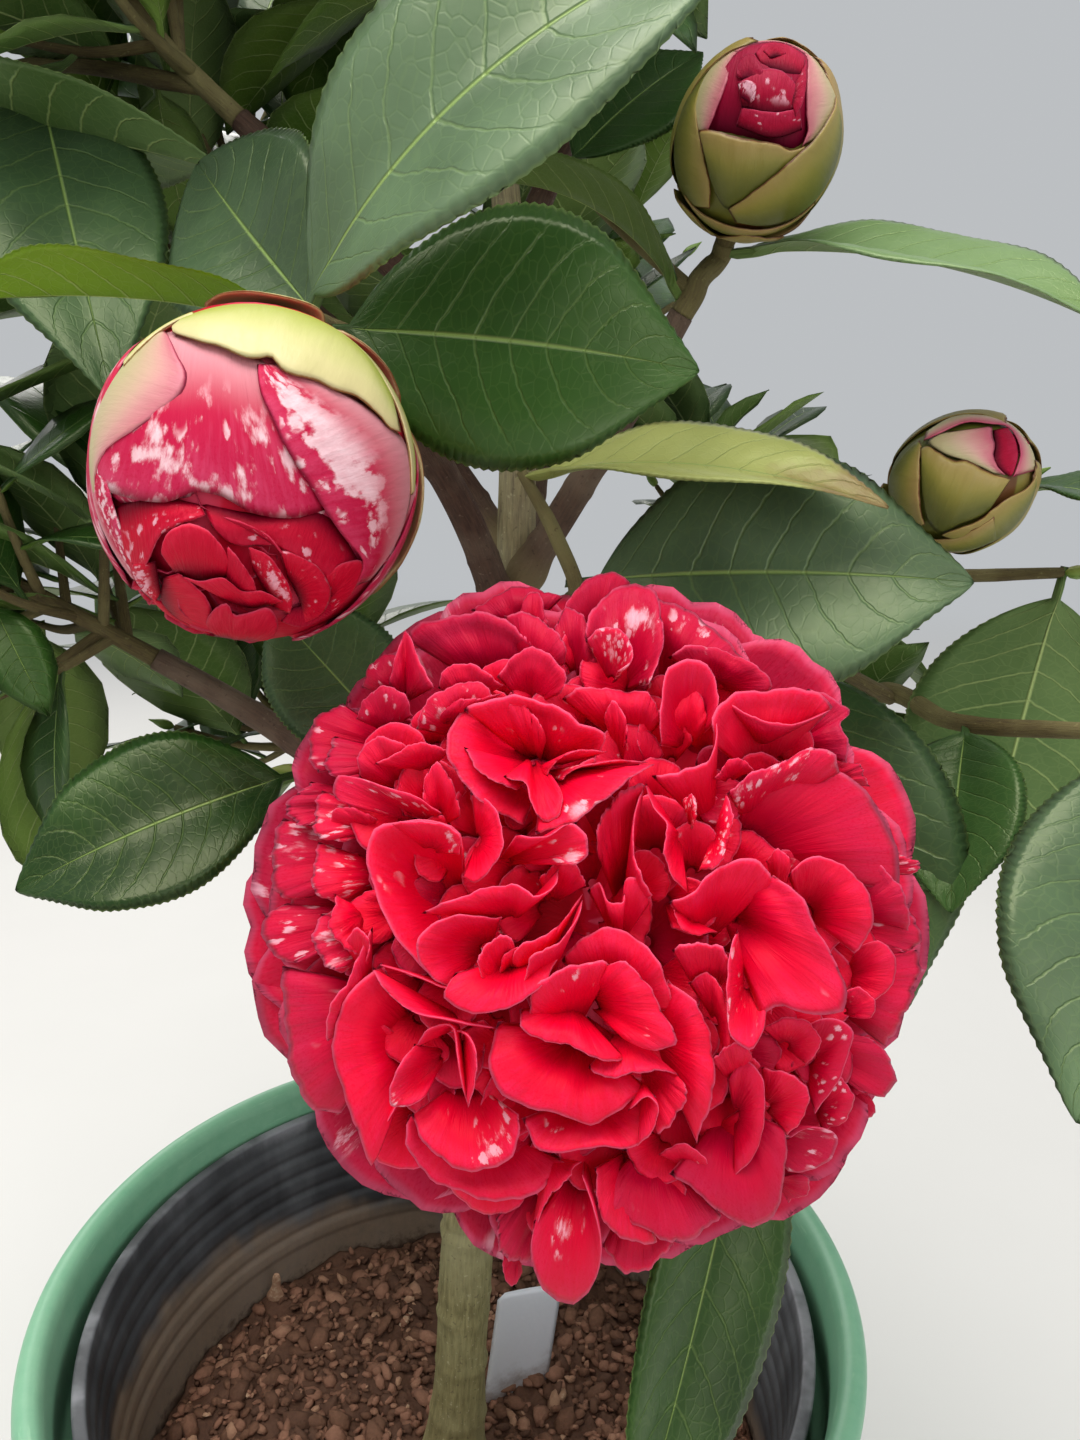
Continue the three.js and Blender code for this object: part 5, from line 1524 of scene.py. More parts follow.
@dataclass
class LeafMaker:
    """Draws leaves: a stalk, a blade widest near its middle, a fine drawn-out tip and, close to, teeth."""

    stalk: float = 0.085
    tooth: float = 0.42
    skin_half: float = 0.16
    ridge: float = 0.8
    side_veins: float = 9.5
    grids: dict = field(default_factory=lambda: {
        LeafKind.FRONT: (2 * LEAF_TEETH + 7, 13), LeafKind.SEEDED: (11, 5), LeafKind.SMALL: (9, 5)})

    def half_width(self, s: Array, width: float) -> Array:
        """Half the width at a share s of the blade: sin(pi s^0.95)^0.75, drawn in towards the tip."""
        shape = np.sin(math.pi * np.clip(s, 0, 1) ** 0.95) ** 0.75 * (1 - 0.32 * smooth(0.68, 1, s))
        return width / 2 * np.nan_to_num(shape)

    def draw(self, skin: Skin, leaf: Leaf, rng: np.random.Generator) -> None:
        """Adds one leaf.

        Args:
            skin: Where the leaf goes.
            leaf: Its arc, size and kind.
            rng: Where its small differences come from.
        """
        rows, columns = self.grids[leaf.kind]
        close = leaf.kind is LeafKind.FRONT
        t = np.concatenate([[-0.02, self.stalk * 0.5], np.linspace(self.stalk, 1, rows - 2)])
        s = (t - self.stalk) / (1 - self.stalk)
        stem = 1 - smooth(self.stalk, self.stalk * 2, t)
        half = np.maximum(self.half_width(s, leaf.width), 0.22 + 0.85 * stem)
        if close:
            inner = smooth(0.06, 0.16, s) * (1 - smooth(0.93, 0.98, s))
            half = half + self.tooth * inner * ((np.arange(rows) % 2) - 0.5)
        at, up = leaf.midrib(t)
        u = np.linspace(-1, 1, columns)[None]
        s_grid, half = s[:, None], half[:, None]
        phase = (s_grid - np.abs(u) * 0.11 - u * u * 0.1) * self.side_veins
        quilt = 0.34 * np.cos(math.pi * phase) ** 2 * np.abs(u) * (1 - u * u) * 2 * (s_grid > 0) * close
        high, often, shift = rng.uniform(0.5, 1.4), rng.uniform(0.9, 1.9), rng.uniform(0, 1)
        wave = high * np.sin(math.tau * (often * s_grid + np.sign(u) * shift))
        ripple = wave * u * u * smooth(0.02, 0.3, s_grid) * (0.4 + half / 26)
        lift = half * (math.sin(leaf.fold) * (np.sqrt(u * u + 0.02) - 0.141) - 0.1 * u**4) + quilt + ripple
        points = (at[:, None] + leaf.side * (u * half * math.cos(leaf.fold))[..., None]
                  + up[:, None] * lift[..., None])
        rounding = stem[:, None] * (1 - u * u)
        ridge = self.ridge * np.exp(-((u * half / 0.9) ** 2)) * (1 - 0.85 * np.clip(s_grid, 0, 1)) * close
        uv = grid_uv(np.clip(s_grid, 0, 1), u)
        # The mark carries the leaf's painted sky sheen.
        add_sheet(skin, points, self.skin_half + 0.5 * rounding, self.skin_half + 0.8 * rounding + ridge, uv,
                  leaf.tone, leaf.painted_sky_sheen, (0, 1))


@dataclass
class Crown:
    """Twigs, leaves and growth buds, grown by the rule; smaller leaves fill what room is left.

    The tones, the painted sky sheens and the numbers of the turned leaves follow the order of the rule's front
    leaves.
    """

    rule: GrowthRule = field(default_factory=GrowthRule)
    leaves: LeafMaker = field(default_factory=LeafMaker)
    front_tones: tuple = (0.34, 0.76, 0.92, 0.25, 0.1, 0.4, 0.15, 0.62, 0.86, 0.4, 1.0, 0.42, 0.5, 0.0, 0.3,
                          0.3, 0.3, 0.25, 0.78, 0.38)
    # How much painted sky sheen each front leaf has.
    front_painted_sky_sheens: tuple = (0.5, 0.05, 0.0, 0.3, -0.1, -0.05, 0.15, 0.1, 0.6, 0.1, 0.1, 0.4, 0.1, 0.2, 0.3,
                          0.2, 0.3, 0.15, 0.1, 0.35)
    turned: dict = field(default_factory=lambda: {
        0: ((62, -101, 579), (-0.61, -0.74, 0.3), 56, 64, 20),
        5: ((42, -156, 319), (0.5, -0.8, 0.3), 34, 10, 22),
        10: ((95, -72, 489), (0.08, -0.42, 0.9), 32, 34, 24),
        11: ((115, -69, 474), (-0.2, -0.84, 0.5), 58, 30, 14)})
    bud_length: float = 9.0
    bud_radius: float = 1.9
    stem_rings: int = 30
    twig_rings: int = 16
    twig_sides: int = 10
    twig_relief: float = 0.04
    far_tones: tuple[float, float] = (0.0, 0.84)
    # The least and the most painted sky sheen of the other leaves.
    far_painted_sky_sheens: tuple[float, float] = (-0.1, 0.3)
    seed: int = 23

    def twig_bud(self, skin: Skin, tip: Array, along: Array, size: float) -> None:
        """A pointed growth bud at a twig's tip: a spindle whose radius is r sin(pi s^0.7)."""
        s = np.linspace(0, 1, 7)
        radius = self.bud_radius * size * np.maximum(np.sin(math.pi * s**0.7), 0.12) * (1 - 0.2 * s)
        line = np.concatenate([tip + along * (s * self.bud_length * size)[:, None], radius[:, None]], 1)
        add_tube(skin, line, 6, tone=0.5, slot=1, blunt=0.6)

    def build(self) -> list[bpy.types.Object]:
        """Grows the crown and makes its pieces.

        Returns:
            The pieces.
        """
        growth = self.rule.grow()
        fronts = [leaf for mass in growth.values() for leaf in mass.leaves if leaf.kind is LeafKind.FRONT]
        order = [entry[0] for entry in self.rule.front_leaves]
        ranked = sorted(range(len(order)), key=lambda i: (list(GROWTH).index(order[i]), i))
        for leaf, place in zip(fronts, ranked):
            leaf.tone, leaf.painted_sky_sheen = self.front_tones[place], self.front_painted_sky_sheens[place]
            if place in self.turned:
                tip, face, *shape = self.turned[place]
                again = Leaf.reaching(leaf.root, vec(tip), vec(face), *shape)
                again.kind, again.tone, again.painted_sky_sheen = leaf.kind, leaf.tone, leaf.painted_sky_sheen
                vars(leaf).update(vars(again))
        LOG.info("leaves by the rule: %s", {name: len(mass.leaves) for name, mass in growth.items()})
        boxes = {name: tuple(np.array(corner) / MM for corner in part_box(f"leaves_{name}")) for name in GROWTH}
        self.rule.thicken(growth, boxes)
        LOG.info("leaves in all: %d", sum(len(mass.leaves) for mass in growth.values()))
        rng = np.random.default_rng(self.seed)
        near, far, twigs = Skin(), Skin(), Skin()
        for name, mass in growth.items():
            for leaf in mass.leaves:
                if leaf.kind is not LeafKind.FRONT:
                    leaf.tone, leaf.painted_sky_sheen = rng.uniform(*self.far_tones), rng.uniform(*self.far_painted_sky_sheens)
                self.leaves.draw(near if leaf.kind is LeafKind.FRONT else far, leaf, rng)
            for k, line in enumerate(mass.twigs):
                fine = smooth_line(line, self.twig_rings if k else self.stem_rings)
                relief = bark_relief(fine, self.twig_sides, rng, self.twig_relief)
                add_tube(twigs, fine, self.twig_sides, relief, tone=rng.uniform(0, 1))
                holds = k == 0 and name in self.rule.front and self.rule.front[name][1]
                if not holds:
                    end = unit(fine[-1, :3] - fine[-3, :3])
                    self.twig_bud(twigs, fine[-1, :3], end, rng.uniform(0.7, 1.1))
        fronts = ["leaves_front", "leaves_left", "leaves_upper_right", "leaves_right", "leaves_middle"]
        nodes = [f"leaves_{name}" for name in GROWTH]
        others = [node for node in nodes if node not in fronts]
        return [
            near.piece("front_leaves", [LEAF_TOP, LEAF_UNDER], "leaf", fronts),
            far.piece("crown_leaves", [LEAF_TOP, LEAF_UNDER], "leaf", others),
            twigs.piece("crown_twigs", [TWIG_BARK, GROWTH_BUD], "leaf", nodes),
        ]


# The bloom


@dataclass
class Petal:
    """A petal: an arc from its base to an elliptic free edge, cupped across, ruffled, with a rolled lip."""

    base: Array
    grow: Array
    face: Array
    length: float
    width: float
    curl: float = 0.3
    cup: float = 0.6
    lip: float = 0.0
    twist: float = 0.0
    ruffle: float = 0.8
    waves: float = 1.2
    phase: float = 0.0
    round_end: float = 0.45
    notch: float = 0.0
    tone: float = 0.5
    mark: float = 0.0
    rows: int = 15
    columns: int = 15
    slot: int = 0

    CURL_SHARE = 0.385
    LIP_SHARE = 0.16

    @classmethod
    def between(cls, base: Array, tip: Array, face: Array, width: float, **style: float) -> Petal:
        """A petal from its base to a known tip: it sets off by its curl's share the other way.

        Args:
            base: Where it starts.
            tip: Where the middle of its free edge lies.
            face: The way its upper face looks.
            width: Its width.
            style: Any of the other fields.

        Returns:
            The petal.
        """
        chord = unit(tip - base)
        face = squared(chord, face)
        early = style.get("curl", 0.3) * cls.CURL_SHARE + style.get("lip", 0.0) * cls.LIP_SHARE
        grow = chord * math.cos(early) - face * math.sin(early)
        length = float(np.linalg.norm(tip - base)) * (1 + early * early)
        return cls(base, grow, face * math.cos(early) + chord * math.sin(early), length, width, **style)

    def draw(self, skin: Skin) -> None:
        """Adds the petal.

        The middle line turns towards the face by curl t^1.6 and, near the end, by the lip. Across it, w is
        sin p for p from -90 to 90 degrees, the section is an arc of angle cup w that twists round the line,
        and the free edge is drawn back by 1 - cos p, which makes it an ellipse. The ruffle is a sine of w
        that grows towards the edge.

        Args:
            skin: Where it goes.
        """
        grow = unit(self.grow)
        face = squared(grow, self.face)
        side = np.cross(face, grow)
        t = np.linspace(0, 1, self.rows)
        p = np.linspace(-1, 1, self.columns)[None] * math.pi / 2
        w = np.sin(p)
        turn = self.curl * t**1.6 + self.lip * smooth(0.6, 1, t)
        ahead = grow * np.cos(turn)[:, None] + face * np.sin(turn)[:, None]
        up = face * np.cos(turn)[:, None] - grow * np.sin(turn)[:, None]
        step = (ahead[1:] + ahead[:-1]) / 2 * self.length / (self.rows - 1)
        middle = self.base + np.concatenate([np.zeros((1, 3)), np.cumsum(step, axis=0)])
        t = t[:, None]
        c, s = np.cos(self.twist * t), np.sin(self.twist * t)
        side, up = side * c + up * s, up * c - side * s
        half = self.width / 2 * (0.3 + 0.7 * np.sin(np.minimum(t * 1.2, 1) * math.pi / 2))
        cup = self.cup * (0.55 + 0.45 * t)
        across = half * np.sin(cup * w) / cup
        rise = half * (1 - np.cos(cup * w)) / cup
        swing = self.waves * math.pi * w
        rise = rise + self.ruffle * t**1.5 * (0.25 + 0.75 * w * w) * np.sin(swing + self.phase)
        rise = rise + 0.35 * self.ruffle * t**3 * np.sin(2.4 * swing + 1.7 * self.phase)
        back = self.round_end * (1 - np.cos(p)) * t**1.5 + self.notch * np.exp(-((w / 0.22) ** 2)) * t**4
        points = (middle[:, None] + side[:, None] * across[..., None] + up[:, None] * rise[..., None]
                  - ahead[:, None] * (back * self.length)[..., None])
        add_sheet(skin, points, 0.2, 0.2, grid_uv(t, w), self.tone, self.mark, (self.slot, self.slot))


@dataclass
class Front:
    """The front of the bloom or a bud, drawn on a plan that faces the eye.

    A place on the plan is (squares to the right, squares down). The skin under the plan is an ellipsoid with
    one radius across its axis and another along it. A drawn petal or scale is (how far its free edge stands
    off the skin, how far it bulges, its white share, the places of its foot, the places along its free edge),
    and its places are written as right, down, right, down and so on. A foot of one place is narrow; a foot of
    more is a line. A white share may be five numbers: its least and most, where from the foot and across the
    most lies, and how widely.
    """

    centre: tuple[float, float, float]
    axis: tuple[float, float, float]
    radius: float
    half: float
    middle: tuple[float, float]
    square: float
    reach: float = 1.0

    RIM_FROM = 0.88
    RIM_SPAN = 0.115
    UPRIGHT = (0.0, 0.26, 0.97)
    FOOT_SHARE = 0.14
    FULL_LENGTH = 13.0

    def __post_init__(self) -> None:
        """Finds the plan's own directions: right, up and out towards the eye."""
        towards = vec(EYE) - vec(self.centre)
        self.sight = float(np.linalg.norm(towards))
        self.out = towards / self.sight
        self.up = squared(self.out, vec(self.UPRIGHT))
        self.right = np.cross(self.up, self.out)

    def terms(self, x: Array, y: Array) -> tuple[float, Array, Array]:
        """The terms of the ellipsoid's equation for the height h, first h^2 + 2 second h + third = 1."""
        axis = unit(vec(self.axis))
        x, y = x * self.reach, y * self.reach
        flat = 1 / self.half**2 - 1 / self.radius**2
        ahead = float(self.out @ axis)
        sideways = x * float(self.right @ axis) + y * float(self.up @ axis)
        return (1 / self.radius**2 + flat * ahead**2, flat * sideways * ahead,
                (x * x + y * y) / self.radius**2 + flat * sideways**2)

    def skin_height(self, x: Array, y: Array) -> Array:
        """How high the skin stands over the plan: the equation's greater root, less what reach leaves off.

        Args:
            x: Millimetres to the right of the middle.
            y: Millimetres above it.

        Returns:
            The heights.
        """
        first, second, third = self.terms(x, y)
        root = (np.sqrt(np.maximum(second**2 - first * (third - 1), 0)) - second) / first
        return root - self.half * math.sqrt(1 - self.reach**2)

    def drawn_in(self, x: Array, y: Array) -> Array:
        """What a place is multiplied by to stay in the skin's outline: past a share of it, tanh slows it."""
        first, second, third = self.terms(x, y)
        share = np.sqrt(np.maximum(first * third - second**2, 1e-12) / first)
        slowed = self.RIM_FROM + self.RIM_SPAN * np.tanh((share - self.RIM_FROM) / self.RIM_SPAN)
        return np.where(share < self.RIM_FROM, 1.0, slowed / share)

    def points(self, places: Array, lift: Array | float) -> Array:
        """The points that are seen at places of the plan and stand so far off the skin.

        A point nearer the eye lies closer to the middle by 1 - height / sight, found in three rounds.

        Args:
            places: The places, any shape by 2.
            lift: How far each stands off the skin, in millimetres.

        Returns:
            The points, in the same shape by 3.
        """
        x = (places[..., 0] - self.middle[0]) * self.square
        y = (self.middle[1] - places[..., 1]) * self.square
        kept = self.drawn_in(x, y)
        x, y = x * kept, y * kept
        nearer = np.ones_like(x)
        for _ in range(3):
            high = self.skin_height(x * nearer, y * nearer)
            nearer = 1 - high / self.sight
        high = high + lift
        nearer = 1 - high / self.sight
        return (vec(self.centre) + self.right * (x * nearer)[..., None] + self.up * (y * nearer)[..., None]
                + self.out * high[..., None])

    def drawn_line(self, places: tuple | Array, count: int) -> Array:
        """Places along the smooth line through a few places."""
        pairs = np.reshape(np.array(places, float), (-1, 2))
        return smooth_line(np.pad(pairs, ((0, 0), (0, 2))), count)[:, :2]

    def draw(self, skin: Skin, rng: np.random.Generator, drawn: tuple, depth: float, wave: float, tuck: float,
             tone: float, slot: int = 0, thick: float = 0.2, rows: int = 15, columns: int = 27) -> None:
        """Adds a drawn petal or scale.

        It runs straight from foot to free edge over the plan. Its height is
        lift - depth (0.55 (1-t) + 0.45 (1-t)^2) + bulge (0.5 sin(pi t) + 3.4 t (1-t)^2) (1 - w^2 / 3)
        - tuck |w|^3, with a lip at the edge and sines of w that grow towards it. A petal shorter than the
        full length is flatter in proportion.

        Args:
            skin: Where it goes.
            rng: Where its small differences come from.
            drawn: The five parts of a drawn petal.
            depth: How much deeper its foot lies than its free edge.
            wave: How far it is ruffled, in millimetres.
            tuck: How much deeper the ends of its free edge lie.
            tone: Its tone.
            slot: The place of its material.
            thick: Half its thickness.
            rows: How many points run from foot to edge.
            columns: How many points run along the edge.
        """
        lift, bulge, mark, foot, edge = drawn
        t = np.linspace(0, 1, rows)[:, None]
        w = np.linspace(-1, 1, columns)[None]
        if isinstance(mark, tuple):
            low, high, at_t, at_w, spread = mark
            mark = low + (high - low) * np.exp(-(4 * (t - at_t) ** 2 + (w - at_w) ** 2) / spread**2)
        line = self.drawn_line(edge, columns)
        if len(foot) > 2:
            start = self.drawn_line(foot, columns)
        else:
            start = np.array(foot, float) + self.FOOT_SHARE * (line - line.mean(axis=0))
        phase, turns, lip = rng.uniform(0, math.tau), rng.uniform(1.0, 2.0), rng.uniform(-1.0, 2.2)
        crinkle = np.sin(turns * math.pi * w + phase) + 0.5 * np.sin(2.7 * turns * math.pi * w + 2 * phase)
        crinkle = crinkle + 0.36 * np.sin(6.1 * turns * math.pi * w + 3 * phase)
        run = unit(line - start)
        size = min(1.0, float(np.linalg.norm(line - start, axis=1).mean()) * self.square / self.FULL_LENGTH)
        wave = wave * (0.4 + 0.6 * size)
        ragged = crinkle * wave * 0.3 * t**4 / self.square
        places = start + (line - start) * t[..., None] + run * ragged[..., None]
        hump = 0.5 * np.sin(math.pi * t) + 3.4 * t * (1 - t) ** 2
        high = lift - depth * size * (0.55 * (1 - t) + 0.45 * (1 - t) ** 2)
        high = high + bulge * size * hump * (1 - w * w / 3) - tuck * np.abs(w) ** 3
        high = high + wave * t**1.5 * crinkle * 0.5 + wave * size * lip * smooth(0.7, 1, t)
        high = high + 0.25 * wave * np.sin(9 * t + 2 * w + phase) * np.sin(2.3 * turns * w + phase)
        add_sheet(skin, self.points(places, high), thick, thick, grid_uv(t, w), tone, mark, (slot, slot))


@dataclass
class Bloom:
    """The open bloom: a dark heart, rows of broad outer petals, petals between them and those drawn."""

    radius: float = 60.0
    height: float = 38.0
    reach: float = 0.93
    core_radius: float = 34.0
    core_height: float = 12.0
    core_back: float = 3.0
    petal_base: float = 13.0
    depth: float = 13.0
    tuck: float = 3.0
    guard_rows: tuple = ((11, 95, 60, 40, 0), (12, 86, 59, 36, 15), (13, 78, 56, 30, 8), (13, 66, 46, 26, 22))
    sepals: tuple = ((5, 15, 17, 0.5), (4, 12, 15, 0.0))
    fillers: int = 130
    fill_reach: float = 53.0
    fill_long: tuple = (8, 13)
    fill_wide: tuple = (5.5, 9)
    fill_swing: float = 1.9
    seed: int = 7
    middle: tuple = (71.3, 79.4)
    square: float = 0.765
    raised: float = 2.5
    top: tuple = (
        (-6, 1, 0, (56, 18), (45, 13.5, 49, 10, 53, 8.4, 60, 8.2, 65, 10)),
        (-6, 1, 0.1, (72, 18), (64, 15, 67, 9, 71, 5.8, 76, 4.4, 80, 6.2)),
        (-4, 1, 0, (58, 20), (55, 15, 57, 10, 59, 9, 61, 13, 62, 17)),
        (-3, 2.5, 0, (51, 31), (30, 20, 34, 16.5, 38, 15, 44, 13.7, 52, 15.5, 58, 19.5, 61, 22)),
        (0, 1.5, 0.1, (58, 28), (52, 14.5, 58, 14, 63, 17.5, 65.5, 21.5, 66, 25)),
        (0, 1, 0.3, (68, 28), (63, 18, 66, 12, 69, 14, 71, 20, 73, 25)),
        (3, 2.5, (0.45, 1.0, 0.62, 0.1, 0.6), (78, 29), (70, 20, 71.5, 13, 75.5, 8.2, 81, 6.4, 85, 9,
          86.5, 15, 87, 22, 84, 29.5)),
        (5, -1.5, 0.85, (76, 28.5), (70, 20, 73, 17.5, 77, 17, 80, 20, 80, 24.5, 77, 27)),
        (-1, 2.5, (0.2, 1.0, 0.85, -0.35, 0.5), (88, 30), (85, 9.5, 90.5, 12.5, 96.5, 16, 102, 20.5,
          107, 25, 110, 29.5)),
        (1, 1, 0.3, (98, 29), (88, 23.5, 93, 21, 99, 21.2, 105, 24, 110, 29, 109, 33)),
        (4, -2.5, 0.1, (92, 42), (86, 43, 86.5, 33, 88.5, 26, 93, 23.8, 97.5, 26, 99, 31, 98, 38)),
        (0, 1, 0, (91, 43), (88, 38, 90, 32, 94, 31, 96, 35, 96, 40)),
        (1, 1.5, 0.2, (80, 43), (65, 33, 69, 31, 77, 30.5, 84, 32, 86.5, 38)),
        (2, 0.5, 0.1, (78, 46), (74, 37, 76, 33.5, 79, 37, 79, 43)),
        (-4, 1, 0.5, (30, 33), (21, 31, 23, 26, 27, 23, 31, 25)),
        (1, 0.5, 0, (31, 33), (27, 30, 29, 22, 30.2, 18, 32.5, 21.5, 34.5, 26.5, 37, 31)),
        (0, 1, 0, (45, 34), (38, 31, 40, 26, 44, 25.2, 49, 27.8, 52.5, 30)),
        (1, 1.5, 0.1, (58, 34), (51, 28.5, 53.5, 24, 58, 21.8, 63.5, 24, 66, 28.5, 64.5, 32)),
        (2, 0.5, (0.4, 0.95, 0.7, 0, 0.8), (44, 41), (33, 40, 35, 35, 40, 31, 45, 29, 49, 31, 50, 35)),
        (0, 1, 0.5, (27, 40), (20, 38, 22, 33, 26, 31, 31, 33, 33, 37)),
    )
    upper: tuple = (
        (3, 1.5, 0.4, (61, 47), (44, 36, 50, 33, 55, 32, 61, 33.5, 65, 35.5, 69, 38.5, 74.5, 41, 74, 45)),
        (4, -2, 0.3, (60, 48), (45, 34.5, 41.2, 38.5, 40.8, 44, 43.2, 50, 47.5, 55, 52.5, 59, 57.5, 60.5)),
        (5, 1.5, 0, (59, 47), (53, 50, 57.5, 51.5, 59, 56, 61.5, 59.7, 64.5, 58.5, 65.5, 54, 63.5, 50)),
        (4, -1, 0, (59, 48), (44.5, 44, 47, 49, 52, 51.5, 56, 53)),
        (3, 2, 0.1, (60, 46), (52, 36, 56, 34, 60, 38, 62, 42)),
        (7, 1.5, (0.1, 0.95, 0.85, -0.1, 0.6), (63, 50), (60, 62, 69, 59.5, 74.5, 55, 80, 50, 85, 47)),
        (5, 0.5, (0.2, 0.95, 0.8, -0.5, 0.7), (63, 49), (65, 51, 69, 48, 74, 46.8, 79, 46.2, 84, 46.6)),
        (5, 0.5, 0.2, (61, 48), (62, 50, 65, 46, 70, 44, 75, 44.5)),
        (4, 1, 0, (48, 64), (46, 54, 49.5, 55, 52.8, 60, 53, 65, 50.5, 70, 47, 73, 44.5, 72)),
        (1, 1.5, 0, (40, 60), (36, 57, 35.8, 50.5, 38, 47.5, 41, 50.5, 43.2, 54.5, 44, 59)),
        (1, 1, 0.1, (31, 53), (21.8, 51, 21.5, 45, 24.5, 42, 30, 43.2, 34.5, 44)),
        (2, 1.5, (0.2, 1.0, 0.7, 0.0, 0.7), (36, 60), (21.5, 57.5, 16, 54.5, 16.5, 50.8, 21, 50.8,
          27, 52.8, 34, 54.8, 40, 58)),
        (0, 1, 0.2, (24, 62), (15, 62, 17, 58, 21, 57.5, 26, 60)),
        (3, -1, 0, (36, 49), (25, 48, 30, 45, 36, 43, 41, 45)),
        (3, 1, 0, (40, 39), (38, 37, 42, 34, 47, 33, 52, 32)),
        (2, 2, 0, (78, 76), (73, 66, 74, 58, 77, 54, 81, 52, 83.2, 51.5)),
        (3, 1.5, 0, (79, 77), (83, 51.5, 81, 58, 81, 65, 82.5, 71, 84.5, 75)),
        (5, -1, 0.3, (90, 62), (83.3, 51, 84.5, 55.5, 88, 60, 87.2, 66, 89, 71, 92.5, 74)),
        (3, 1, 0.9, (93, 60), (91, 55, 93, 53, 94, 57, 93, 60.5)),
        (4, -1, 0.1, (97, 60), (85, 50, 91, 48, 97, 45, 98.5, 40, 98, 35)),
        (6, 1.5, (0.4, 1.0, 0.7, 0.3, 0.9), (98, 62), (100.5, 52.5, 101.5, 57, 100.8, 63, 98.5, 68,
          94.2, 69.8)),
        (6, 0.5, 0.8, (106, 58), (100.5, 53, 106, 48.8, 112, 46, 118, 43.2, 122.5, 44, 124.7, 48)),
        (2, 3, 0.05, (103, 65), (105, 50, 115, 46.8, 124.5, 48, 130, 52, 134, 59, 136, 67, 135.5, 73)),
        (2, 2.5, 0.1, (108, 48), (98, 43, 98.5, 35, 102, 31.2, 108, 30.2, 115, 30.2, 121, 31.8,
          122.8, 34.5)),
        (4, 1, 0.3, (108, 42), (100, 33, 106, 36, 114, 38, 120, 36, 123, 34.5)),
        (-3, 1, 0.1, (115, 42), (118, 30, 123, 32.2, 127, 35.2, 125.2, 37.2, 126.2, 42, 125.5, 46)),
        (4, 0.5, 0, (101, 50), (98, 50, 101, 46, 104, 45.5, 106, 48)),
        (-5, 1, 0.4, (120, 50), (125, 45.5, 129, 47, 130.2, 51)),
    )
    centre_left: tuple = (
        (4, -3, 0.35, (44, 77), (44.5, 68, 44, 63, 39.5, 60.5, 32, 60, 25.5, 61.8, 23.8, 66.5, 25.8, 75,
          30, 82.5, 36, 89.5, 42.5, 94.5)),
        (6, 0, (0.1, 1.0, 0.8, 0.45, 0.5), (38, 66), (29, 61, 34, 60, 40, 60.6, 44, 63.5, 44.3, 67)),
        (5, -2, 0, (50, 86), (43, 95, 37.5, 91.5, 35.8, 87.5, 37.5, 83, 42, 80.2, 48, 79.5, 53.5, 79.5)),
        (6, 2, 0, (56, 89), (44, 91.5, 42, 96.2, 45.5, 99.2, 52, 99.5, 57.5, 97, 62.5, 93, 66, 87.5)),
        (7, 1.5, (0.2, 1.0, 0.85, 0.5, 0.6), (54, 68), (56, 62.5, 62, 63, 68, 60, 71.2, 63, 71.6, 66.5,
          68.5, 68.6, 65, 66.8)),
        (6, 1, 0, (55, 80), (36.2, 79.5, 44, 76.2, 50, 73.5, 56, 73, 60, 75.5, 64, 73.5, 65.5, 69)),
        (5, 0.5, 0, (61, 91), (55.5, 89.5, 57.5, 86, 63, 83, 68, 78, 70.2, 74.8)),
        (6, 0, 0, (63, 93), (58, 94, 60, 88, 66, 84, 69.5, 79, 70.4, 75.5)),
        (4, -1, 0, (54, 93), (50, 94, 48.8, 89.5, 50.5, 85, 54.5, 83.8, 57, 87)),
        (3, 1, 0, (55, 90), (53, 92, 54, 88, 57, 86, 58, 90)),
        (3, -1, 0, (64, 76), (61, 72, 65, 68, 70, 70, 71, 73)),
        (3, 1, 0, (78, 84), (71.2, 74, 73.5, 72.5, 75.5, 76, 78.5, 76.2, 79.5, 71.2, 82.5, 72, 84.2, 76.5)),
        (5, 1.5, 0.1, (96, 83), (88.5, 76.5, 92.5, 74.5, 96.5, 70, 101, 67.2, 105.5, 66.8, 109, 69.5,
          109.8, 72)),
        (4, 0, 0, (93, 80), (89, 77, 90, 80, 93, 82.5, 98.5, 82)),
        (6, 4, 0.2, (101, 78), (110, 70, 115, 74, 119, 81, 122.5, 87, 124.5, 93, 123.5, 96.8, 117, 97.8,
          111, 96.8, 107, 99)),
        (3, 2.5, 0, (117, 77), (113, 70, 116.5, 66.8, 122.5, 66.5, 127.5, 70, 130, 75.5, 129.5, 82,
          126.5, 85.8)),
        (0, 1.5, 0.1, (126, 77), (127, 67.2, 132, 67.2, 135, 70, 137.2, 76, 138, 81)),
        (2, 0.5, 0, (111, 74), (108.5, 67, 111, 64.8, 113.5, 66.5, 113, 70)),
    )
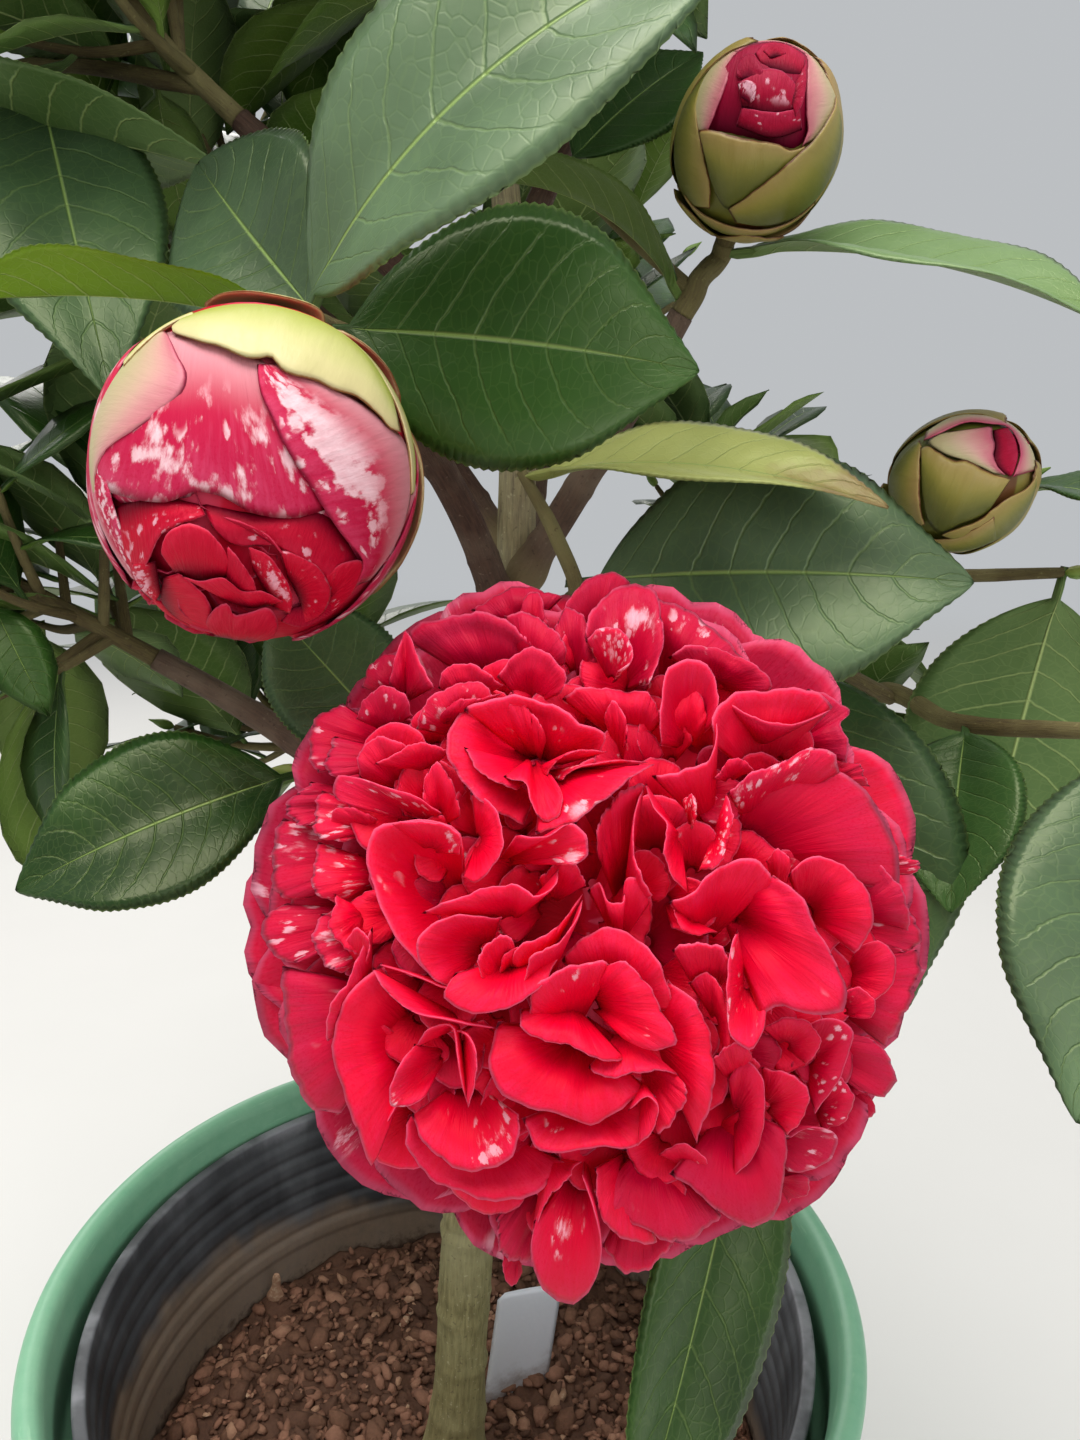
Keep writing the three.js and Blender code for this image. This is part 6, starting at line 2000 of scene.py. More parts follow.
    centre_low: tuple = (
        (3, 2, 0.1, (77, 97), (66.5, 89, 70, 84, 76, 81.2, 81.5, 83, 85, 87, 87.5, 92, 89, 98)),
        (5, 1, (0.1, 0.9, 0.75, 0.2, 0.6), (69, 101), (59.5, 101, 60, 96, 64, 91.5, 70, 88.7, 75, 88.5,
          76.8, 90)),
        (6, 3.5, (0.05, 0.9, 0.8, 0.1, 0.35), (73, 97), (75, 89.5, 79, 88.8, 84, 92.5, 87.5, 98.5,
          89.3, 104.5, 85, 105.8, 79, 104)),
        (6, 1, 0, (68, 98), (57.8, 98.5, 59, 103, 64, 105.2, 70, 106.2, 74.5, 108, 79.8, 107.8)),
        (5, 1, 0, (79, 103), (72, 109.5, 76, 111.8, 82, 110.5, 87, 109.8, 90.5, 110.8)),
        (5, 3, 0.1, (70, 104), (53, 101, 51.8, 109, 55, 115.5, 60, 118, 66, 119, 72.5, 121.5, 78, 118,
          82, 115, 85.7, 115)),
        (3, 1.5, (0.1, 0.9, 0.6, -0.6, 0.5), (72, 116), (58.5, 120, 62, 125.5, 68, 126, 75, 125, 82, 125,
          85.5, 120, 85.7, 115)),
        (6, 0, 0.2, (83, 113), (80, 118, 84, 115, 86, 116.5, 85.5, 121, 82, 124.5)),
        (4, 2.5, 0.1, (86, 104), (88, 92, 93, 96, 96.5, 101, 97.5, 108, 96.5, 116, 94, 124)),
        (4, 1, 0.1, (82, 108), (90, 110.5, 92, 115, 90, 119, 86, 122)),
        (6, 1, 0.5, (104, 92), (102.5, 81.5, 100.5, 88, 100, 96, 101, 103, 105, 105, 107.5, 101, 108, 97)),
        (5, 0, 0, (96, 96), (89, 86, 94, 84, 99, 85, 101, 90)),
        (4, 1, 0.1, (98, 100), (92, 92, 96, 90, 99.5, 95, 101, 103, 100, 108)),
        (3, 1, 0, (102, 112), (97, 108, 100, 104.5, 104, 105, 107, 108.5)),
        (3, 1.5, 0, (102, 118), (100, 111, 104, 107.5, 106.5, 110, 107.5, 118, 106, 125, 101, 130)),
        (2, 1.5, 0.1, (108, 116), (107, 108.5, 112, 110, 116.2, 112.5, 116, 117.5, 111.8, 121.5)),
        (3, 1, 0.2, (112, 104), (107, 101, 112, 99, 117, 99.5, 119, 103, 116, 108)),
        (4, 2, 0, (46, 101), (26.2, 90.5, 30, 96, 35, 99.5, 42, 100.8, 48, 101.8, 53, 102.5)),
        (3, -1, 0, (43, 94), (27, 90, 33, 91.5, 40, 94, 44, 96, 47, 99)),
        (4, -1.5, (0.1, 1.0, 0.95, 0.3, 0.5), (42, 108), (36, 106, 33, 111, 31.2, 115.5, 31.8, 118.5,
          35.5, 118.5, 39, 116)),
        (3, 1.5, 0, (45, 103), (36, 107, 39, 103, 43, 102, 45, 108, 46, 113, 47.5, 118)),
        (4, 1, 0, (46, 104), (43, 103, 47, 104, 49, 109, 48.8, 114, 47.5, 118)),
    )
    low: tuple = (
        (1, 3, 0.05, (36, 106), (28.5, 90, 22.5, 96, 18.8, 104.5, 19, 110, 22.5, 117.5, 25.5, 124,
          28.5, 130, 30, 124, 33, 118)),
        (2, 0, 0, (26, 100), (26.2, 83, 23.5, 88, 21, 94, 18, 100, 17.8, 106)),
        (2, 2.5, (0.35, 0.95, 0.75, 0.4, 0.6), (47, 114), (36, 120, 40, 126, 45, 130, 51, 130.8, 56, 128,
          58, 122, 57.5, 119)),
        (-1, 2, 0.1, (48, 120), (35.5, 120, 36, 127, 41, 133, 48, 135, 56, 135.5, 62, 134, 69, 129)),
        (3, 2, (0.1, 1.05, 0.5, -0.25, 0.5), (71, 128), (61.2, 140, 61.2, 147, 64, 152, 69, 154.8, 73, 152,
          75, 145, 73.5, 137, 71, 131)),
        (0, 1, 0.1, (64, 128), (61, 142, 64, 136, 68, 131, 71, 128)),
        (-3, 1, 0.2, (66, 126), (54, 139, 54.5, 144, 58, 147.5, 61, 147)),
        (-6, 0.5, 0, (58, 144), (55.5, 145, 55.8, 150, 57.5, 151.5, 59.5, 149)),
        (2, 1.5, 0.1, (80, 127), (73.5, 129, 74.5, 137, 79, 142, 85, 143, 86, 142.5)),
        (1, 2.5, 0.1, (85, 125), (76.2, 131, 77.8, 137, 83, 140.5, 89.5, 142, 95, 140.8, 99, 137.5)),
        (2, 3, 0.1, (101, 118), (88.5, 129.5, 94, 133.5, 99.5, 137.5, 105, 138.7, 109, 136.8, 110.8, 132,
          112, 124, 111.2, 120)),
        (-4, 2, 0.1, (82, 132), (75, 144, 80, 148, 85, 147.5, 89, 143)),
        (0, 1, 0.2, (92, 128), (86, 126, 90, 124, 95, 126, 98, 131)),
        (-1, 2.5, 0.3, (34, 98), (8, 91, 8, 100, 9.5, 108, 12.5, 115, 16.5, 120, 21.2, 120.5)),
        (-1, 1.0, 0.5, (30, 45), (17, 34.5, 12, 38, 9.8, 43, 11, 48, 13, 50)),
        (-2, 1.0, 0.6, (29, 55), (11, 52, 7, 56, 6.2, 59, 9, 61.5, 12, 61)),
        (-2, 1.0, 0.75, (29, 67), (6, 60, 3.8, 65, 3.5, 71, 6.5, 76.5, 12, 77)),
        (-2, 1.0, 0.5, (28, 80), (7, 78, 3, 81, 3.8, 86.5, 8.5, 90.5, 13.5, 89)),
        (0, 1.0, 0.7, (30, 71), (14, 65, 12.5, 71, 14, 76, 18, 78)),
        (0, 1.0, 0.8, (31, 83), (14.5, 80, 14, 87, 17, 91, 21, 91)),
        (1, 1, 0.3, (24, 80), (18, 76, 17, 82, 20, 87, 24, 88)),
        (0, 1.0, 0.7, (30, 60), (14, 54, 12, 59, 14, 64, 19, 65)),
        (0, 1.0, 0.5, (33, 47), (16, 42, 14, 47, 16, 51, 20, 52)),
        (2, 0, 0, (25, 92), (20, 86, 23, 83, 25.5, 85, 25, 90)),
        (-3, 1, 0.8, (124, 69), (135.5, 64.5, 137.5, 65.5, 140.2, 67.2, 139.5, 69, 138, 69.2)),
        (-3, 1.5, 0.5, (120, 79), (136, 76, 139, 79, 140.2, 83, 137, 85.2, 134, 84)),
        (-3, 1.5, 0.2, (118, 92), (135, 85.5, 139.2, 84.8, 140, 88, 137.5, 94, 135, 98.5, 132.5, 104.5)),
        (0, 1.5, 0.1, (125, 90), (127, 84, 132, 83, 134.5, 87, 133, 93, 128, 96)),
        (1, 1.5, 0.3, (124, 97), (123.5, 93.5, 127, 92.2, 129.8, 94.5, 129.5, 98, 125.5, 98.5)),
        (-2, 1.5, 0.2, (115, 103), (125.5, 101.5, 130, 103, 132.8, 107, 134, 111, 132, 113.5, 126, 112.5)),
        (-6, 0.5, 0.1, (124, 111), (125, 113, 129, 114, 129.2, 117, 127, 118.2)),
        (1, 1.5, 0.55, (116, 108), (116, 100, 121.5, 98.5, 125, 100.5, 124, 107, 120.5, 114, 117.5, 117.5)),
        (-1, 1.5, 0.6, (118, 116), (119, 112, 123, 110, 125, 113, 123, 119, 119, 121)),
        (-2, 1.5, 0.7, (106, 120), (112, 122.5, 117, 120, 121.8, 121.5, 120.5, 126, 116, 128.5,
          112, 128.5)),
        (-4, 1, 0.3, (110, 130), (111, 130, 115, 129, 116, 132, 112, 134.5)),
    )

    def __post_init__(self) -> None:
        """Finds the bloom's own directions and the plan on which its petals are drawn."""
        self.out = unit(vec(BLOOM_FACING))
        self.up, third = frame_at(self.out)
        self.right = -third
        self.centre = vec(BLOOM_CENTRE) + self.up * self.raised
        self.front = Front(tuple(self.centre), BLOOM_FACING, self.radius, self.height, self.middle,
                           self.square, self.reach)

    def around(self, turn: float) -> Array:
        """The way from the middle to a petal at an angle from the top."""
        return self.up * math.cos(turn) - self.right * math.sin(turn)

    def guard_petals(self, skin: Skin, rng: np.random.Generator) -> None:
        """The broad outer petals, row by row from the back."""
        for count, tilt, length, width, phase in self.guard_rows:
            for i in range(count):
                turn = (i / count) * math.tau + math.radians(phase) + rng.uniform(-0.1, 0.1)
                lean = math.radians(tilt + rng.uniform(-4, 4))
                way = self.out * math.cos(lean) + self.around(turn) * math.sin(lean)
                Petal(
                    self.centre - self.out * self.petal_base + way * length * 0.2, way, self.out,
                    length * 0.8 * rng.uniform(0.93, 1.02), width * rng.uniform(0.8, 1.0),
                    curl=rng.uniform(0.05, 0.4), cup=rng.uniform(0.2, 0.7), lip=rng.uniform(-0.6, 0.1),
                    ruffle=rng.uniform(1.2, 2.4), waves=rng.uniform(1.0, 2.4), phase=rng.uniform(0, math.tau),
                    # A high tone gives the guard petals the darker outer crimson, their own hue and partly
                    # painted shade.
                    round_end=0.42, notch=rng.uniform(0, 0.06), tone=rng.uniform(0.6, 1),
                    mark=max(0.0, rng.uniform(-0.8, 0.8)),
                ).draw(skin)

    def calyx(self, skin: Skin, rng: np.random.Generator) -> None:
        """The small scales that hold the petals, in rings behind them."""
        for ring, (count, length, width, phase) in enumerate(self.sepals):
            for i in range(count):
                around = self.around((i + phase) / count * math.tau)
                back = self.centre - self.out * (self.petal_base + 2.2 + 0.7 * ring)
                Petal(
                    back - around * 1.5, around * 0.99 - self.out * 0.12, self.out, length, width,
                    curl=0.2, cup=0.5, ruffle=0.2, round_end=0.4, tone=rng.uniform(0.2, 0.8),
                    rows=10, columns=11, slot=1,
                ).draw(skin)

    def filling(self, skin: Skin, rng: np.random.Generator) -> None:
        """Petals between and under the drawn ones, spread evenly over the dome by the golden turn."""
        for k in range(self.fillers):
            reach = self.fill_reach * math.sqrt((k + 0.5) / self.fillers)
            turn = k * GOLDEN_TURN
            foot = np.array(self.middle) + reach * np.array([math.cos(turn), math.sin(turn)])
            way = turn + rng.uniform(-1.0, 1.0)
            ahead, side = np.array([math.cos(way), math.sin(way)]), np.array([-math.sin(way), math.cos(way)])
            long, wide = rng.uniform(*self.fill_long), rng.uniform(*self.fill_wide)
            swing = np.linspace(-self.fill_swing, self.fill_swing, 9)[:, None]
            edge = foot + ahead * long * (0.4 + 0.6 * np.cos(swing)) + side * wide * np.sin(swing)
            lift, bulge, white = rng.uniform(-7, -2.5), rng.uniform(-1, 2), max(0.0, rng.uniform(-0.6, 0.5))
            drawn = (lift, bulge, white, foot, edge)
            self.front.draw(skin, rng, drawn, depth=9.0, wave=rng.uniform(0.7, 1.4),
                            tuck=2.0, tone=rng.uniform(0.2, 0.9), rows=12, columns=21)

    def heart(self, skin: Skin) -> None:
        """The closed dark body inside the petals: an ellipsoid, flatter along its axis."""
        turn = np.linspace(0.05, math.pi - 0.05, 24)
        line = self.centre - self.out * (self.core_back + self.core_height * np.cos(turn))[:, None]
        radius = self.core_radius * np.sin(turn)
        add_tube(skin, np.concatenate([line, radius[:, None]], 1), 32, blunt=0.0, mark=0.0)

    def build(self) -> list[bpy.types.Object]:
        """Makes the bloom's petals and its stalk.

        Returns:
            The three pieces.
        """
        rng = np.random.default_rng(self.seed)
        outer, inner, stalk = Skin(), Skin(), Skin()
        self.heart(outer)
        self.guard_petals(outer, rng)
        self.filling(outer, rng)
        for drawn in self.top + self.upper + self.centre_left + self.centre_low + self.low:
            edge = np.reshape(drawn[4], (-1, 2)).mean(axis=0)
            away = np.linalg.norm(edge - np.array(self.middle)) * self.square / self.radius
            # The tone grows with the distance from the middle, so outer petals take the darker outer crimson,
            # their own hue and partly painted shade.
            self.front.draw(inner, rng, drawn, self.depth, rng.uniform(0.8, 1.5), self.tuck,
                            min(0.98, max(0.02, away + rng.uniform(-0.15, 0.1))))
        self.calyx(stalk, rng)
        draw_stalk(stalk, "bloom", BLOOM_DEPTH * 1.8)
        return [outer.piece("outer_petals", [PETAL], "bloom", ["bloom"]),
                inner.piece("inner_petals", [PETAL], "bloom", ["bloom"]),
                stalk.piece("bloom_stalk", [TWIG_BARK, SMALL_SCALE], "bloom", ["bloom"])]


def draw_stalk(skin: Skin, name: str, reach: float, slot: int = 0) -> None:
    """Adds the short stalk of the bloom or a bud.

    Args:
        skin: Where it goes.
        name: Whose stalk it is.
        reach: How far its middle is from its back.
        slot: The place of its material.
    """
    at, along = stalk_foot(name)
    spots = ((0, 2.3), (BUD_STALK, 2.8), (BUD_STALK + reach * 0.3, 3.4))
    line = np.array([(*(at + along * far), radius) for far, radius in spots])
    add_tube(skin, smooth_line(line, 14), 14, tone=0.4, slot=slot)


# The buds


@dataclass
class Bud:
    """A fat bud: its skin, laps round its back, and on its front scales and petals that are drawn on a plan.

    A lap is (angle of its middle from the side that faces the front, half the angle it covers, where it
    begins and ends from the foot (0) to the tip (pi), how far its free edge stands off).
    """

    name: str
    shape: BudShape
    node: str
    slot: str
    scale_finish: Finish
    middle: tuple[float, float]
    square: float
    laps: tuple
    scales: tuple
    skins: tuple
    folds: tuple
    crumple: tuple
    seed: int
    closed_laps: tuple = ()
    petals: tuple = ()
    tip_finish: PetalFinish = SMALL_CRUMPLED

    def front(self) -> float:
        """The angle round the axis of the side that faces the front."""
        _, across, third = self.shape.axes()
        towards = vec(EYE) - vec(self.shape.centre)
        return math.atan2(float(third @ towards), float(across @ towards))

    def lap(self, skin: Skin, place: tuple, slot: int, rng: np.random.Generator, mark: float = 0.0) -> None:
        """Adds a scale or closed petal that follows the egg, rounded at its free edge.

        Args:
            skin: Where it goes.
            place: The five numbers of a lap.
            slot: The place of its material.
            rng: Where its small differences come from.
            mark: Its white share.
        """
        middle, span, low, high, lift = place
        rows, columns = 20, 23
        t = np.linspace(0, 1, rows)[:, None]
        u = np.linspace(-1, 1, columns)[None]
        wave, pull = rng.uniform(0, math.tau), rng.uniform(-0.25, 0.25)
        edge = 1 - 0.3 * np.abs(u - pull * 0.6) ** 2.2
        edge = edge + 0.018 * np.sin(6 * u + wave) + 0.01 * np.sin(17 * u + 2 * wave)
        turn = low + (high - low) * t * edge
        wide = span * (0.8 + 0.2 * np.sin(math.pi * t))
        off = 0.25 + lift * (0.25 + 0.75 * t**2) * (0.75 + pull * u) + 0.14 * np.sin(5 * u + 9 * t + wave)
        round_ = self.front() + middle + wide * u
        turn, round_ = np.broadcast_to(turn, (rows, columns)), np.broadcast_to(round_, (rows, columns))
        points = self.shape.skin_points(turn, round_, off)
        add_sheet(skin, points[:, ::-1], 0.25, 0.25, grid_uv(t, u), rng.uniform(0, 1), mark, (slot, slot))

    def tip_petals(self, skin: Skin, rng: np.random.Generator) -> None:
        """Small crumpled petals over the open tip, spread evenly by the golden turn."""
        count, low, lift = self.crumple
        for k in range(count):
            turn = math.acos(-1 + (1 + math.cos(low)) * (k + 0.5) / count)
            round_ = k * GOLDEN_TURN
            angles = np.array([turn - 0.12, min(turn + rng.uniform(0.1, 0.3), 3.05)])
            swing = np.array([round_, round_ + rng.uniform(-0.3, 0.3)])
            off = np.array([-0.34 * self.shape.radius, rng.uniform(0.3, 1.6) * lift])
            base, tip = self.shape.skin_points(angles, swing, off)
            Petal.between(
                base, tip, unit(tip - vec(self.shape.centre)), self.shape.radius * rng.uniform(0.34, 0.56),
                curl=rng.uniform(0.2, 1.3), cup=rng.uniform(0.8, 2.1), lip=rng.uniform(-0.4, 0.9),
                twist=rng.uniform(-0.7, 0.7), ruffle=self.shape.radius * 0.045, waves=rng.uniform(0.8, 2.2),
                phase=rng.uniform(0, math.tau), tone=rng.uniform(0, 1), mark=max(0.0, rng.uniform(-0.6, 0.8)),
                rows=12, columns=13,
            ).draw(skin)

    def body(self, skin: Skin, slot: int) -> None:
        """The closed egg inside everything."""
        turn = np.linspace(0.02, math.pi - 0.02, 40)
        line = self.shape.skin_points(turn, np.zeros(40), 0.0)
        axis, _, _ = self.shape.axes()
        high = ((line - vec(self.shape.centre)) @ axis)[:, None]
        radius = np.linalg.norm(line - vec(self.shape.centre) - axis * high, axis=1)
        spine = np.concatenate([vec(self.shape.centre) + axis * high, radius[:, None]], 1)
        add_tube(skin, spine, 40, tone=0.5, slot=slot, blunt=0.0, mark=0.0)

    def build(self) -> list[bpy.types.Object]:
        """Makes the bud.

        Returns:
            Its pieces: the petals, the scales with the stalk, and the tip.
        """
        rng = np.random.default_rng(self.seed)
        petals, scales, tip = Skin(), Skin(), Skin()
        front = Front(self.shape.centre, self.shape.tip, self.shape.radius * 1.03, self.shape.half * 1.02,
                      self.middle, self.square)
        self.body(petals, 1)
        for place in self.closed_laps:
            self.lap(petals, place, 0, rng, rng.uniform(0.75, 1.1))
        for place in self.laps:
            self.lap(scales, place, 0, rng)
        for drawn in self.petals:
            front.draw(petals, rng, drawn, depth=0.8, wave=0.3, tuck=0.3, tone=rng.uniform(0.3, 0.7))
        for drawn in self.skins:
            front.draw(scales, rng, drawn, depth=0.5, wave=0.3, tuck=0.2, tone=rng.uniform(0.3, 0.7), slot=2)
        for drawn in self.scales:
            front.draw(scales, rng, drawn, depth=0.9, wave=0.45, tuck=0.2, tone=rng.uniform(0.2, 0.8),
                       thick=0.25, columns=41)
        radius = self.shape.radius
        for drawn in self.folds:
            front.draw(tip, rng, drawn, depth=0.16 * radius, wave=0.018 * radius, tuck=0.02 * radius,
                       tone=rng.uniform(0.1, 0.8))
        self.tip_petals(tip, rng)
        draw_stalk(scales, self.node.removeprefix("bud_"), self.shape.half, 1)
        finishes = [BUD_PETAL, CRUMPLED] if self.closed_laps else [self.scale_finish] * 2
        return [
            petals.piece(f"{self.name}_petals", finishes, self.slot, [self.node]),
            scales.piece(f"{self.name}_scales", [self.scale_finish, TWIG_BARK, PALE_SKIN], self.slot,
                         [self.node]),
            tip.piece(f"{self.name}_tip", [self.tip_finish], self.slot, [self.node]),
        ]


def ring_of(count: int, start: float, span: float, low: float, high: float, lift: float) -> tuple:
    """Laps spread evenly round a bud, of one size."""
    return tuple((start + k * math.tau / count, span, low, high, lift) for k in range(count))


def small_laps(lifts: tuple[float, float, float], start: float) -> tuple:
    """The laps of a small bud: three tall ones at its sides and back, and a ring of five round its foot."""
    places = zip((1.95, -1.95, 3.1), (0.7, 0.7, 0.9), lifts)
    tall = tuple((middle, span, 0.7, 2.8, lift) for middle, span, lift in places)
    return tall + ring_of(5, start, 0.75, 0.1, 1.0, 1.4)


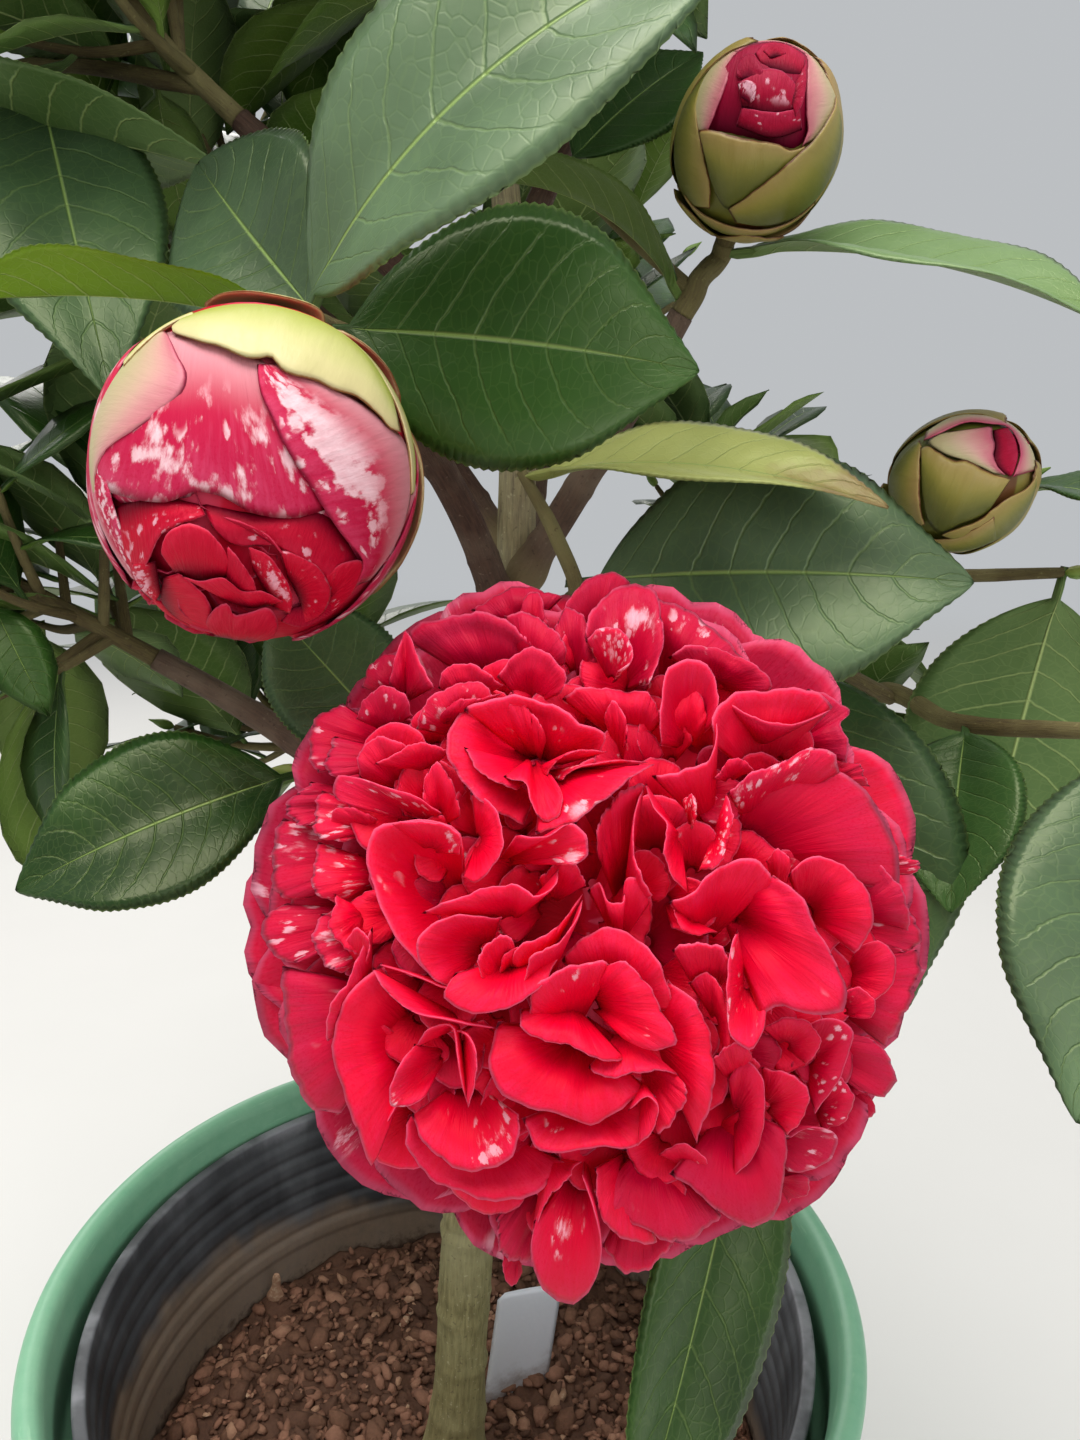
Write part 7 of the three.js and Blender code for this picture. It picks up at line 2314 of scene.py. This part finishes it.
def all_buds() -> list[Bud]:
    """The big bud, which is nearly open, and the two small ones.

    Returns:
        The buds.
    """
    return [
        Bud("big_bud", BUDS["big"], "bud_big", "bud_big", BIG_SCALE, (71.5, 77.0), 0.424,
            laps=((2.0, 0.7, 0.3, 1.72, 1.6), (-2.0, 0.7, 0.3, 1.9, 1.8), (3.1, 0.8, 0.3, 1.6, 1.8))
            + ring_of(4, 0.5, 0.8, 0.1, 0.8, 1.6),
            closed_laps=((1.9, 0.8, 0.9, 2.5, 0.8), (-2.0, 0.8, 0.9, 2.55, 0.9), (3.1, 0.9, 0.9, 2.5, 0.7),
                         (0.7, 0.8, 1.5, 2.4, 0.1), (-0.7, 0.8, 1.5, 2.4, 0.1)),
            scales=(
                (2.2, 1, 0, (40, 17, 60, 8, 86, 5.5, 108, 11, 125, 42), (38.5, 20, 39, 24.5, 47, 27,
                  56, 28.5, 70, 32.3, 76, 31, 79.5, 35, 92, 38.3, 101, 41.5, 109, 43, 118, 49, 124, 54.5,
                  128, 55)),
                (1.6, 0.6, 0, (106, 10, 122, 21, 134, 41, 138.5, 60, 136, 80), (100, 9, 113, 21, 121, 33,
                  127.5, 47, 132, 62, 134, 80)),
                (2.4, 0.5, 0, (44, 9, 32, 14, 22, 24, 17, 34), (46, 14, 36, 19, 26, 29, 19, 37)),
            ),
            skins=(
                (0.9, 0.5, 0, (33, 21, 20, 34, 10, 50, 5.5, 62, 6, 76, 10, 90), (37, 25, 41, 33, 45, 41,
                  43, 47, 35, 55, 26, 62, 15, 71, 10.5, 78)),
            ),
            petals=(
                (0.6, 0.5, (0.78, 1.0, 0.8, -0.3, 0.8), (28, 26, 45, 24, 60, 26, 76, 33), (11, 75, 12, 84,
                  19, 87, 28, 88.5, 40, 88, 46, 84.5, 56, 85, 70, 91, 84, 92, 99, 88)),
                (1.2, 0.6, (0.6, 1.7, 0.5, -0.25, 0.6), (78, 33, 100, 40, 120, 50, 133, 64, 134, 82,
                  129, 98, 117, 116), (71, 34, 71.5, 42, 77, 55, 84, 68, 91, 78, 98, 88, 108, 101,
                  114, 108, 111, 118)),
                (0.4, 0.3, 0.9, (6, 74, 8, 90, 14, 106, 24, 122), (14, 74, 17, 88, 20, 98, 26, 112)),
            ),
            folds=(
                (1.4, 1, 0.6, (18, 92, 26, 88, 38, 87, 50, 89), (22, 113, 26, 118, 31, 110, 35, 102,
                  42, 97, 52, 93)),
                (1.2, 1, 0.5, (50, 88, 70, 91, 98, 89, 113, 108), (54, 97, 62, 104, 72, 104, 80, 104,
                  90, 110, 100, 116, 110, 118)),
                (2.8, 1.5, 0, (40, 116, 50, 119, 60, 117), (35, 109, 37, 101, 43, 97, 50, 97.5, 57, 103,
                  61, 110)),
                (2.2, 1, 0, (36, 118, 34, 126, 36, 135), (42, 116, 48, 121, 54, 129, 55, 136, 52, 144)),
                (4.2, 2, 0, (56, 147, 64, 151, 72, 152), (53, 142, 52, 135, 56, 129, 60, 127, 63, 132,
                  70, 130.5, 76, 128.5, 80, 133, 79.5, 141, 75, 148)),
                (3.2, 1, 0, (62, 127, 70, 129, 78, 127), (42, 117, 50, 119, 58, 117, 66, 122, 74, 122,
                  82, 126)),
                (2.8, 0.8, 0.2, (60, 120, 68, 126), (60, 104, 65, 110, 70, 117, 72, 124)),
                (2.4, 0.8, (0.6, 1.3, 0.6, 0, 0.7), (70, 113, 78, 128), (68, 104, 75, 107, 82, 115,
                  86, 123, 85, 131)),
                (2.2, 0.8, (0.6, 1.3, 0.6, 0, 0.8), (33, 112, 35, 124), (24.5, 113, 24, 119, 27, 126,
                  32, 129)),
                (1.4, 0.8, 0.1, (36, 128, 42, 136, 52, 140), (30, 128, 32, 137, 40, 144, 52, 148.5)),
                (1.8, 0.8, 0.6, (84, 116, 90, 128), (80, 105, 88, 107, 97, 112, 101, 120, 98, 130,
                  90, 135)),
                (1.4, 0.8, 0.5, (100, 124, 94, 130), (98, 115, 106, 109, 113.5, 108, 112, 117, 105, 127,
                  98, 132)),
                (1.2, 0.6, 0.2, (86, 128, 98, 125), (81, 134, 90, 136.5, 100, 132, 107, 125)),
                (2.0, 0.5, 0.3, (70, 98, 80, 104), (58, 93, 66, 95, 75, 99, 82, 107)),
            ),
            crumple=(34, 2.3, 0.5), seed=3, tip_finish=CRUMPLED),
        Bud("upper_bud", BUDS["upper"], "bud_upper", "bud_small", SMALL_SCALE, (71.0, 78.0), 0.277,
            laps=small_laps((1.0, 1.2, 0.9), 0.4),
            scales=(
                (1.0, 0.5, 0, (37, 27, 18, 44, 8, 66, 6, 85, 10, 102, 22, 118), (27, 44, 27, 58, 30, 74,
                  34, 90, 37, 105, 36, 120)),
                (1.85, 0.5, 0, (37, 98, 42, 112, 49, 121, 62, 117, 78, 108, 100, 92), (28, 67, 38, 67.5,
                  47, 69.5, 58, 73, 72, 76, 86, 80, 97, 85, 107, 83)),
                (2.1, 0.5, 0, (56, 131, 75, 135, 100, 132, 118, 123, 132, 105, 137, 85, 134, 66), (50, 121,
                  60, 116, 74, 107, 90, 97, 103, 87, 113, 79, 124, 63, 129, 51)),
                (2.6, 0.3, 0, (34, 138, 60, 149, 85, 150, 108, 141, 124, 126), (12, 108, 24, 119, 40, 128,
                  60, 135.5, 80, 137.5, 104, 133, 122, 122, 134, 103)),
            ),
            skins=(
                (0.9, 0.3, 0, (52, 13, 38, 24, 28, 42, 26, 60, 28, 67), (57, 19, 52, 30, 46, 45, 40, 58,
                  35, 67.5)),
                (0.9, 0.3, 0, (112, 20, 124, 38, 131, 52, 124, 66, 113, 79), (105.5, 20, 106, 40,
                  106.5, 60, 107.5, 74, 104, 83)),
                (0.8, 0.2, 0, (48, 15, 72, 6, 95, 8.5, 113, 20), (57, 19, 75, 11, 93, 12.5, 105.5, 22)),
            ),
            folds=(
                (1.55, 0.1, 0.3, (28, 69, 45, 71, 60, 76, 85, 83, 100, 87, 109, 80), (48, 26, 60, 15,
                  76, 10.5, 94, 13, 107, 24)),
                (1.9, 1.2, (0.3, 1.2, 0.3, 0.2, 0.8), (60, 54, 80, 62, 100, 60), (57, 39, 65, 34, 78, 31,
                  90, 34, 98, 42, 102, 52)),
                (2.0, 0.8, 0, (74, 29, 88, 35, 103, 38), (69, 21, 77, 13, 86, 12, 96, 17, 105, 28)),
                (2.6, 0.5, 0, (80, 25, 86, 24), (75, 20, 82, 15, 89, 18, 91, 23)),
                (2.2, 0.8, 0, (60, 36, 70, 37), (56, 34, 58, 24, 66, 20, 73, 28, 76, 34)),
                (2.6, 0.5, 1.2, (60, 48, 66, 52), (57, 39, 64, 37, 70, 40, 69, 50)),
                (2.3, 0.8, 0.4, (96, 54, 96, 46), (99, 63, 104, 54, 106, 44, 105, 30)),
                (1.8, 0.8, 0.5, (56, 66, 85, 76, 104, 72), (60, 54, 72, 57, 88, 59, 102, 58)),
            ),
            crumple=(8, 2.6, 0.2), seed=4),
        Bud("side_bud", BUDS["side"], "bud_side", "bud_small", SMALL_SCALE, (78.0, 71.2), 0.231,
            laps=small_laps((0.9, 1.0, 0.9), 0.7),
            scales=(
                (1.5, 0.5, 0, (43, 60, 44, 85, 50, 108, 60, 118, 76, 111, 92, 105, 103, 99), (41, 35,
                  48, 34, 58, 41, 71, 49.5, 82, 49.5, 95, 57, 108, 64, 122, 70)),
                (1.1, 0.4, 0, (40, 28, 22, 44, 10, 62, 8, 84, 16, 102, 30, 113), (42, 33, 41, 50, 40.5, 70,
                  42, 90, 46, 108)),
                (2.0, 0.5, 0, (78, 126, 100, 131, 124, 121, 140, 98, 148, 75), (60, 119, 80, 112, 98, 104,
                  104, 98, 118, 88, 134, 80, 147, 66)),
                (2.4, 0.3, 0, (30, 122, 48, 133, 70, 137, 95, 134, 112, 126), (9, 90, 20, 105, 36, 116,
                  52, 122, 75, 121, 95, 112, 108, 104)),
            ),
            skins=(
                (0.7, 0.3, 0, (58, 23, 48, 30, 58, 40, 78, 49, 96, 57, 108, 64), (104, 20, 105, 28,
                  107.5, 38, 106.5, 48, 109, 56, 117, 66)),
                (1.2, 0.2, 0, (46, 21, 70, 8, 95, 6.5, 120, 13, 134, 26, 144, 44, 148, 62), (44, 29,
                  64, 21, 83, 15, 102, 18, 118, 21, 126, 33, 129, 47, 126, 60, 123, 68)),
            ),
            folds=(
                (0.5, 0.2, 0, (105, 24, 107, 40, 106, 52, 113, 62, 121, 67), (118, 22, 125, 34, 127.5, 48,
                  125, 60, 122, 67)),
            ),
            crumple=(5, 2.75, 0.1), seed=5),
    ]


# Pots, mix and tag


@dataclass
class OuterPot:
    """The outer pot: a tapered tub with a collar, a rolled lip and drain notches round its foot."""

    height: float = 240
    lip: float = 130
    foot: float = 95
    neck: float = 119
    wall: float = 3
    floor: float = 6
    collar_low: float = 206
    collar: float = 126
    sides: int = 200
    drains: int = 8
    drain_low: float = 9.5
    drain_high: float = 18.5
    drain_columns: int = 7

    def wall_radius(self, z: float) -> float:
        """Radius of the outer face of the tapered wall at a height."""
        return self.foot + (self.neck - self.foot) * (z - 3) / (self.collar_low - 3)

    def build(self) -> list[bpy.types.Object]:
        """Turns the wall's section and opens the notches through it.

        Returns:
            The piece.
        """
        low, high = self.drain_low, self.drain_high
        outer, inner = self.wall_radius, lambda z: self.wall_radius(z) - self.wall
        lip, top = self.lip, self.height
        corners = np.array([
            (self.foot - 3, 0), (self.foot, 3), (outer(low), low), (outer(high), high),
            (self.neck, self.collar_low), (self.collar - 2, self.collar_low + 2), (self.collar, top - 9),
            (lip - 1, top - 7), (lip, top - 4), (lip - 1.2, top - 1.2), (lip - 3.6, top),
            (lip - 6.6, top - 1), (lip - 8.4, top - 4), (lip - 10, top - 12),
            (self.collar - self.wall - 3, self.collar_low + 4),
            (self.neck - self.wall, self.collar_low - 2), (inner(high), high), (inner(low), low),
            (self.foot - self.wall, self.floor)])
        upper = rounded(corners[3:17], 2.4)
        profile = np.concatenate([[(0, 0)], rounded(corners[:3], 1.2), upper, corners[17:],
                                  [(0, self.floor)]])
        skin = Skin()
        notched = {"out_low": corners[2], "out_high": corners[3],
                   "in_high": corners[16], "in_low": corners[17]}
        rows = {label: int(np.flatnonzero(np.all(np.isclose(profile, point), 1))[0])
                for label, point in notched.items()}
        holes = np.zeros((len(profile) - 1, self.sides), bool)
        step = self.sides // self.drains
        bridges = []
        for k in range(self.drains):
            first = k * step + (step - self.drain_columns) // 2
            columns = np.arange(first, first + self.drain_columns)
            holes[rows["out_low"], columns] = True
            holes[rows["in_high"], columns] = True
            for a, b in ((rows["in_low"], rows["out_low"]), (rows["out_high"], rows["in_high"])):
                corner = ((a, columns), (b, columns), (b, columns + 1), (a, columns + 1))
                bridges.append(np.stack([np.stack([np.full_like(columns, r), c], -1) for r, c in corner],
                                        1)[:, ::-1])
            for column, order in ((first, 1), (first + self.drain_columns, -1)):
                loop = [(rows["out_low"], column), (rows["in_low"], column), (rows["in_high"], column),
                        (rows["out_high"], column)]
                bridges.append(np.array([loop[::order]]))
        add_lathed(skin, profile, self.sides, holes=holes, bridges=bridges)
        return [skin.piece("outer_pot_shell", [POT_PLASTIC], "outer_pot", ["outer_pot"])]


@dataclass
class Liner:
    """The liner: a thin nursery pot with ribs round the inside of its upper wall."""

    foot: float = 6.3
    top: float = 228
    top_radius: float = 114
    foot_radius: float = 87
    wall: float = 1.6
    lip: float = 2.4
    shift: float = 3
    ribs: int = 6
    pitch: float = 8
    depth: float = 1
    rib_top: float = 222
    sides: int = 192

    def radius(self, z: float) -> float:
        """Radius of the outer face at a height."""
        return self.foot_radius + (self.top_radius - self.foot_radius) * (z - 6) / (self.top - 6)

    def build(self) -> list[bpy.types.Object]:
        """Turns the liner's section.

        Returns:
            The piece.
        """
        edge = self.top_radius + self.lip
        corners = [(self.radius(self.foot), self.foot), (self.radius(self.top - 5), self.top - 5),
                   (edge, self.top - 3), (edge, self.top), (self.radius(self.top) - self.wall, self.top)]
        for k in range(self.ribs):
            z = self.rib_top - k * self.pitch
            corners.append((self.radius(z) - self.wall, z))
            corners.append((self.radius(z - 2) - self.wall - self.depth, z - 2.2))
            corners.append((self.radius(z - 5) - self.wall - self.depth, z - 5.8))
        lowest = self.rib_top - self.ribs * self.pitch
        corners += [(self.radius(lowest) - self.wall, lowest),
                    (self.radius(self.foot) - self.wall, self.foot + self.wall), (0, self.foot + self.wall)]
        profile = np.concatenate([[(0, self.foot)], rounded(np.array(corners, float), 0.9)])
        skin = Skin()
        add_lathed(skin, profile, self.sides, (0, self.shift))
        return [skin.piece("liner_shell", [LINER_PLASTIC], "inner_pot", ["inner_pot"])]

    def inner_radius(self, z: float) -> float:
        """Radius of the inner face at a height."""
        return self.radius(z) - self.wall


@dataclass
class PottingMix:
    """The mix: a lumpy surface under loose bark crumbs of every size, and one pale chip that stands up."""

    top: float = MIX_TOP
    edge_drop: float = 5
    lump: float = 2.6
    shift: float = 3
    crumbs: int = 4200
    crumb_sizes: tuple[float, float] = (0.8, 6.5)
    body_sunk: float = 0.8
    base_share: float = 0.87
    base_height: float = 10.0
    level_ring: tuple[float, float] = (17, 40)
    falling_ring: tuple[float, float] = (60, 108)
    seed: int = 31
    chip_at: tuple[float, float] = (-77, 66)

    def height(self, x: Array, y: Array) -> Array:
        """Height of the surface: level round the trunk's foot, lumpy further out and lower at the wall."""
        away = np.hypot(x - TRUNK[0][0], y - TRUNK[0][1])
        lumps = np.sin(x * 0.11 + 1.3) * np.cos(y * 0.13) + 0.6 * np.sin(x * 0.23 - y * 0.19)
        drop = smooth(*self.falling_ring, np.hypot(x, y)) * self.edge_drop
        return self.top + smooth(*self.level_ring, away) * lumps * self.lump - drop

    def ground(self, skin: Skin, wall: float) -> None:
        """Adds the closed body of the mix: its rough top, its side and its flat underside."""
        sides, rings = 150, 60
        angle = evenly_round(sides)
        share = np.linspace(0, 1, rings)[1:, None]
        x, y = share * wall * np.cos(angle), share * wall * np.sin(angle) + self.shift * share
        grain = sum(a * np.sin(x * f + y * g + p) for a, f, g, p in (
            (0.7, 0.9, 0.35, 0), (0.6, -0.5, 1.1, 2), (0.4, 1.7, 1.3, 4), (0.35, -1.9, 0.8, 1)))
        z = self.height(x, y) + grain * smooth(12, 20, np.hypot(x, y + 4)) - self.body_sunk
        top = np.stack([x, y, z], -1)
        low = np.stack([x[-1] * self.base_share, (y[-1] - self.shift) * self.base_share + self.shift,
                        np.full(sides, self.base_height)], -1)
        points = np.concatenate([top, low[None]])
        wrapped = wrapped_numbers(rings, sides)
        n = rings * sides
        middle = self.height(np.array(0.0), np.array(0.0)) - self.body_sunk
        centre = np.array([[0, 0, middle], [0, self.shift, self.base_height]])
        flat = np.concatenate([points.reshape(-1, 3), centre])
        faces = [grid_faces(wrapped), fan(n, wrapped[0, ::-1]), fan(n + 1, wrapped[-1])]
        skin.add(flat, [(corners, 0) for corners in faces], flat[:, :2] * 0.01, 0.12)

    def scatter(self, skin: Skin, wall: float) -> None:
        """Adds the crumbs: icosahedra with jittered corners, flattened, turned at random and half sunk."""
        rng = np.random.default_rng(self.seed)
        golden = (1 + math.sqrt(5)) / 2
        corners = unit(np.array([(s, t * golden, 0) for s in (-1, 1) for t in (-1, 1)]
                                + [(0, s, t * golden) for s in (-1, 1) for t in (-1, 1)]
                                + [(t * golden, 0, s) for s in (-1, 1) for t in (-1, 1)], float))
        near = np.linalg.norm(corners[:, None] - corners, axis=2) < 1.1
        faces = np.array([(a, b, c) for a in range(12) for b in range(a + 1, 12) for c in range(b + 1, 12)
                          if near[a, b] and near[b, c] and near[a, c]])
        a, b, c = (corners[faces[:, k]] for k in range(3))
        out = np.einsum("ij,ij->i", np.cross(b - a, c - a), a)
        faces[out < 0] = faces[out < 0][:, ::-1]
        n = self.crumbs
        reach = (wall - 2) * np.sqrt(rng.uniform(0, 1, n))
        angle = rng.uniform(0, math.tau, n)
        size = np.clip(rng.lognormal(0.62, 0.42, n), *self.crumb_sizes)
        x, y = reach * np.cos(angle), reach * np.sin(angle) + self.shift
        away = np.hypot(x - TRUNK[0][0], y - TRUNK[0][1])
        keep = (away > 13 + size) & (reach + size < wall)
        x, y, size, n = x[keep], y[keep], size[keep], int(keep.sum())
        spans = ((0.8, 1.5), (0.6, 1.0), (0.3, 0.65))
        stretch = np.stack([rng.uniform(least, most, n) for least, most in spans], -1)
        shape = corners[None] * (size[:, None] * stretch)[:, None] * rng.uniform(0.75, 1.2, (n, 12, 1))
        spin, tip = rng.uniform(0, math.tau, n), rng.normal(0, 0.5, (n, 2))
        ahead = unit(np.stack([np.cos(spin), np.sin(spin), tip[:, 0]], -1))
        up = unit(np.cross(ahead, np.stack([-np.sin(spin), np.cos(spin), tip[:, 1]], -1)))
        turned = (ahead[:, None] * shape[..., :1] + np.cross(up, ahead)[:, None] * shape[..., 1:2]
                  + up[:, None] * shape[..., 2:])
        at = np.stack([x, y, self.height(x, y) + size * 0.22 - 0.3], -1)
        points = (at[:, None] + turned).reshape(-1, 3)
        numbers = (faces[None] + 12 * np.arange(n)[:, None, None]).reshape(-1, 3)
        tone = np.repeat(np.clip(rng.beta(1.6, 2.2, n) + (rng.uniform(0, 1, n) > 0.97) * 0.5, 0, 1), 12)
        skin.add(points, [(numbers, 0)], points[:, :2] * 0.01, tone)

    def chip(self, skin: Skin) -> None:
        """Adds the pale chip: a thin wedge on end, broader at its foot."""
        x, y = self.chip_at
        s = np.linspace(0, 1, 9)
        z = self.height(np.array(x, float), np.array(y, float)) - 2 + 15 * s
        radius = 3.6 * (1 - 0.75 * s) + 0.4 * np.sin(9 * s)
        line = np.stack([x + 2 * s, y - 3 * s, z, radius], -1)
        relief = np.outer(radius, -0.55 * np.abs(np.sin(evenly_round(14))))
        add_tube(skin, line, 14, relief, tone=1.0)

    def build(self, liner: Liner) -> list[bpy.types.Object]:
        """Makes the mix inside a liner.

        Args:
            liner: The liner, whose wall it reaches.

        Returns:
            The piece.
        """
        skin = Skin()
        wall = liner.inner_radius(self.top - self.edge_drop - 4) - 0.5
        self.ground(skin, wall)
        self.scatter(skin, wall)
        self.chip(skin)
        return [skin.piece("potting_mix_crumbs", [CRUMBS], "potting_mix", ["potting_mix"])]


@dataclass
class PlantTag:
    """A plain white card stuck in the mix behind the trunk, a little bowed."""

    width: float = 24
    height: float = 58
    thick: float = 0.9
    foot: float = 14
    at: tuple[float, float] = (19, 20)
    turn: float = 0.35
    lean: float = 0.12
    bow: float = 0.5
    corner: float = 2.5

    def build(self) -> list[bpy.types.Object]:
        """Makes the card: a sheet bowed by b (1 - u^2), leaned about Y and turned about Z.

        Returns:
            The piece.
        """
        s = np.linspace(0, 1, 24)[:, None]
        u = np.linspace(-1, 1, 15)[None]
        corner = self.corner
        z = s * self.height
        nearest = np.clip(corner - np.minimum(z, self.height - z), 0, corner)
        half = self.width / 2 - corner + np.sqrt(corner**2 - nearest**2)
        x, z = np.broadcast_arrays(u * half, z)
        y = self.bow * (1 - u * u) + 0 * z
        lean_x = x * math.cos(self.lean) + z * math.sin(self.lean)
        lean_z = z * math.cos(self.lean) - x * math.sin(self.lean)
        points = np.stack([
            lean_x * math.cos(self.turn) - y * math.sin(self.turn) + self.at[0],
            lean_x * math.sin(self.turn) + y * math.cos(self.turn) + self.at[1],
            lean_z + MIX_TOP - self.foot], -1)
        skin = Skin()
        add_sheet(skin, points[:, ::-1], self.thick / 2, self.thick / 2, grid_uv(s, u))
        return [skin.piece("white_tag", [CARD], "plant_tag", ["plant_tag"])]


# The studio


@dataclass
class Studio:
    """Camera, lights, floor and air round the plant, in metres."""

    roll: float = 0.8
    lens: float = 27.05
    sensor: float = 36.0
    nearest: float = 0.01
    farthest: float = 60.0
    floor_radius: float = 14.0
    floor_sides: int = 96
    lights: tuple = (
        ("sky_panel", (-0.25, -0.35, 2.1), (0.0, 0.05, 0.4), 1.5, 44.0, (1.0, 0.985, 0.96)),
        ("front_fill", (0.9, -1.9, 1.15), (0.02, 0.0, 0.4), 1.2, 10.0, (0.93, 0.97, 1.0)),
        ("back_rim", (-0.8, 1.7, 1.5), (0.0, 0.0, 0.5), 1.1, 14.0, (1.0, 0.98, 0.95)),
    )

    def camera(self) -> None:
        """The camera, tipped down by the pitch and rolled a little."""
        pitch, roll = math.radians(EYE_PITCH), math.radians(self.roll)
        ahead = np.array([0, math.cos(pitch), -math.sin(pitch)])
        level = np.array([1.0, 0, 0])
        right = level * math.cos(roll) + np.cross(level, ahead) * math.sin(roll)
        up = np.cross(right, ahead)
        data = bpy.data.cameras.new("view")
        data.lens, data.sensor_width = self.lens, self.sensor
        data.clip_start, data.clip_end = self.nearest, self.farthest
        made = bpy.data.objects.new("view", data)
        turn = np.stack([right, up, -ahead], 1)
        made.matrix_world = Matrix.Translation(vec(EYE) * MM) @ Matrix(turn.tolist()).to_4x4()
        bpy.context.scene.collection.objects.link(made)
        bpy.context.scene.camera = made

    def light(self, name: str, at: tuple, aim: tuple, size: float, power: float, colour: tuple) -> None:
        """Adds one soft square light that looks at a point.

        Args:
            name: Its name.
            at: Where it stands.
            aim: What it looks at.
            size: The length of its side.
            power: Its power in watts.
            colour: Its colour.
        """
        data = bpy.data.lights.new(name, "AREA")
        data.shape, data.size, data.energy, data.color = "SQUARE", size, power, colour
        made = bpy.data.objects.new(name, data)
        back = unit(np.array(at, float) - np.array(aim, float))
        across, third = frame_at(back)
        turn = np.stack([-third, across, back], 1)
        made.matrix_world = Matrix.Translation(at) @ Matrix(turn.tolist()).to_4x4()
        bpy.context.scene.collection.objects.link(made)

    def floor(self) -> None:
        """A round pale floor, wide enough for every view."""
        angle = evenly_round(self.floor_sides)
        rim = np.stack([np.cos(angle), np.sin(angle), np.zeros_like(angle)], -1) * self.floor_radius
        mesh = bpy.data.meshes.new("floor")
        mesh.from_pydata(rim.tolist(), [], [tuple(range(self.floor_sides))])
        mesh.materials.append(FLOOR.material())
        made = bpy.data.objects.new("floor", mesh)
        bpy.context.scene.collection.objects.link(made)

    def surroundings(self) -> None:
        """Even pale air, and colours shown as they are."""
        world = bpy.data.worlds.new("air")
        world.use_nodes = True
        ground = world.node_tree.nodes["Background"]
        ground.inputs["Color"].default_value = AIR
        ground.inputs["Strength"].default_value = AIR_STRENGTH
        bpy.context.scene.world = world
        bpy.context.scene.view_settings.view_transform = "Standard"

    def build(self) -> None:
        """Sets up the camera, the lights, the floor and the air."""
        self.camera()
        for light in self.lights:
            self.light(*light)
        self.floor()
        self.surroundings()


def main() -> None:
    logging.basicConfig(level=logging.INFO, format="%(name)s: %(message)s", stream=sys.stdout)
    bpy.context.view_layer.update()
    Studio().build()
    OuterPot().build()
    liner = Liner()
    liner.build()
    PottingMix().build(liner)
    PlantTag().build()
    Framework().build()
    Crown().build()
    Bloom().build()
    for bud in all_buds():
        bud.build()
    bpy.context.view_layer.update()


if __name__ == "__main__":
    main()
